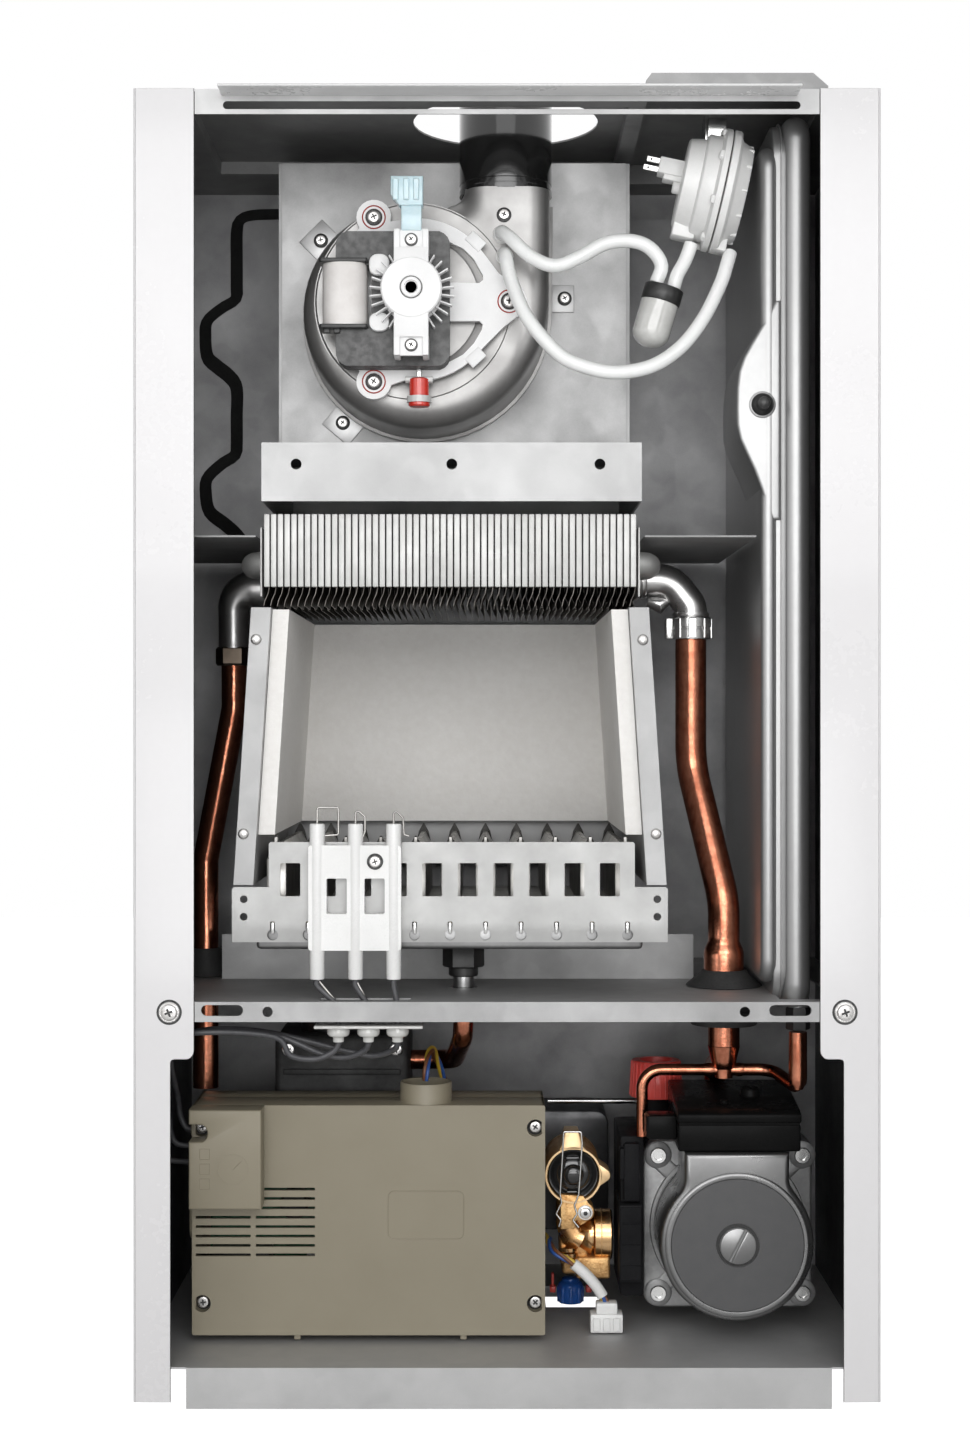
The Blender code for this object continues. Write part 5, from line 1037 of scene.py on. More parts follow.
plug_blue = moulded("plug_blue", (0.6, 0.76, 0.81), (0.53, 0.7, 0.76), 0.18, 0.3, 80, 500, 0.05,
    Coat_Weight=0.3, Subsurface_Weight=0.3, Subsurface_Radius=(0.4, 0.6, 0.7), Subsurface_Scale=0.003)
blocks(connector, (-57.5, -46.3, 20.6, 30, 279.2, 293.5, 0.8))
slab(connector, mm((-63.2, 298.5), (-58.5, 292.5), (-45.5, 292.5), (-45.5, 308.5), (-63.2, 308.5)), 'Y',
    behind(0.0192), behind(0.029), 0.0007, 2)
for x in (-0.0604, -0.0546, -0.0492):
    block(connector, (x - 0.0016, x + 0.0016), depths(0.018, 0.02), (0.2952, 0.307), 0.0005, 1)
new_piece("motor_connector", connector, [plug_blue])


# Cooling wheel. Small white wheel on the shaft behind the bridge: radial vanes that lean on
# a thin disc and blow over the motor.
wheel = bmesh.new()
VANES = 28
hub_at = facing(FAN_X, FAN_Z, behind(0.0362))
lathe(wheel, mm((3.8, 0), (16.5, 0), (16.5, 1.2), (7.5, 1.6), (7.5, 5.2), (3.8, 5.2)), hub_at, 40)
for k in range(VANES):
    turn = hub_at @ spoke(k + 0.5, VANES)
    block(wheel, (0.0072, 0.0234), (-0.00042, 0.00042), (0.0002, 0.0056), 0.00015, 1, turn)
new_piece("cooling_wheel", wheel, [spider_white], "fan_cooling_wheel", body="fan_rotor")


# Thermal cut-out. A red capsule in a clear clip that hangs on the spider's lower edge and
# stops the motor when it runs hot.
red_lacquer = moulded("red_lacquer", (0.75, 0.045, 0.028), (0.6, 0.03, 0.018), 0.12, 0.25, 160, 800, 0.08,
    Coat_Weight=0.6, Coat_Roughness=0.05)
clear_clip = moulded("clear_clip", (0.66, 0.66, 0.65), (0.55, 0.55, 0.54), 0.08, 0.16, 60, 500, 0.03,
    Coat_Weight=0.5)
cutout = bmesh.new()
CUT_X, CUT_Y = -0.0485, behind(0.0505)
upright = placed(CUT_X, CUT_Y, -0.002)
lathe(cutout, mm((0, 189.3), (5.2, 189.3), (6, 190), (6, 191.5), (5.5, 192.2), (5.5, 204.5), (4.6, 205.2),
    (0, 205.2)), upright, 32)
lathe(cutout, band(0.0062, 0.0069, 0.1915, 0.195), upright, 32, 1)
block(cutout, (CUT_X - 0.0078, CUT_X + 0.0078), (CUT_Y - 0.002, CUT_Y + 0.0058), (0.201, 0.2042), 0.0006, 2,
    material=1)
block(cutout, (CUT_X - 0.0012, CUT_X + 0.0012), (CUT_Y - 0.001, CUT_Y + 0.001), (0.2035, 0.2085), 0.0003, 1,
    material=2)
new_piece("thermal_cutout", cutout, [red_lacquer, clear_clip, bright_steel])


# Flue pipe. Thin steel tube in gloss black enamel, belled over the fan's collar, that rises
# through the hole in the top plate.
gloss_black = moulded("gloss_black", 0.012, 0.008, 0.1, 0.2, 30, 400, 0.03, Coat_Weight=0.6,
    Coat_Roughness=0.06)
low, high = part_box("flue_pipe")
flue = bmesh.new()
FLUE_AT = placed((low.x + high.x) / 2, (low.y + high.y) / 2, 0)
tube_radius = (high.x - low.x) / 2
bore_radius = tube_radius - 0.0015
FLUE_FOOT = 0.3128
lathe(flue, [(bore_radius, FLUE_FOOT), (tube_radius, FLUE_FOOT), (tube_radius, FLUE_FOOT + 0.003),
    (tube_radius - 0.0004, FLUE_FOOT + 0.0034), (tube_radius - 0.0004, FLUE_FOOT + 0.006),
    (tube_radius, FLUE_FOOT + 0.0064), (tube_radius, high.z - 0.0012),
    (tube_radius - 0.0004, high.z - 0.0003), (tube_radius - 0.0008, high.z), (bore_radius, high.z)],
    FLUE_AT, 72)
new_piece("flue_tube", flue, [gloss_black], "flue_pipe")


# Air pressure switch. Two moulded white halves clamped round a diaphragm, hung on edge from
# a steel strap; blade terminals on the left, hose ports below.
SWITCH_AT = Vector((0.119, behind(0.045), 0.306))
switch_turn = Matrix.Translation(SWITCH_AT) @ turned(102, 'Y')
switch_white = moulded("switch_white", (0.83, 0.83, 0.82), (0.76, 0.76, 0.75), 0.28, 0.42, 60, 1300, 0.08)
switch_body = bmesh.new()
lathe(switch_body, mm((0, -22.9), (23.2, -22.9), (24.5, -22), (25.8, -15), (25.8, -13.8), (28.3, -13),
    (29, -12.2), (29.2, -5.2), (31.8, -4.6), (33, -4.2), (33.8, -3.6), (33.8, -0.8), (33.2, -0.4),
    (29, -0.4), (29, -3), (0, -3)), switch_turn, 56)
for x, y, z, edge in (((0.015, 0.0305), (-0.0075, 0.0075), (-0.0222, -0.0095), 0.0012),
        ((0.001, 0.007), (-0.0085, 0.0085), (-0.0165, -0.012), 0.001),
        ((-0.03, -0.012), (-0.0065, 0.0065), (-0.0125, -0.0048), 0.0012),
        ((0.012, 0.0215), (-0.011, 0.011), (-0.0122, -0.0046), 0.0012)):
    block(switch_body, x, y, z, edge, 2, switch_turn)
lathe(switch_body, mm((0, -26.8), (2.8, -26.8), (3.6, -26), (3.6, -22), (0, -22)),
    switch_turn @ placed(0.003, 0, 0), 20)
for k in range(8):
    turn = switch_turn @ spoke(k + 0.5, 8)
    block(switch_body, (0.03, 0.0335), (-0.0022, 0.0022), (-0.0062, -0.0036), 0.0005, 1, turn)
blocks(switch_body, (113, 119, 39, 52, 330, 347, 0.8))
new_piece("pressure_switch_body", switch_body, [switch_white], "switch_body", angle=40)
terminals = bmesh.new()
block(terminals, (-0.011, -0.002), (-0.006, 0.006), (-0.0365, -0.0225), 0.0006, 2, switch_turn)
block(terminals, (-0.0022, 0.0008), (-0.005, 0.005), (-0.033, -0.0225), 0.0006, 2, switch_turn)
for x, reach in ((-0.0096, -0.0438), (-0.0048, -0.0448)):
    block(terminals, (x - 0.0016, x + 0.0016), (-0.0004, 0.0004), (reach, -0.036), 0.0003, 1, switch_turn,
        1)
    # Painted shade: a near-black dot stands for the hole in each blade.
    lathe(terminals, band(0, 0.0006, 0, 0.00012), switch_turn @ placed(x, -0.00042, reach + 0.0026)
        @ turned(90, 'X'), 12, 2)
new_piece("switch_terminals", terminals, [switch_white, bright_steel, washers_and_hole_shade])
switch_cover = bmesh.new()
lathe(switch_cover, mm((0, 3.5), (29, 3.5), (29, 0.4), (33.2, 0.4), (33.8, 0.8), (33.8, 4), (33, 4.9),
    (30.5, 5.4), (28.5, 6.6), (26.2, 12.2), (25, 12.9), (0, 12.9)), switch_turn, 56)
for k in range(12):
    turn = switch_turn @ spoke(k + 0.25, 12)
    block(switch_cover, (0.01, 0.0272), (-0.0007, 0.0007), (0.005, 0.0128), 0.0003, 1, turn)
block(switch_cover, (0.021, 0.0335), (-0.007, 0.007), (0.0012, 0.0092), 0.001, 2, switch_turn)
new_piece("pressure_switch_cover", switch_cover, [switch_white], "switch_cover", angle=40)
dress("switch_diaphragm", silicone)
strap = bmesh.new()
blocks(strap, (109.5, 111.2, 36, 56, 322.5, 347, 0.4), (111.2, 121.5, 36, 37.2, 333, 347, 0.4))
new_piece("switch_strap", strap, [bright_steel])


# Water trap. A clear bottle with a round bottom that catches condensate below the two short
# hoses, closed by a black cap.
trap_clear = moulded("trap_clear", (0.66, 0.66, 0.64), (0.55, 0.55, 0.53), 0.08, 0.16, 60, 300, 0.03,
    Subsurface_Weight=0.4, Subsurface_Radius=(0.5, 0.5, 0.5), Subsurface_Scale=0.004, Coat_Weight=0.6,
    Coat_Roughness=0.05)
trap_at = Matrix.Translation(TRAP_FOOT) @ Matrix.Rotation(TRAP_TILT, 4, 'Y')
trap = bmesh.new()
bottle_radius = 0.0104
bottom = [(bottle_radius * math.sin(math.radians(a)), 0.0085 * (1 - math.cos(math.radians(a))))
    for a in range(0, 91, 10)]
lathe(trap, bottom + [(bottle_radius, 0.0255), (0, 0.0255)], trap_at, 40)
lathe(trap, mm((0, 25.6), (10.6, 25.6), (11, 26), (11, 34), (10.6, 34.4), (9.2, 34.7), (0, 34.7)), trap_at,
    40, 1)
for across in (-SPIGOT, SPIGOT):
    lathe(trap, band(0, 0.0044, 0.034, 0.0349), trap_at @ placed(across, 0, 0), 20, 1)
new_piece("water_trap", trap, [trap_clear, black_parts_and_recess_shade], "trap_bottle", angle=45)


# Heat exchanger. Fifty-five tinned copper fins on brazed tubes: each fin is folded over in
# front into a flat bar, and its lower edge flares towards the flame, in two rows that cross.
fin_bright = zinc_coated("fin_bright", (0.52, 0.52, 0.51), (0.45, 0.45, 0.44), 0.52, 0.66, 160, 40, 0.08)
fin_brown = moulded("fin_heated", (0.15, 0.138, 0.125), (0.05, 0.045, 0.04), 0.3, 0.5, 120, 900, 0.15,
    Metallic=0.8)
CORE_X = -0.0308
FIN_PITCH = 0.0037
FIN_COUNT = 55
FIN_TOP, FIN_FOOT, FIN_FLARE = 0.1248, 0.0852, 0.0748
FIRST_FIN = CORE_X - FIN_PITCH * (FIN_COUNT - 1) / 2
fins = bmesh.new()
for i in range(FIN_COUNT):
    x = FIRST_FIN + FIN_PITCH * i
    block(fins, (x - 0.0015, x + 0.0015), depths(0.0221, 0.029), (FIN_FOOT, FIN_TOP), 0.0003, 2)
    edge, thick = x + 0.00125, 0.0003
    for lean, start, end in ((-1, 0.024, 0.064), (1, 0.07, 0.198)):
        down = [(edge, FIN_TOP), (edge, 0.0846), (edge + lean * 0.0006, 0.0815),
            (edge + lean * 0.0022, 0.078), (edge + lean * 0.003, FIN_FLARE)]
        back = [(u - thick, v) for u, v in reversed(down)]
        slab(fins, down + back, 'Y', behind(start), behind(end), material=1)
for x in (-0.1345, 0.0717):
    block(fins, (x, x + 0.0011), depths(0.0236, 0.2044), (0.0798, 0.1178), 0.0003, 1)
blocks(fins, (-131, 69.4, 34, 204, 118, 124.6, 0), segments=1, material=1)
for depth in (0.045, 0.075, 0.105, 0.135, 0.165):
    lie = placed(0, behind(depth), 0.099) @ turned(90, 'Y')
    lathe(fins, band(0, 0.0065, -0.1335, 0.072), lie, 20, 1)
bend_profile = ((0, -0.018), (0.0045, -0.0168), (0.0075, -0.0125), (0.0088, -0.0065), (0.0092, 0),
    (0.0088, 0.0065), (0.0075, 0.0125), (0.0045, 0.0168), (0, 0.018))
for side in (-1, 1):
    for depth in (0.06, 0.15):
        start = CORE_X + side * 0.1015
        sweep(fins, [(start + side * out, behind(depth + along), 0.099) for out, along in bend_profile],
            0.0068, 20)
new_piece("heat_exchanger_fins", fins, [fin_bright, fin_brown], "heat_exchanger", angle=35)


# Flow elbow. Cast steel bend screwed to the exchanger's hot end, beaded at its foot; a clip
# and a ribbed nut hold the copper pipe below it.
def bent_route(corners, radius, steps=10):
    """Straight runs between corners, joined by arcs as a bent pipe is."""
    points = [Vector(corners[0])]
    for before, here, after in zip(corners, corners[1:], corners[2:]):
        before, here, after = Vector(before), Vector(here), Vector(after)
        back, on = (before - here).normalized(), (after - here).normalized()
        half = back.angle(on) / 2
        reach = min(radius / math.tan(half), 0.49 * (before - here).length, 0.49 * (after - here).length)
        middle = here + (back + on).normalized() * (reach / math.cos(half))
        start, end = here + back * reach, here + on * reach
        spread_angle = (start - middle).angle(end - middle)
        for i in range(steps + 1):
            part = i / steps
            first = math.sin((1 - part) * spread_angle) / math.sin(spread_angle)
            second = math.sin(part * spread_angle) / math.sin(spread_angle)
            points.append(middle + (start - middle) * first + (end - middle) * second)
    points.append(Vector(corners[-1]))
    return points


cast_steel = drawn("cast_steel", (0.6, 0.595, 0.59), (0.46, 0.455, 0.45), 0.26, 0.4, 60, 1, 0.1)
ELBOW_BACK = behind(0.105)
ELBOW_LEVEL = 0.0945
FLOW_BEND_X = 0.108
elbow = bmesh.new()
elbow_route = bent_route([(0.0733, ELBOW_BACK, ELBOW_LEVEL), (0.096, ELBOW_BACK, ELBOW_LEVEL),
    (FLOW_BEND_X, ELBOW_BACK, 0.079), (FLOW_BEND_X, ELBOW_BACK, 0.072)], 0.016, 12)
sweep(elbow, elbow_route, 0.0095, 36)
on_end = turned(90, 'Y')
for start, length, radius in ((0.0733, 0.0035, 0.0122), (0.0768, 0.0022, 0.0112), (0.0795, 0.0024, 0.0106)):
    lathe(elbow, [(0, start), (radius, start), (radius, start + length * 0.7),
        (radius - 0.0006, start + length), (0, start + length)],
        placed(0, ELBOW_BACK, ELBOW_LEVEL) @ on_end, 36)
lathe(elbow, mm((9.6, 73.5), (10.4, 73), (10.7, 74.2), (10.4, 75.4), (9.6, 75)),
    placed(FLOW_BEND_X, ELBOW_BACK, 0), 36)
sweep(elbow, [(0.083, ELBOW_BACK, 0.082), (0.09, ELBOW_BACK, 0.08), (0.096, ELBOW_BACK, 0.083)],
    (0.003, 0.0055, 0.002), 16)
new_piece("flow_elbow_cast", elbow, [cast_steel], "flow_elbow", angle=50)
clip = bmesh.new()
NUT_AT = placed(FLOW_BEND_X, ELBOW_BACK, 0)
lathe(clip, mm((0, 59.6), (11.2, 59.6), (11.8, 60), (11.8, 65.2), (11.2, 65.6), (11.2, 66.4), (12, 66.8),
    (12, 72), (11.4, 72.5), (0, 72.5)), NUT_AT, 48)
for k in range(8):
    turn = NUT_AT @ spoke(k, 8)
    block(clip, (0.011, 0.0124), (-0.0024, 0.0024), (0.0602, 0.0719), 0.0004, 1, turn)
block(clip, (FLOW_BEND_X - 0.015, FLOW_BEND_X - 0.0102), (ELBOW_BACK - 0.0045, ELBOW_BACK + 0.0045),
    (0.06, 0.0722), 0.0008, 2)
new_piece("flow_nut_clip", clip, [bright_steel])


# Flow and return pipes. Drawn copper tube, hand-bent, bulged where it enters the sleeve at
# the partition, with the uneven shine of flux and handling.
copper, wants, gives, place = new_group("handled_copper", (0.8, 0.4, 0.25), (0.5, 0.2, 0.12),
    Blotch_Scale=90, Smoothest=0.12, Roughest=0.38)
blotches = noise(copper, place, wants["Blotch Scale"], 6, 0.65)
streaks = noise(copper, stretched(copper, place, (1, 1, 0.16)), 320, 4, 0.6)
close_group(copper, wants, gives, spread(copper, weigh(copper, blotches, 0.6, streaks, 0.4), 0.38, 0.62),
    weigh(copper, blotches, 0.8, streaks, 0.2))
pipe_copper = finish_from(copper, "pipe_copper", {"Colour": (0.66, 0.27, 0.165),
    "Shade": (0.38, 0.125, 0.07), "Blotch Scale": 110, "Smoothest": 0.13, "Roughest": 0.27}, bump=0.28,
    depth=0.0012, Metallic=1)
FLOW_X, FLOW_Y = 0.124, behind(0.075)
flow = bmesh.new()
run = bent_route([(FLOW_BEND_X, ELBOW_BACK, 0.0595), (FLOW_BEND_X, ELBOW_BACK, -0.013),
    (FLOW_X, FLOW_Y, -0.09), (FLOW_X, FLOW_Y, -0.11)], 0.06, 12)
bulge = ((-0.113, 0.009), (-0.115, 0.0098), (-0.117, 0.0108), (-0.1195, 0.0114), (-0.1225, 0.0114),
    (-0.136, 0.0113))
sweep(flow, run + [Vector((FLOW_X, FLOW_Y, z)) for z, radius in bulge],
    [0.009] * len(run) + [radius for z, radius in bulge], 36)
sweep(flow, [(FLOW_X, FLOW_Y, -0.1355), (FLOW_X, FLOW_Y, -0.172)], 0.009, 36)
new_piece("flow_pipe_copper", flow, [pipe_copper], "flow_pipe", angle=60)
RETURN_X, RETURN_Y = -0.1775, behind(0.13)
cold_elbow = bmesh.new()
cold_route = bent_route([(-0.1348, behind(0.12), 0.09), (-0.16, behind(0.12), 0.09),
    (-0.16, behind(0.123), 0.056)], 0.018, 12)
swell = [0.0112 - 0.0024 * i / (len(cold_route) - 1) for i in range(len(cold_route))]
sweep(cold_elbow, cold_route, swell, 32)
lathe(cold_elbow, mm((0, -140), (12, -140), (12.6, -139), (12.6, -135.2), (0, -135.2)),
    placed(0, behind(0.12), 0.09) @ on_end, 36)
new_piece("return_elbow_cast", cold_elbow, [cast_steel], angle=50)
return_nut = bmesh.new()
dark_brass = drawn("dark_brass", (0.16, 0.13, 0.1), (0.07, 0.055, 0.045), 0.25, 0.45, 60, 1, 0.1)
lathe(return_nut, mm((0, 45), (9.8, 45), (10.8, 46.2), (10.8, 54.8), (9.8, 56), (0, 56)),
    placed(-0.16, behind(0.1235), 0), 6)
new_piece("return_nut", return_nut, [dark_brass], angle=25)
cold = bmesh.new()
cold_run = bent_route([(-0.16, behind(0.124), 0.05), (-0.16, behind(0.125), 0.02),
    (RETURN_X, RETURN_Y, -0.07), (RETURN_X, RETURN_Y, -0.205)], 0.03, 10)
sweep(cold, cold_run, 0.0075, 28)
new_piece("return_pipe_copper", cold, [pipe_copper], "return_pipe", angle=60)


# Pipe sleeves. Black rubber cones pushed down the pipes to seal them where they pass the
# partition.
rubber = moulded("black_rubber", 0.04, 0.026, 0.5, 0.7, 50, 800, 0.12, Specular_IOR_Level=0.25)
sleeves = bmesh.new()
FLOW_AT = placed(FLOW_X, FLOW_Y, 0)
lathe(sleeves, mm((11.6, -136.4), (11.6, -160), (18.6, -160), (19, -159.4), (19, -152.6), (18.4, -152),
    (16.6, -151.6), (16.1, -150), (16.1, -140), (15.8, -138.4), (14, -136.8), (13, -136.4))[::-1], FLOW_AT,
    48)
lathe(sleeves, mm((11.6, -129), (12.6, -129.2), (13.2, -130.2), (21.2, -137.2), (21.6, -137.8),
    (11.6, -137.8)), FLOW_AT, 48)
new_piece("flow_sleeve", sleeves, [rubber], "flow_grommet", angle=45)
cold_sleeve = bmesh.new()
lathe(cold_sleeve, mm((7.6, -122), (9, -122.2), (10, -124), (15, -137.2), (15.4, -137.8), (7.6, -137.8)),
    placed(RETURN_X, RETURN_Y, 0), 36)
new_piece("return_sleeve", cold_sleeve, [rubber], angle=45)


# Combustion chamber. Zinc-coated sheet box, open in front; its two flanges carry the domed
# rivet nuts that take the missing front. Inside it stands the pressed ceramic-fibre lining.
dress("chamber_shell", zinc_coated("chamber_zinc", 0.44, 0.38, 0.52, 0.64, 90, 30, 0.06, 0.55))
rivets = bmesh.new()
for x, z in ((-0.1361, 0.0563), (-0.143, -0.0493), (0.0739, 0.0561), (0.081, -0.0493)):
    lathe(rivets, mm((3, -0.4), (3, 0.2), (2.7, 0.9), (2.2, 1.3), (1.2, 1.6), (0, 1.7)),
        facing(x, z, behind(0.018)), 24)
new_piece("chamber_rivets", rivets, [zinc_screw])
fibre, wants, gives, place = new_group("pressed_fibre", (0.8, 0.78, 0.75), (0.68, 0.65, 0.61),
    Grain_Scale=260, Smoothest=0.85, Roughest=0.98)
lumps = noise(fibre, place, wants["Grain Scale"], 5, 0.55)
strands = noise(fibre, place, 1500, 3, 0.6)
stains = noise(fibre, place, 18, 4, 0.6)
close_group(fibre, wants, gives, spread(fibre, weigh(fibre, lumps, 0.5, stains, 0.5), 0.35, 0.65),
    weigh(fibre, lumps, 0.8, strands, 0.2), roughness=spread(fibre, strands, 0, 1, wants["Smoothest"],
    wants["Roughest"]))
dress("chamber_insulation", finish_from(fibre, "lining_fibre",
    {"Colour": (0.94, 0.925, 0.9), "Shade": (0.88, 0.86, 0.83)}, bump=0.55, depth=0.0016))


# Burner. Stainless front plate with ten windows and eleven keyholes that show the nozzles;
# behind it eleven roofed blades stand side by side on their floor.
PLATE_STEEL = drawn("burner_steel", (0.4, 0.4, 0.395), (0.34, 0.34, 0.335), 0.42, 0.52, 60, 1, 0.05, 0.6)
rib_steel = drawn("rib_steel", (0.55, 0.54, 0.52), (0.36, 0.35, 0.33), 0.28, 0.42, 50, 1, 0.06)
# Painted shade: near-black for the open ends of the blades and the slots along their ridges.
rib_painted_shade = moulded("rib_painted_shade", (0.06, 0.058, 0.055), (0.03, 0.028, 0.026), 0.45, 0.65, 60, 900, 0.1,
    Metallic=0.6)
brass_dull = drawn("nozzle_brass", (0.45, 0.33, 0.15), (0.28, 0.19, 0.08), 0.28, 0.42, 60, 1, 0.08)
NOZZLE_PITCH, NOZZLE_COUNT, FIRST_NOZZLE = 0.01925, 11, -0.127
NOZZLES = [FIRST_NOZZLE + NOZZLE_PITCH * i for i in range(NOZZLE_COUNT)]
BEND_LEVEL = -0.0998
plate = bmesh.new()
plate_outline = mm((-149, -108), (87.3, -108), (87.3, -79.2), (86.1, -78), (69.4, -78), (69.4, -54.5),
    (68.5, -53.6), (-128.1, -53.6), (-129, -54.5), (-129, -78), (-147.8, -78), (-149, -79.2))
openings = []
for i in range(NOZZLE_COUNT - 1):
    x = FIRST_NOZZLE + NOZZLE_PITCH * (i + 0.5)
    openings.append(rounded((x - 0.00545, x + 0.00545), (-0.083, -0.065), 0.0008, 2)[::-1])
for x in NOZZLES:
    openings.append(([(x + 0.0013, -0.0972), (x + 0.0009, -0.0967), (x - 0.0009, -0.0967),
        (x - 0.0013, -0.0972)] + arc((x, -0.104), 0.003, 116, 424, 18))[::-1])
for x, z in ((-0.1426, -0.0846), (-0.1426, -0.0941), (0.0816, -0.0846), (0.0816, -0.0941)):
    openings.append(arc((x, z), 0.0021, 0, 345, 23)[::-1])
pierced(plate, plate_outline, openings, behind(0.016), 0.001)
bmesh.ops.bisect_plane(plate, geom=plate.verts[:] + plate.edges[:] + plate.faces[:],
    plane_co=(0, 0, BEND_LEVEL), plane_no=(0, 0, 1))
for vertex in plate.verts:
    if vertex.co.z < BEND_LEVEL - 1e-6:
        vertex.co.y += (BEND_LEVEL - vertex.co.z) * 0.12
new_piece("burner_plate", plate, [PLATE_STEEL], "burner_front_plate", angle=8)
ribs = bmesh.new()
blocks(ribs, (-140, 78, 36, 199, -92.5, -90.5, 0.4), segments=1)
for x in NOZZLES:
    roof = [(x - 0.0055, -0.0915), (x + 0.0055, -0.0915), (x + 0.0055, -0.0645), (x + 0.0012, -0.056),
        (x - 0.0012, -0.056), (x - 0.0055, -0.0645)]
    slab(ribs, roof, 'Y', behind(0.039), behind(0.196), 0.0005, 2)
    # Painted shade: near-black end caps stand for the open ends of each blade.
    tip = [(x - 0.0047, -0.064), (x + 0.0047, -0.064), (x + 0.003, -0.056), (x + 0.0004, -0.0512),
        (x - 0.0004, -0.0512), (x - 0.003, -0.056)]
    slab(ribs, tip, 'Y', behind(0.037), behind(0.0382), 0, 1, material=1)
    slab(ribs, tip, 'Y', behind(0.194), behind(0.198), 0, 1, material=1)
    block(ribs, (x - 0.0007, x + 0.0007), depths(0.0364, 0.0372), (-0.064, -0.052))
    # Painted shade: near-black marks stand for the slots along the ridge.
    for k in range(9):
        y = behind(0.05 + 0.0165 * k)
        block(ribs, (x - 0.0014, x + 0.0014), (y, y + 0.0012), (-0.0561, -0.0558), 0, 1, material=1)
new_piece("burner_blades", ribs, [rib_steel, rib_painted_shade], "burner_ribs", angle=25)
dark_steel = drawn("manifold_steel", 0.3, 0.18, 0.3, 0.45, 40, 1, 0.06)
rail = bmesh.new()
blocks(rail, (-136, 74, 19, 33, -112, -98, 2.2), segments=3)
for x in NOZZLES:
    at = placed(x, behind(0.0265), 0)
    lathe(rail, mm((0, -99), (3.2, -99), (3.2, -95.8), (2.2, -95.5), (2.2, -93.8), (1.7, -93.2),
        (0.5, -93.2), (0.5, -94.5), (0, -94.5)), at, 16, 1)
    block(rail, (x - 0.0009, x + 0.0009), depths(0.0166, 0.0195), (-0.1035, -0.0972), 0.0006, material=2)
new_piece("gas_rail", rail, [dark_steel, brass_dull, bright_steel], "gas_manifold",
    angle=40)


# Electrodes. One glazed ceramic block with three tubes, screwed to the burner plate; bent
# heat-proof wires stand over the flames and thin ones run down to the leads.
glaze = moulded("white_glaze", (0.86, 0.86, 0.85), (0.79, 0.79, 0.78), 0.22, 0.34, 30, 900, 0.05)
wire_steel = drawn("electrode_steel", (0.46, 0.45, 0.43), (0.28, 0.27, 0.26), 0.3, 0.5, 60, 1, 0.08)
BLOCK_LEFT, BLOCK_RIGHT = -0.107, -0.057
TUBES = lead_starts[::-1]
electrode = bmesh.new()
pierced(electrode, rounded((BLOCK_LEFT, BLOCK_RIGHT), (-0.1117, -0.055), 0.0016, 3),
    [rounded((-0.0972, -0.0862), (-0.092, -0.0728), 0.0008, 2)[::-1],
    rounded((-0.0768, -0.0658), (-0.092, -0.0728), 0.0008, 2)[::-1]], behind(0.008), 0.0075, 0.0007)
for x in TUBES:
    lathe(electrode, mm((0, -127.3), (3.7, -127.3), (4, -126.8), (4.1, -44.2), (3.8, -43.5), (0, -43.5)),
        placed(x, behind(0.0112), 0), 28)
new_piece("electrode_ceramic", electrode, [glaze], "electrode_block", angle=40)
tips = bmesh.new()
WIRE = 0.0009
for shape in (mm((-102.4, -43.7), (-102.4, -34.8), (-90.9, -34.6), (-90.9, -49.4), (-98.1, -49.9)),
        mm((-81.7, -43.7), (-81.7, -35.4), (-76.6, -39.6), (-76.6, -47.8), (-77.7, -50.5)),
        mm((-61.1, -43.7), (-61.1, -35.4), (-56.1, -40.2), (-55.5, -49.4), (-52.8, -50.2))):
    sweep(tips, bent_route([(x, behind(0.0112), z) for x, z in shape], 0.0012, 5), WIRE / 2 + 0.0001, 10)
for start, gland in zip(TUBES, GLANDS[::-1]):
    sweep(tips, [(start, behind(0.0112), -0.1268), (start + (gland - start) * 0.1, behind(0.0111), -0.1286),
        (gland - (gland - start) * 0.1, behind(0.011), -0.1395), (gland, behind(0.011), -0.144)], 0.0007,
        10)
new_piece("electrode_wires", tips, [wire_steel], angle=50)
holder = bmesh.new()
lathe(holder, mm((0, 0), (4.4, 0), (4.4, 0.6), (4, 0.9), (0, 0.9)), facing(-0.071, -0.0637, behind(0.0082)),
    28, 1)
screw(holder, -0.071, -0.0637, behind(0.0076), 0.0031, 0.0018)
new_piece("electrode_screw", holder, [zinc_screw, recess_shade_and_washer])
gland = bmesh.new()
blocks(gland, (-103.5, -45.2, 1.2, 17.5, -153, -151.4, 0.5))
for x in GLANDS:
    at = placed(x, GLAND_Y, 0)
    lathe(gland, mm((1.9, -161.1), (2.8, -161.1), (3, -160.6), (3, -158.8), (3.6, -158.2), (5.2, -157.9),
        (6, -156.8), (6.2, -155), (5.8, -154), (6.1, -152.9), (6.1, -152), (1.9, -152)), at, 32)
new_piece("lead_gland_strip", gland, [trap_clear], "lead_gland", angle=50)


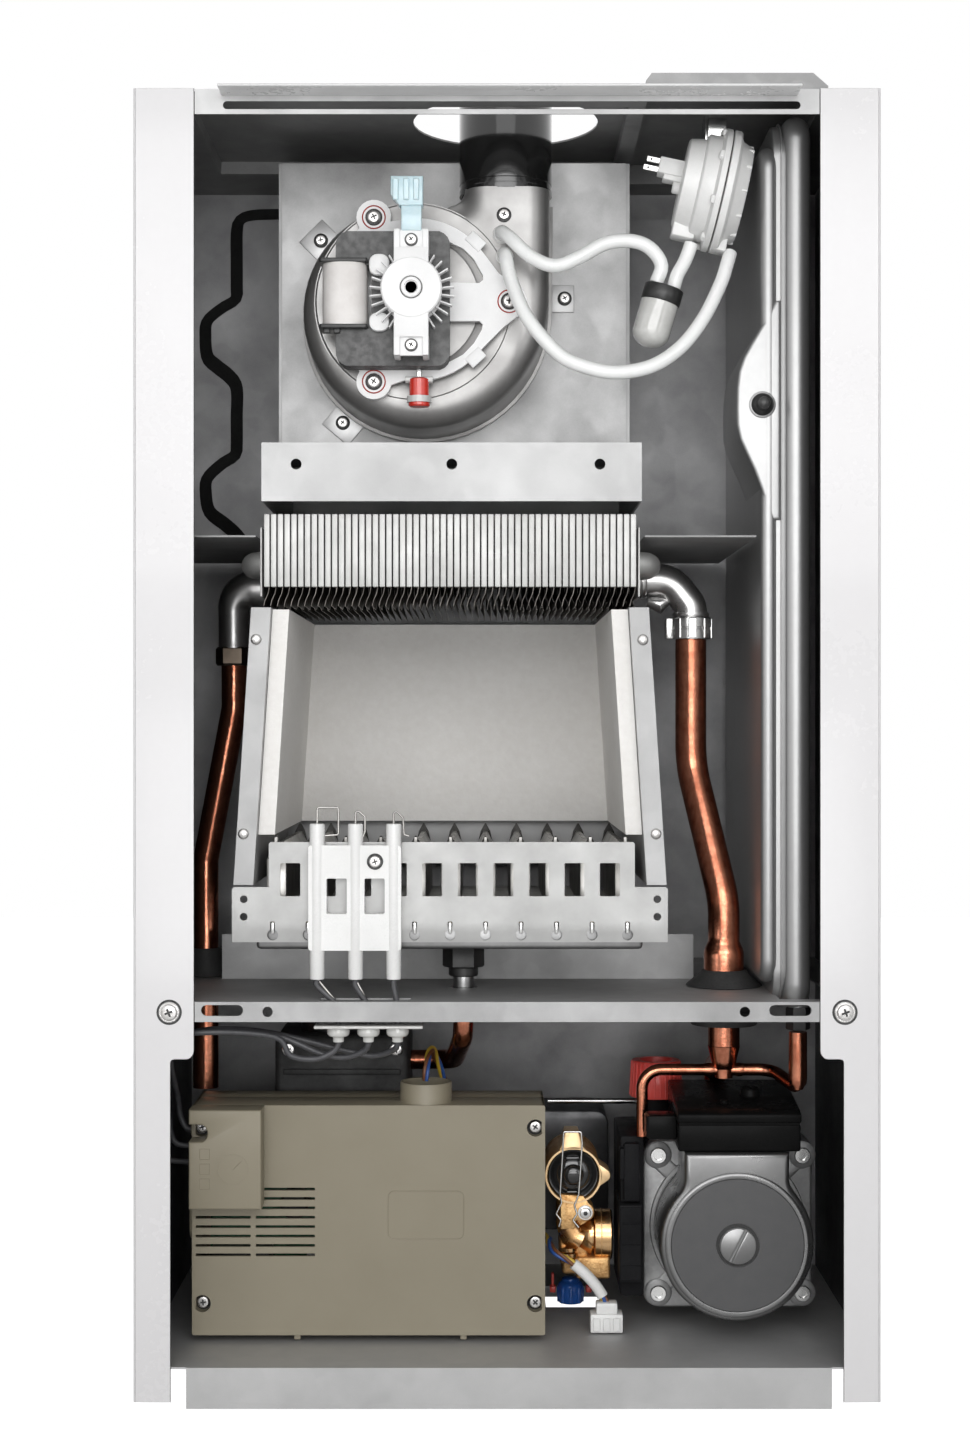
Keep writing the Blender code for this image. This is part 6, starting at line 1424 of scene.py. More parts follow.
# Gas line. Black union nut under the manifold, a short steel pipe down through the shelf,
# then the bent copper pipe to the gas valve behind the control box.
GAS_X, GAS_Y = -0.024, behind(0.07)
GAS_AT = placed(GAS_X, GAS_Y, 0)
gas_steel = drawn("gas_steel", 0.5, 0.36, 0.14, 0.26, 90, 1, 0.04)
gas_route = bent_route([(GAS_X, GAS_Y, -0.1136), (GAS_X, GAS_Y, -0.166), (-0.03, behind(0.13), -0.188),
    (-0.04, behind(0.14), -0.19), (-0.0559, behind(0.14), -0.19)], 0.014, 10)
gas = bmesh.new()
sweep(gas, gas_route, 0.00575, 28, 0)
sweep(gas, [(GAS_X, GAS_Y, -0.13), (GAS_X, GAS_Y, -0.149)], 0.0059, 28, 1)
lathe(gas, mm((0, -127), (10.8, -127), (11.8, -126.2), (11.8, -116), (11, -115), (9.8, -114.1),
    (0, -114.1)), GAS_AT, 6, 2)
lathe(gas, mm((0, -132), (7.8, -132), (8.4, -131.2), (8.4, -126.8), (0, -126.8)), GAS_AT, 28, 2)
new_piece("gas_line", gas, [pipe_copper, gas_steel, black_parts_and_recess_shade], "gas_pipe", angle=35)
# Painted shade: the cast body is coloured near-black rather than cast grey, for the deep shadow behind the
# control box.
valve_grey_darkened_as_shade = zinc_coated("valve_grey_darkened_as_shade", 0.085, 0.05, 0.63, 0.78, 400, 60, 0.2, 0.7)
valve = bmesh.new()
blocks(valve, (-135, -56.3, 113, 180, -280, -172, 4), segments=3)
for k in range(6):
    block(valve, (-0.13, -0.0613), depths(0.1112, 0.114), (-0.27 + 0.015 * k, -0.2664 + 0.015 * k), 0.001,
        2)
lathe(valve, mm((0, -174), (20, -174), (20, -162), (18.5, -160), (12, -158.5), (11, -156), (0, -156)),
    placed(-0.102, behind(0.145), 0), 36, 1)
# The screws' recesses take the black of slot 1 as painted shade.
for x in (-0.127, -0.064):
    screw(valve, x, -0.18, behind(0.113), 0.0038, 0.0022, material=2)
new_piece("gas_valve_body", valve, [valve_grey_darkened_as_shade, black_parts_and_recess_shade, zinc_screw], "gas_valve")


# Control box. Two olive mouldings screwed together at the corners, with slots to cool the
# board inside, a raised cover over the sockets and a collar for the cable.
olive = moulded("olive_moulding", (0.262, 0.232, 0.168), (0.248, 0.219, 0.157), 0.42, 0.52, 30, 1800, 0.05)
BOX_LEFT, BOX_RIGHT = -0.175, 0.0217
BOX_FOOT, BOX_TOP = -0.33, -0.202
BOX_FRONT, BOX_JOINT, BOX_BACK = 0.049, 0.079, 0.1
WALL = 0.002
CORNERS = ((-0.1696, -0.2146), (0.0163, -0.2146), (-0.1693, -0.3124), (0.0163, -0.3124))
slots = []
for i in range(8):
    z = -0.2486 - 0.00523 * i
    slots.append(rounded((-0.1395, -0.1065), (z - 0.0008, z + 0.0008), 0.0003, 1)[::-1])
    if i > 2:
        slots.append(rounded((-0.173, -0.1423), (z - 0.0008, z + 0.0008), 0.0003, 1)[::-1])
wells = [arc(at, 0.0048, 0, 345, 23)[::-1] for at in CORNERS]
cover = bmesh.new()
pierced(cover, rounded((BOX_LEFT, BOX_RIGHT), (BOX_FOOT, BOX_TOP), 0.0012, 3), slots + wells,
    behind(BOX_FRONT), WALL, 0.0004)


def box_walls(bm, y):
    """The four side walls of one half of the box."""
    for x, z in (((BOX_LEFT, BOX_LEFT + WALL), (BOX_FOOT, BOX_TOP)),
            ((BOX_RIGHT - WALL, BOX_RIGHT), (BOX_FOOT, BOX_TOP)),
            ((BOX_LEFT, BOX_RIGHT), (BOX_FOOT, BOX_FOOT + WALL)),
            ((BOX_LEFT, BOX_RIGHT), (BOX_TOP - WALL, BOX_TOP))):
        block(bm, x, y, z, 0.0006, 2)


box_walls(cover, depths(BOX_FRONT + 0.0006, BOX_JOINT))
for x, z in CORNERS:
    well = facing(x, z, behind(BOX_FRONT))
    lathe(cover, band(0.0048, 0.0054, -0.011, -0.001), well, 24)
    # Painted shade: the floor of each screw well is near-black.
    lathe(cover, band(0, 0.0052, -0.011, -0.007), well, 24, 1)
raised_outline = mm((-134.7, -256.4), (-134.7, -201.8), (-174.7, -201.8), (-174.7, -209.8),
    (-171.2, -209.8))
raised_outline += arc(CORNERS[0], 0.0052, 60, -60, 8) + mm((-171.2, -219.4), (-174.7, -219.4),
    (-174.7, -256.4))
slab(cover, raised_outline, 'Y', behind(0.032), behind(0.05), 0.0012, 3)
line, shift = 0.0003, behind(0.0321)
for z in (-0.226, -0.2342, -0.2424):
    for x0, x1, z0, z1 in ((-0.1688, -0.163, z - 0.003, z - 0.0027),
            (-0.1688, -0.163, z + 0.0027, z + 0.003), (-0.1688, -0.1685, z - 0.003, z + 0.003),
            (-0.1633, -0.163, z - 0.003, z + 0.003)):
        block(cover, (x0, x1), (shift - line, shift), (z0, z1), 0.0001, 1)
ring_at = facing(-0.1503, -0.2345, shift)
lathe(cover, band(0.0082, 0.0086, 0, 0.0003), ring_at, 48)
sweep(cover, [ring_at @ Vector(p) for p in ((0, 0, 0), (0.0045, 0.0045, 0))], 0.0003, 8)
LABEL = ((-0.0657, -0.0236), (-0.2764, -0.2498))
frame_out = rounded(LABEL[0], LABEL[1], 0.0032, 4)
sweep(cover, [(x, behind(BOX_FRONT) - 0.00002, z) for x, z in frame_out + frame_out[:1]], 0.00028, 6)
collar_at = placed(-0.045, behind(0.065), 0)
lathe(cover, mm((13.1, -201.6), (14.5, -203), (15.2, -202.4), (14.7, -201.4), (14.5, -191.5), (14.2, -191),
    (13.4, -191), (13.1, -191.5)), collar_at, 48)
# Painted shade: a near-black disc closes the bore of the cable collar.
lathe(cover, band(0, 0.0133, -0.2021, -0.2012), collar_at, 32, 1)
for x in (-0.1165, -0.0238):
    block(cover, (x - 0.0018, x + 0.0018), depths(0.051, 0.056), (BOX_FOOT - 0.003, BOX_FOOT + 0.001),
        0.0004, 1)
for z in socket_levels:
    at = placed(0, SOCKET_Y, z) @ on_end
    lathe(cover, mm((1.8, -177.4), (3.4, -177.4), (3.8, -177), (3.8, -174.8), (1.8, -174.8)), at, 24)
slab(cover, rounded(depths(0.054, 0.076), (-0.279, -0.245), 0.008, 6), 'X', -0.1772, -0.1745, 0.0012, 3)
new_piece("control_cover", cover, [olive, painted_shade_black], "control_box_cover", angle=30)
corner_screws = bmesh.new()
for k, (x, z) in enumerate(CORNERS):
    screw(corner_screws, x, z, behind(BOX_FRONT + 0.0052), 0.0034, 0.0024, turn=15 + 40 * k)
new_piece("control_screws", corner_screws, [zinc_screw, recess_shade_and_washer])
base = bmesh.new()
box_walls(base, depths(BOX_JOINT + 0.0003, BOX_BACK))
block(base, (BOX_LEFT, BOX_RIGHT), depths(BOX_BACK - WALL, BOX_BACK), (BOX_FOOT, BOX_TOP), 0.0006, 2)
for k in range(5):
    x = BOX_LEFT + 0.02 + 0.039 * k
    block(base, (x, x + 0.0014), depths(BOX_BACK - WALL, BOX_BACK + 0.001),
        (BOX_FOOT + 0.01, BOX_TOP - 0.01), 0.0004, 1)
new_piece("control_base", base, [olive], "control_box_base", angle=30)


# Circuit board. Green laminate behind the slots, with its relays, transformer and
# capacitors soldered on the side that faces the cover.
board_green = moulded("board_green", (0.03, 0.16, 0.07), (0.015, 0.09, 0.04), 0.28, 0.42, 240, 2200, 0.08)
board = bmesh.new()
blocks(board, (-169, 15.7, 85, 86.6, -324, -208, 0.3), segments=1)
for x, z, wide, tall, deep, kind in ((-0.15, -0.3, 0.034, 0.028, 0.022, 1),
        (-0.105, -0.3, 0.016, 0.02, 0.014, 2), (-0.085, -0.3, 0.016, 0.02, 0.014, 2),
        (-0.065, -0.3, 0.016, 0.02, 0.014, 2), (-0.03, -0.3, 0.03, 0.012, 0.004, 1),
        (-0.02, -0.225, 0.05, 0.01, 0.01, 2), (-0.09, -0.225, 0.05, 0.01, 0.01, 2)):
    block(board, (x - wide / 2, x + wide / 2), depths(0.085 - deep, 0.0852), (z - tall / 2, z + tall / 2),
        0.0008, 2, material=kind)
for x, z, radius in ((-0.04, -0.26, 0.006), (-0.06, -0.26, 0.006), (-0.12, -0.262, 0.008),
        (-0.002, -0.27, 0.005), (0.002, -0.25, 0.005)):
    lathe(board, [(0, 0), (radius, 0), (radius, 0.015), (radius - 0.0008, 0.016), (0, 0.016)],
        facing(x, z, behind(0.085)), 24, 1)
new_piece("control_board", board, [board_green, black_parts_and_recess_shade, white_nylon],
    "circuit_board", angle=30)


# Circulation pump. Drawn can with a dark label plate and the vent screw in its middle, a
# neck up to the black terminal box, and behind it the housing held by four bolts.
can_steel = drawn("can_steel", 0.24, 0.18, 0.24, 0.36, 50, 1, 0.05, 0.9)
label_grey = moulded("label_grey", (0.078, 0.078, 0.08), (0.068, 0.068, 0.07), 0.35, 0.45, 90, 1500, 0.03)
PUMP_X, PUMP_Z = 0.128, -0.278
CAN_RADIUS, NECK_HALF, NECK_TOP = 0.0426, 0.029, -0.2273
FILLET = 0.011
reach = math.sqrt((CAN_RADIUS + FILLET) ** 2 - (NECK_HALF + FILLET) ** 2)
touch = math.degrees(math.atan2(reach, NECK_HALF + FILLET))
outline = arc((PUMP_X, PUMP_Z), CAN_RADIUS, 180 - touch, 360 + touch, 60)
outline += arc((PUMP_X + NECK_HALF + FILLET, PUMP_Z + reach), FILLET, 180 + touch, 180, 6)[1:]
outline += [(PUMP_X + NECK_HALF, NECK_TOP), (PUMP_X - NECK_HALF, NECK_TOP)]
outline += arc((PUMP_X - NECK_HALF - FILLET, PUMP_Z + reach), FILLET, 0, -touch, 6)[:-1]
can = bmesh.new()
slab(can, outline, 'Y', behind(0.0415), behind(0.087), 0.003, 4)
lathe(can, band(0, CAN_RADIUS + 0.0002, -0.043, -0.0405), facing(PUMP_X, PUMP_Z, behind(0.047)), 64)
lathe(can, mm((12, 0), (36.6, 0), (37, 0.4), (37, 0.9), (38.5, 1.1), (39.5, 0.9), (40.2, 0.2), (40.2, -2),
    (12, -2))[::-1], facing(PUMP_X, PUMP_Z, behind(0.0411)), 72)
lathe(can, mm((12.1, 0), (36.2, 0), (36.6, 0.3), (36.6, 0.7), (12.1, 0.7)),
    facing(PUMP_X, PUMP_Z, behind(0.041)), 72, 1)
lathe(can, band(0, 0.0119, 0, 0.0006), facing(PUMP_X, PUMP_Z, behind(0.0416)), 36, 2)
new_piece("pump_can", can, [can_steel, label_grey, black_parts_and_recess_shade], "pump_motor", angle=40)
dress("pump_rotor", bright_steel)
vent_steel = drawn("vent_steel", 0.27, 0.22, 0.26, 0.36, 60, 1, 0.04)
vent = bmesh.new()
slot_angle, half_slot, vent_radius = math.radians(63), 0.0007, 0.0098
side = math.degrees(math.asin(half_slot / vent_radius))
vent_at = facing(PUMP_X, PUMP_Z, behind(0.0375)) @ Matrix.Rotation(slot_angle, 4, 'Z')
lathe(vent, band(0, 0.01, -0.0075, -0.0016), vent_at, 48)
for first in (side, 180 + side):
    half_disc = arc((0, 0), vent_radius, first, first + 180 - 2 * side, 24)
    slab(vent, half_disc, 'Z', -0.0017, 0, 0.0003, 2, vent_at)
new_piece("vent_screw_head", vent, [vent_steel], "pump_vent_screw", body="vent_screw",
    angle=40)
terminal_black = moulded("terminal_black", 0.008, 0.005, 0.24, 0.34, 60, 1600, 0.05,
    Specular_IOR_Level=0.05)
TERMINAL_X = (0.095, 0.164)
terminal = bmesh.new()
lower = [(behind(0.0445), -0.227), (behind(0.1095), -0.227), (behind(0.1095), -0.2118),
    (behind(0.0445), -0.2118)]
slab(terminal, lower, 'X', TERMINAL_X[0] + 0.0004, TERMINAL_X[1] - 0.0004, 0.0014, 3, rims=False)
lid = [(behind(0.044), -0.2112), (behind(0.11), -0.2112), (behind(0.11), -0.197), (behind(0.05), -0.2042),
    (behind(0.044), -0.2062)]
slab(terminal, lid, 'X', TERMINAL_X[0], TERMINAL_X[1], 0.0012, 3, rims=False)
block(terminal, (TERMINAL_X[0] + 0.001, TERMINAL_X[1] - 0.001), depths(0.0452, 0.109), (-0.2125, -0.2105))
blocks(terminal, (79, 95.2, 52, 70, -221.8, -208.5, 1))
blocks(terminal, (78.3, 79.4, 53, 69, -220.8, -209.5, 0.4), segments=1)
lathe(terminal, mm((0, -4), (2.4, -4), (2.4, 0.8), (1.8, 1.2), (0, 1.2)),
    placed(0.123, behind(0.064), -0.2025), 20)
new_piece("terminal_box", terminal, [terminal_black], "pump_terminal_box", angle=40)
LID_SLOPE = (-0.197 + 0.205) / (0.11 - 0.044)
knob_at = (placed(0.139, behind(0.076), -0.205 + LID_SLOPE * (0.076 - 0.044) + 0.0003)
    @ Matrix.Rotation(math.atan(LID_SLOPE), 4, 'X'))
speed = bmesh.new()
lathe(speed, mm((0, 0), (6, 0), (6, 0.6), (5.6, 1), (5.3, 3.8), (4.8, 4.4), (0, 4.4)), knob_at, 32)
block(speed, (-0.0008, 0.0008), (-0.0046, 0.0046), (0.004, 0.0049), 0.0003, 2, knob_at)
new_piece("speed_knob_cap", speed, [terminal_black], "pump_speed_knob", body="speed_knob",
    angle=40)


# Pump housing and relief block. Cast flange with four hexagon-socket bolts, its volute, and
# the black composite group on its left that carries the relief valve.
cast_bright = zinc_coated("cast_bright", 0.4, 0.29, 0.5, 0.68, 420, 90, 0.22, 0.9)
composite = moulded("composite_black", (0.014, 0.014, 0.015), (0.009, 0.009, 0.01), 0.38, 0.52, 60, 900,
    0.08, Specular_IOR_Level=0.05)
housing = bmesh.new()
slab(housing, rounded((0.079, 0.1765), (-0.3255, -0.229), 0.0095, 6), 'Y', behind(0.0915), behind(0.1),
    0.0016, 3)
lathe(housing, mm((0, -55), (42, -55), (46, -51), (46, -3), (44.5, -0.6), (0, -0.6)),
    facing(PUMP_X, PUMP_Z, behind(0.09)), 64)
for x, z in ((0.0878, -0.2376), (0.1707, -0.2376), (0.0878, -0.3168), (0.1707, -0.3168)):
    lathe(housing, mm((0, -30), (8, -30), (8, -1.2), (7, -0.4), (0, -0.4)), facing(x, z, behind(0.09)), 32)
    lathe(housing, mm((0, 0), (4.6, 0), (4.6, 2.8), (4.2, 3.2), (2.6, 3.2), (2.4, 1.6), (0, 1.6)),
        facing(x, z, behind(0.0905)), 24, 1)
for angle in (43, 137, 223, 317):
    turn = facing(PUMP_X, PUMP_Z, behind(0.0905)) @ turned(angle, 'Z')
    block(housing, (0.038, 0.056), (-0.0058, 0.0058), (-0.025, -0.0004), 0.0024, 3, turn)
new_piece("pump_housing", housing, [cast_bright, bright_steel], angle=40)
group = bmesh.new()
blocks(group, (64, 77.2, 66.5, 110, -305, -261.4, 1))
blocks(group, (64.6, 76.6, 66, 67, -304, -262.4, 0.4), segments=1)
blocks(group, (65.2, 78.6, 76, 140, -315, -224, 1.2), (66.8, 76, 69, 74, -260, -227, 1.2),
    (64.5, 70, 70, 80, -248, -230, 1.2), (80, 102, 101, 142, -300, -230, 1.6))
for k in range(3):
    block(group, (0.0655, 0.0765), depths(0.0655, 0.0668), (-0.272 - 0.012 * k, -0.2712 - 0.012 * k),
        0.0002, 1)
RELIEF_AT = placed(0.0896, -0.1, 0)
lathe(group, mm((0, -240), (11.5, -240), (11.5, -233), (10.5, -232.5), (10.5, -229), (11.5, -228.5),
    (11.5, -219), (9, -218), (9, -210.4), (0, -210.4)), RELIEF_AT, 36)
lathe(group, mm((0, -250), (11, -250), (11, -218), (10, -217.2), (11, -216.4), (11, -210.5), (0, -210.5)),
    placed(0.124, behind(0.127), 0), 36)
new_piece("relief_group", group, [composite], "hydraulic_block", angle=40)
red_cap = moulded("red_cap", (0.95, 0.12, 0.1), (0.85, 0.085, 0.07), 0.26, 0.38, 40, 1200, 0.06)
cap = bmesh.new()
lathe(cap, mm((0, -210), (15.2, -210), (15.6, -209.4), (14.3, -189), (13.8, -188.5), (10, -188.5),
    (9.2, -192.5), (0, -192.5)), RELIEF_AT, 60)
for k in range(30):
    turn = RELIEF_AT @ spoke(k, 30)
    sweep(cap, [turn @ Vector((0.0153, 0, -0.209)), turn @ Vector((0.0143, 0, -0.1893))], 0.00055, 6)
new_piece("relief_cap", cap, [red_cap], "relief_knob", body="relief_knob", angle=45)


# Manifold. Copper tee brazed under the flow pipe: its trunk turns back and down into the
# pump, the thin left branch feeds the relief group, the right one rises to the vessel.
PORT_X, PORT_Y = 0.1615, behind(0.042)
PORT_AT = placed(PORT_X, PORT_Y, 0)
CROSS = -0.186
manifold = bmesh.new()
trunk = bent_route([(FLOW_X, FLOW_Y, -0.1723), (FLOW_X, FLOW_Y, -0.186), (FLOW_X, behind(0.127), -0.19),
    (FLOW_X, behind(0.127), -0.2097)], 0.012, 12)
girth = []
for point in trunk:
    narrowing = min(max((-0.1735 - point.z) / 0.011, 0), 1)
    girth.append(0.0092 - 0.003 * narrowing)
sweep(manifold, trunk, girth, 32)
sweep(manifold, [(FLOW_X, FLOW_Y, -0.18), (FLOW_X, FLOW_Y, -0.1905)], (0.0056, 0.005), 28)
right = bent_route([(FLOW_X, FLOW_Y, CROSS), (PORT_X - 0.01, FLOW_Y, CROSS), (PORT_X, PORT_Y, -0.1915),
    (PORT_X, PORT_Y, -0.18)], 0.011, 10)
sweep(manifold, right, 0.0035, 24)
riser = mm((3.4, -190.5), (4.8, -188.5), (5.1, -186), (5, -160))
lathe(manifold, [(0, -0.1925), (0.0028, -0.1918)] + riser + [(0, -0.16)], PORT_AT, 28)
left = bent_route([(FLOW_X, FLOW_Y, CROSS), (0.0775, FLOW_Y, CROSS), (0.0775, FLOW_Y, -0.2237)], 0.011, 12)
sweep(manifold, left, 0.0033, 24)
for x in (FLOW_X - 0.0085, FLOW_X + 0.0085):
    sweep(manifold, [(x - 0.003, FLOW_Y, CROSS), (x, FLOW_Y, CROSS), (x + 0.003, FLOW_Y, CROSS)],
        (0.0034, 0.004, 0.0034), 24)
new_piece("manifold_copper", manifold, [pipe_copper], "manifold_pipe", angle=50)


# Expansion vessel. Two pressed steel shells welded at the rim and stood on edge, painted
# silver; a bulge on the left carries the gas valve, and a nutted stub leaves below.
silver = moulded("silver_enamel", 0.36, 0.33, 0.36, 0.4, 9, 300, 0.012, Metallic=0.8)
DEEP, REAR = behind(0.025), behind(0.205)
vessel = bmesh.new()
slab(vessel, rounded((DEEP, REAR), (-0.132, 0.328), 0.014, 8), 'X', 0.139, 0.1478, 0.0042, 6)
slab(vessel, rounded((DEEP + 0.003, REAR), (-0.144, 0.342), 0.02, 8), 'X', 0.146, 0.154, 0.0012, 2)
slab(vessel, rounded((DEEP + 0.0016, REAR), (-0.145, 0.3435), 0.02, 8), 'X', 0.15, 0.1508, 0.0003, 1)
slab(vessel, rounded((DEEP, REAR), (-0.146, 0.345), 0.014, 8), 'X', 0.1512, 0.1668, 0.0076, 9)
hump = mm((147, 242), (140, 229), (134, 219), (129.5, 211), (126.8, 203), (125.8, 194), (125.6, 183),
    (125.8, 174), (127.4, 166), (131, 158), (135.2, 149), (139, 139), (142, 129), (145, 122))
slab(vessel, [(0.15, 0.242)] + hump + [(0.15, 0.122)], 'Y', behind(0.0252), behind(0.095), 0.0036, 4)
VALVE_AT = facing(0.1397, 0.1848, behind(0.0252))
lathe(vessel, mm((0, -1), (7.3, -1), (7.3, 0.3), (6.6, 0.8), (0, 0.8)), VALVE_AT, 36)
lathe(vessel, mm((0, 0), (6.1, 0), (6.2, 1.2), (5.8, 2.4), (4.2, 3.4), (3.6, 4), (3.4, 8), (3, 9.4),
    (1.8, 10.2), (0, 10.4)), VALVE_AT, 36, 1)
lathe(vessel, mm((0, -158.7), (6.2, -158.7), (6.8, -158), (6.8, -147), (6, -146), (6, -138), (0, -138)),
    PORT_AT, 6, 1)
lathe(vessel, mm((5.8, -146.2), (6.6, -145.8), (6.6, -144.8), (5.8, -144.4)), PORT_AT, 28)
new_piece("vessel_shells", vessel, [silver, black_parts_and_recess_shade], "expansion_vessel", angle=40)


# Diverter valve. Sand-cast brass body with a machined rim and sockets, the black cartridge
# pushed into its port and held by a bent wire clip.
sand, wants, gives, place = new_group("sand_casting", (0.7, 0.45, 0.2), (0.4, 0.2, 0.08), Grain_Scale=700,
    Smoothest=0.3, Roughest=0.5)
pits = noise(sand, place, wants["Grain Scale"], 4, 0.6)
tarnish = noise(sand, place, 90, 5, 0.6)
close_group(sand, wants, gives, spread(sand, weigh(sand, pits, 0.45, tarnish, 0.55), 0.38, 0.62), pits)


def brass(name, colour, shade, grain, smoothest, roughest, bump, depth, metallic):
    return finish_from(sand, name, {"Colour": colour, "Shade": shade, "Grain Scale": grain,
        "Smoothest": smoothest, "Roughest": roughest}, bump=bump, depth=depth, Metallic=metallic)


cast_brass = brass("cast_brass", (0.72, 0.47, 0.22), (0.45, 0.23, 0.08), 900, 0.34, 0.55, 0.45, 0.0009, 0.9)
turned_brass = brass("turned_brass", (0.8, 0.52, 0.27), (0.62, 0.36, 0.16), 60, 0.14, 0.3, 0.03, 0.0003, 1)
tan_brass = brass("machined_rim", (0.78, 0.56, 0.32), (0.68, 0.46, 0.24), 300, 0.3, 0.42, 0.05, 0.0003, 0.6)
VALVE_X, VALVE_Z = 0.0383, -0.2453
PORT_FRONT = behind(0.07)
port = facing(VALVE_X, VALVE_Z, PORT_FRONT)
diverter = bmesh.new()
lathe(diverter, mm((14.8, -20), (14.8, -1.2), (15.2, -0.4), (15.5, -0.2), (16, -0.6), (16.1, -45), (0, -45),
    (0, -20))[::-1], port, 56)
lathe(diverter, mm((14.9, -0.8), (14.9, 0), (16, 0), (16, -0.8)), port, 56, 2)
lug = mm((30, -231), (31.2, -229), (33, -222.5), (33.8, -220.6), (41.2, -220.6), (42, -222.5), (44, -229),
    (45.5, -231))
slab(diverter, lug[::-1], 'Y', PORT_FRONT, PORT_FRONT + 0.02, 0.001, 2, material=2)
ear = [(0.053, -0.239)] + arc((0.0555, -0.2453), 0.0038, 62, -62, 8) + [(0.053, -0.2516)]
slab(diverter, ear[::-1], 'Y', PORT_FRONT, PORT_FRONT + 0.02, 0.0008, 2, material=2)
plate = (mm((31, -256), (31, -276), (39.2, -276), (40, -271)) + arc((0.045, -0.2662), 0.0052, -90, 60, 8)
    + [(0.044, -0.257)])
slab(diverter, plate, 'Y', PORT_FRONT + 0.0006, PORT_FRONT + 0.018, 0.001, 2)
sweep(diverter, [(0.0352, behind(0.09), -0.262), (0.0354, behind(0.09), -0.276),
    (0.038, behind(0.091), -0.283), (0.042, behind(0.092), -0.285)], (0.0062, 0.0066, 0.0078, 0.009), 32, 1)
lie = placed(0, behind(0.095), -0.284) @ on_end
lathe(diverter, mm((0, 38), (7, 38), (8.2, 40), (11.2, 47), (11.8, 48.8), (11.8, 49.5), (10.2, 49.6),
    (10.2, 50.4), (13.6, 50.8), (14.5, 51.4), (14.5, 60.4), (13.8, 61.2), (0, 61.2)), lie, 56, 1)
lathe(diverter, mm((13.8, 54.5), (14.55, 54.8), (14.55, 55.2), (13.8, 55.5)), lie, 56)
blocks(diverter, (40.5, 60, 84, 106, -307.5, -295, 1.6), (31, 47.5, 88, 110, -300, -256, 2),
    (33, 46.4, 105, 158, -310, -270, 2), segments=3)
for level, radius in ((-0.2905, 0.005), (-0.2935, 0.0056), (-0.2965, 0.005)):
    lathe(diverter, [(0, level - 0.0013), (radius, level - 0.001), (radius, level + 0.001),
        (0, level + 0.0013)], placed(0.036, behind(0.086), 0), 28, 1)
new_piece("diverter_body", diverter, [cast_brass, turned_brass, tan_brass], "brass_valve_body",
    angle=40)
cartridge = bmesh.new()
lathe(cartridge, mm((0, -19.6), (14.3, -19.6), (14.3, -4), (13.8, -3), (12.8, -3.4), (11, -6), (10.4, -6.2),
    (9.8, -4), (9, -3), (6, -2.2), (5.6, -0.6), (4, 0.8), (2.6, 1.2), (0, 1.3)), port, 48)
block(cartridge, (-0.0042, 0.0042), (0.0085, 0.01), (-0.006, -0.0018), 0.0005, 2, port)
block(cartridge, (-0.0038, 0.0038), (-0.0105, -0.0092), (-0.006, -0.0018), 0.0005, 2, port)
new_piece("diverter_cartridge", cartridge, [gloss_black], "valve_cartridge", angle=40)
clip_wire = bmesh.new()
CLIP_Y = PORT_FRONT - 0.0008
bend = mm((30, -274), (31.2, -270.5), (28.4, -266.8), (31.6, -260.5), (30.7, -256), (31.2, -247),
    (32.1, -233), (32.7, -220.4), (42.6, -220.4), (43.2, -227), (42.4, -240), (41.2, -256), (38.8, -262),
    (40.3, -266.8), (38, -270.5), (41.2, -274.5))
sweep(clip_wire, bent_route([(x, CLIP_Y, z) for x, z in bend], 0.0008, 4), 0.0005, 10)
new_piece("port_clip", clip_wire, [bright_steel], angle=60)
bolt = bmesh.new()
lathe(bolt, band(0, 0.0042, 0, 0.0006), facing(0.045, -0.2662, PORT_FRONT), 28)
screw(bolt, 0.045, -0.2662, PORT_FRONT - 0.0005, 0.0032, 0.0028, "hex", turn=10)
new_piece("port_bolt", bolt, [bright_steel, recess_shade_and_washer])


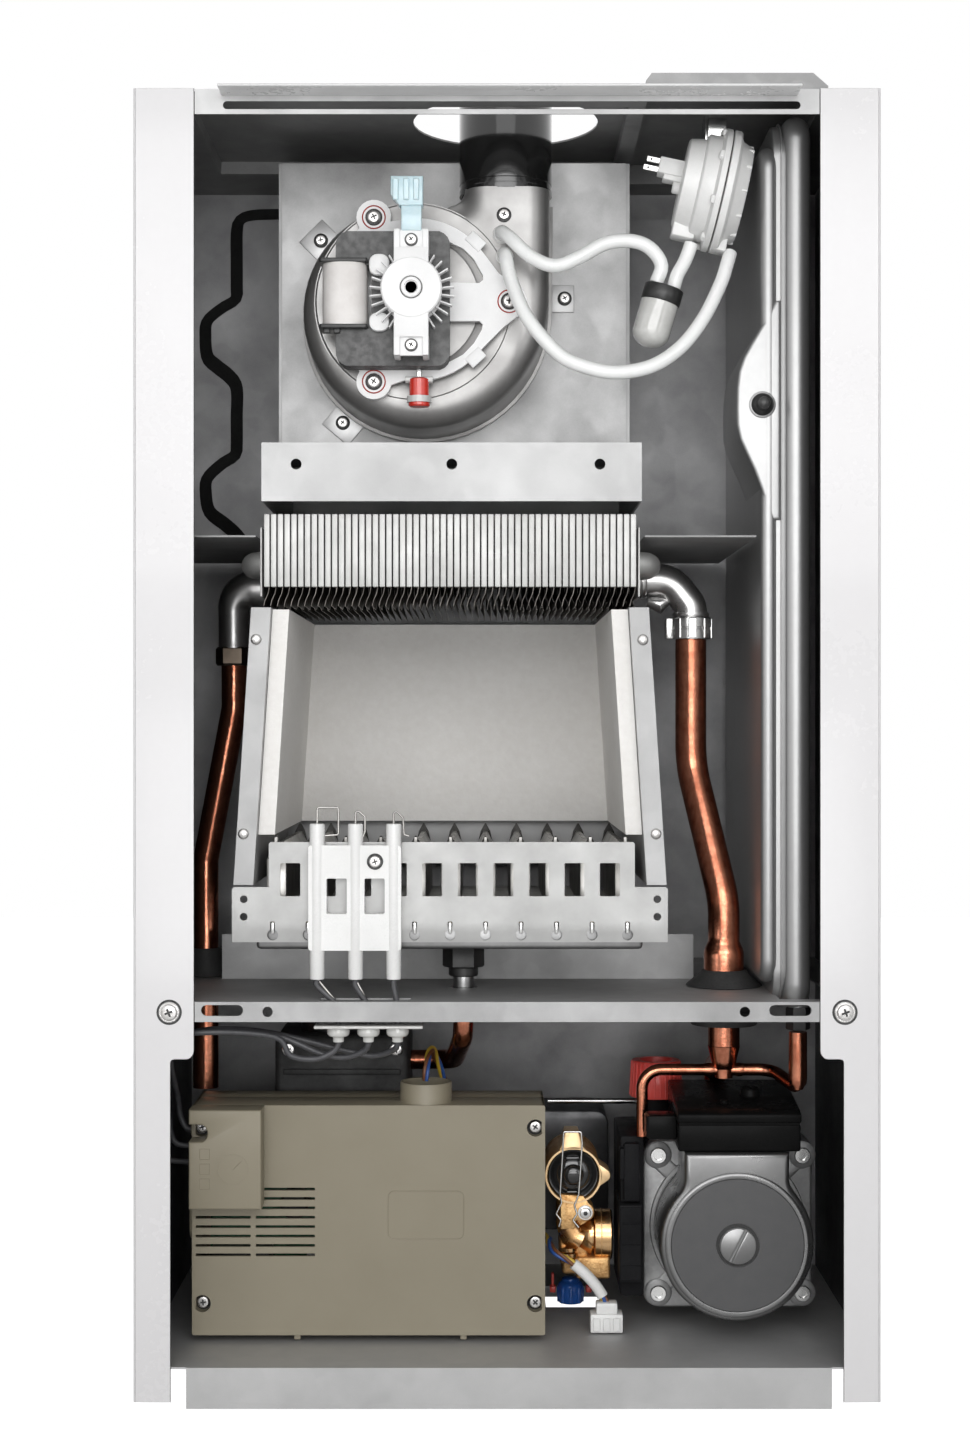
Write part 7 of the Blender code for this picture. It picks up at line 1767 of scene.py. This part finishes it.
# Plate heat exchanger. Stamped stainless plates brazed into a pack that stands behind
# the diverter valve; a bright pipe crosses the back wall above it.
plates = bmesh.new()
for k in range(12):
    y = behind(0.175) + 0.05 * k / 12
    slab(plates, rounded((-0.045, 0.064), (-0.3, -0.227), 0.008, 5), 'Y', y + 0.0004, y + 0.0038, 0.0012, 2)
blocks(plates, (-43, 62, 177, 223, -298, -229, 6), segments=3)
# Painted shade: the plates are coloured far darker than stainless steel, for the shade they stand in behind
# the diverter valve.
pack_steel_darkened_as_shade = drawn("pack_steel_darkened_as_shade", (0.15, 0.15, 0.155), (0.09, 0.09, 0.092), 0.34, 0.48, 90, 1, 0.04)
new_piece("plate_pack", plates, [pack_steel_darkened_as_shade], "plate_exchanger", angle=40)
crossbar = bmesh.new()
sweep(crossbar, [(0.026, behind(0.15), -0.2165), (0.08, behind(0.15), -0.2165)], 0.0017, 20)
new_piece("back_pipe", crossbar, [gas_steel], angle=50)


# Filling tap. Blue lobed knob that stands in the opening of the floor, with the small red
# tabs of its valve on both sides.
tap_blue = moulded("tap_blue", (0.03, 0.15, 0.6), (0.02, 0.11, 0.48), 0.24, 0.36, 40, 1200, 0.06)
TAP_AT = placed(0.0397, -0.08, 0)
tap = bmesh.new()
knob_outline = mm((0, -337.5), (7, -337.5), (7.5, -336.8), (7.5, -327.5), (7, -326), (5.8, -325),
    (5.2, -324.6), (5, -323.2), (4, -322.6), (0, -322.5))
lathe(tap, knob_outline, TAP_AT, 48)
for k in range(8):
    turn = TAP_AT @ spoke(k, 8)
    sweep(tap, [turn @ Vector((0.0064, 0, -0.3372)), turn @ Vector((0.0066, 0, -0.329)),
        turn @ Vector((0.0058, 0, -0.3262))], (0.0016, 0.0016, 0.0012), 14)
new_piece("tap_knob_cap", tap, [tap_blue], "fill_tap_knob", body="tap_knob", angle=50)
tabs = bmesh.new()
for x in (0.0272, 0.0488):
    block(tabs, (x, x + 0.0036), (-0.083, -0.077), (-0.3315, -0.3275), 0.0008, 2)
    block(tabs, (x + 0.001, x + 0.0026), (-0.082, -0.078), (-0.3275, -0.32), 0.0004, 1)
new_piece("tap_tabs", tabs, [red_cap], angle=40)
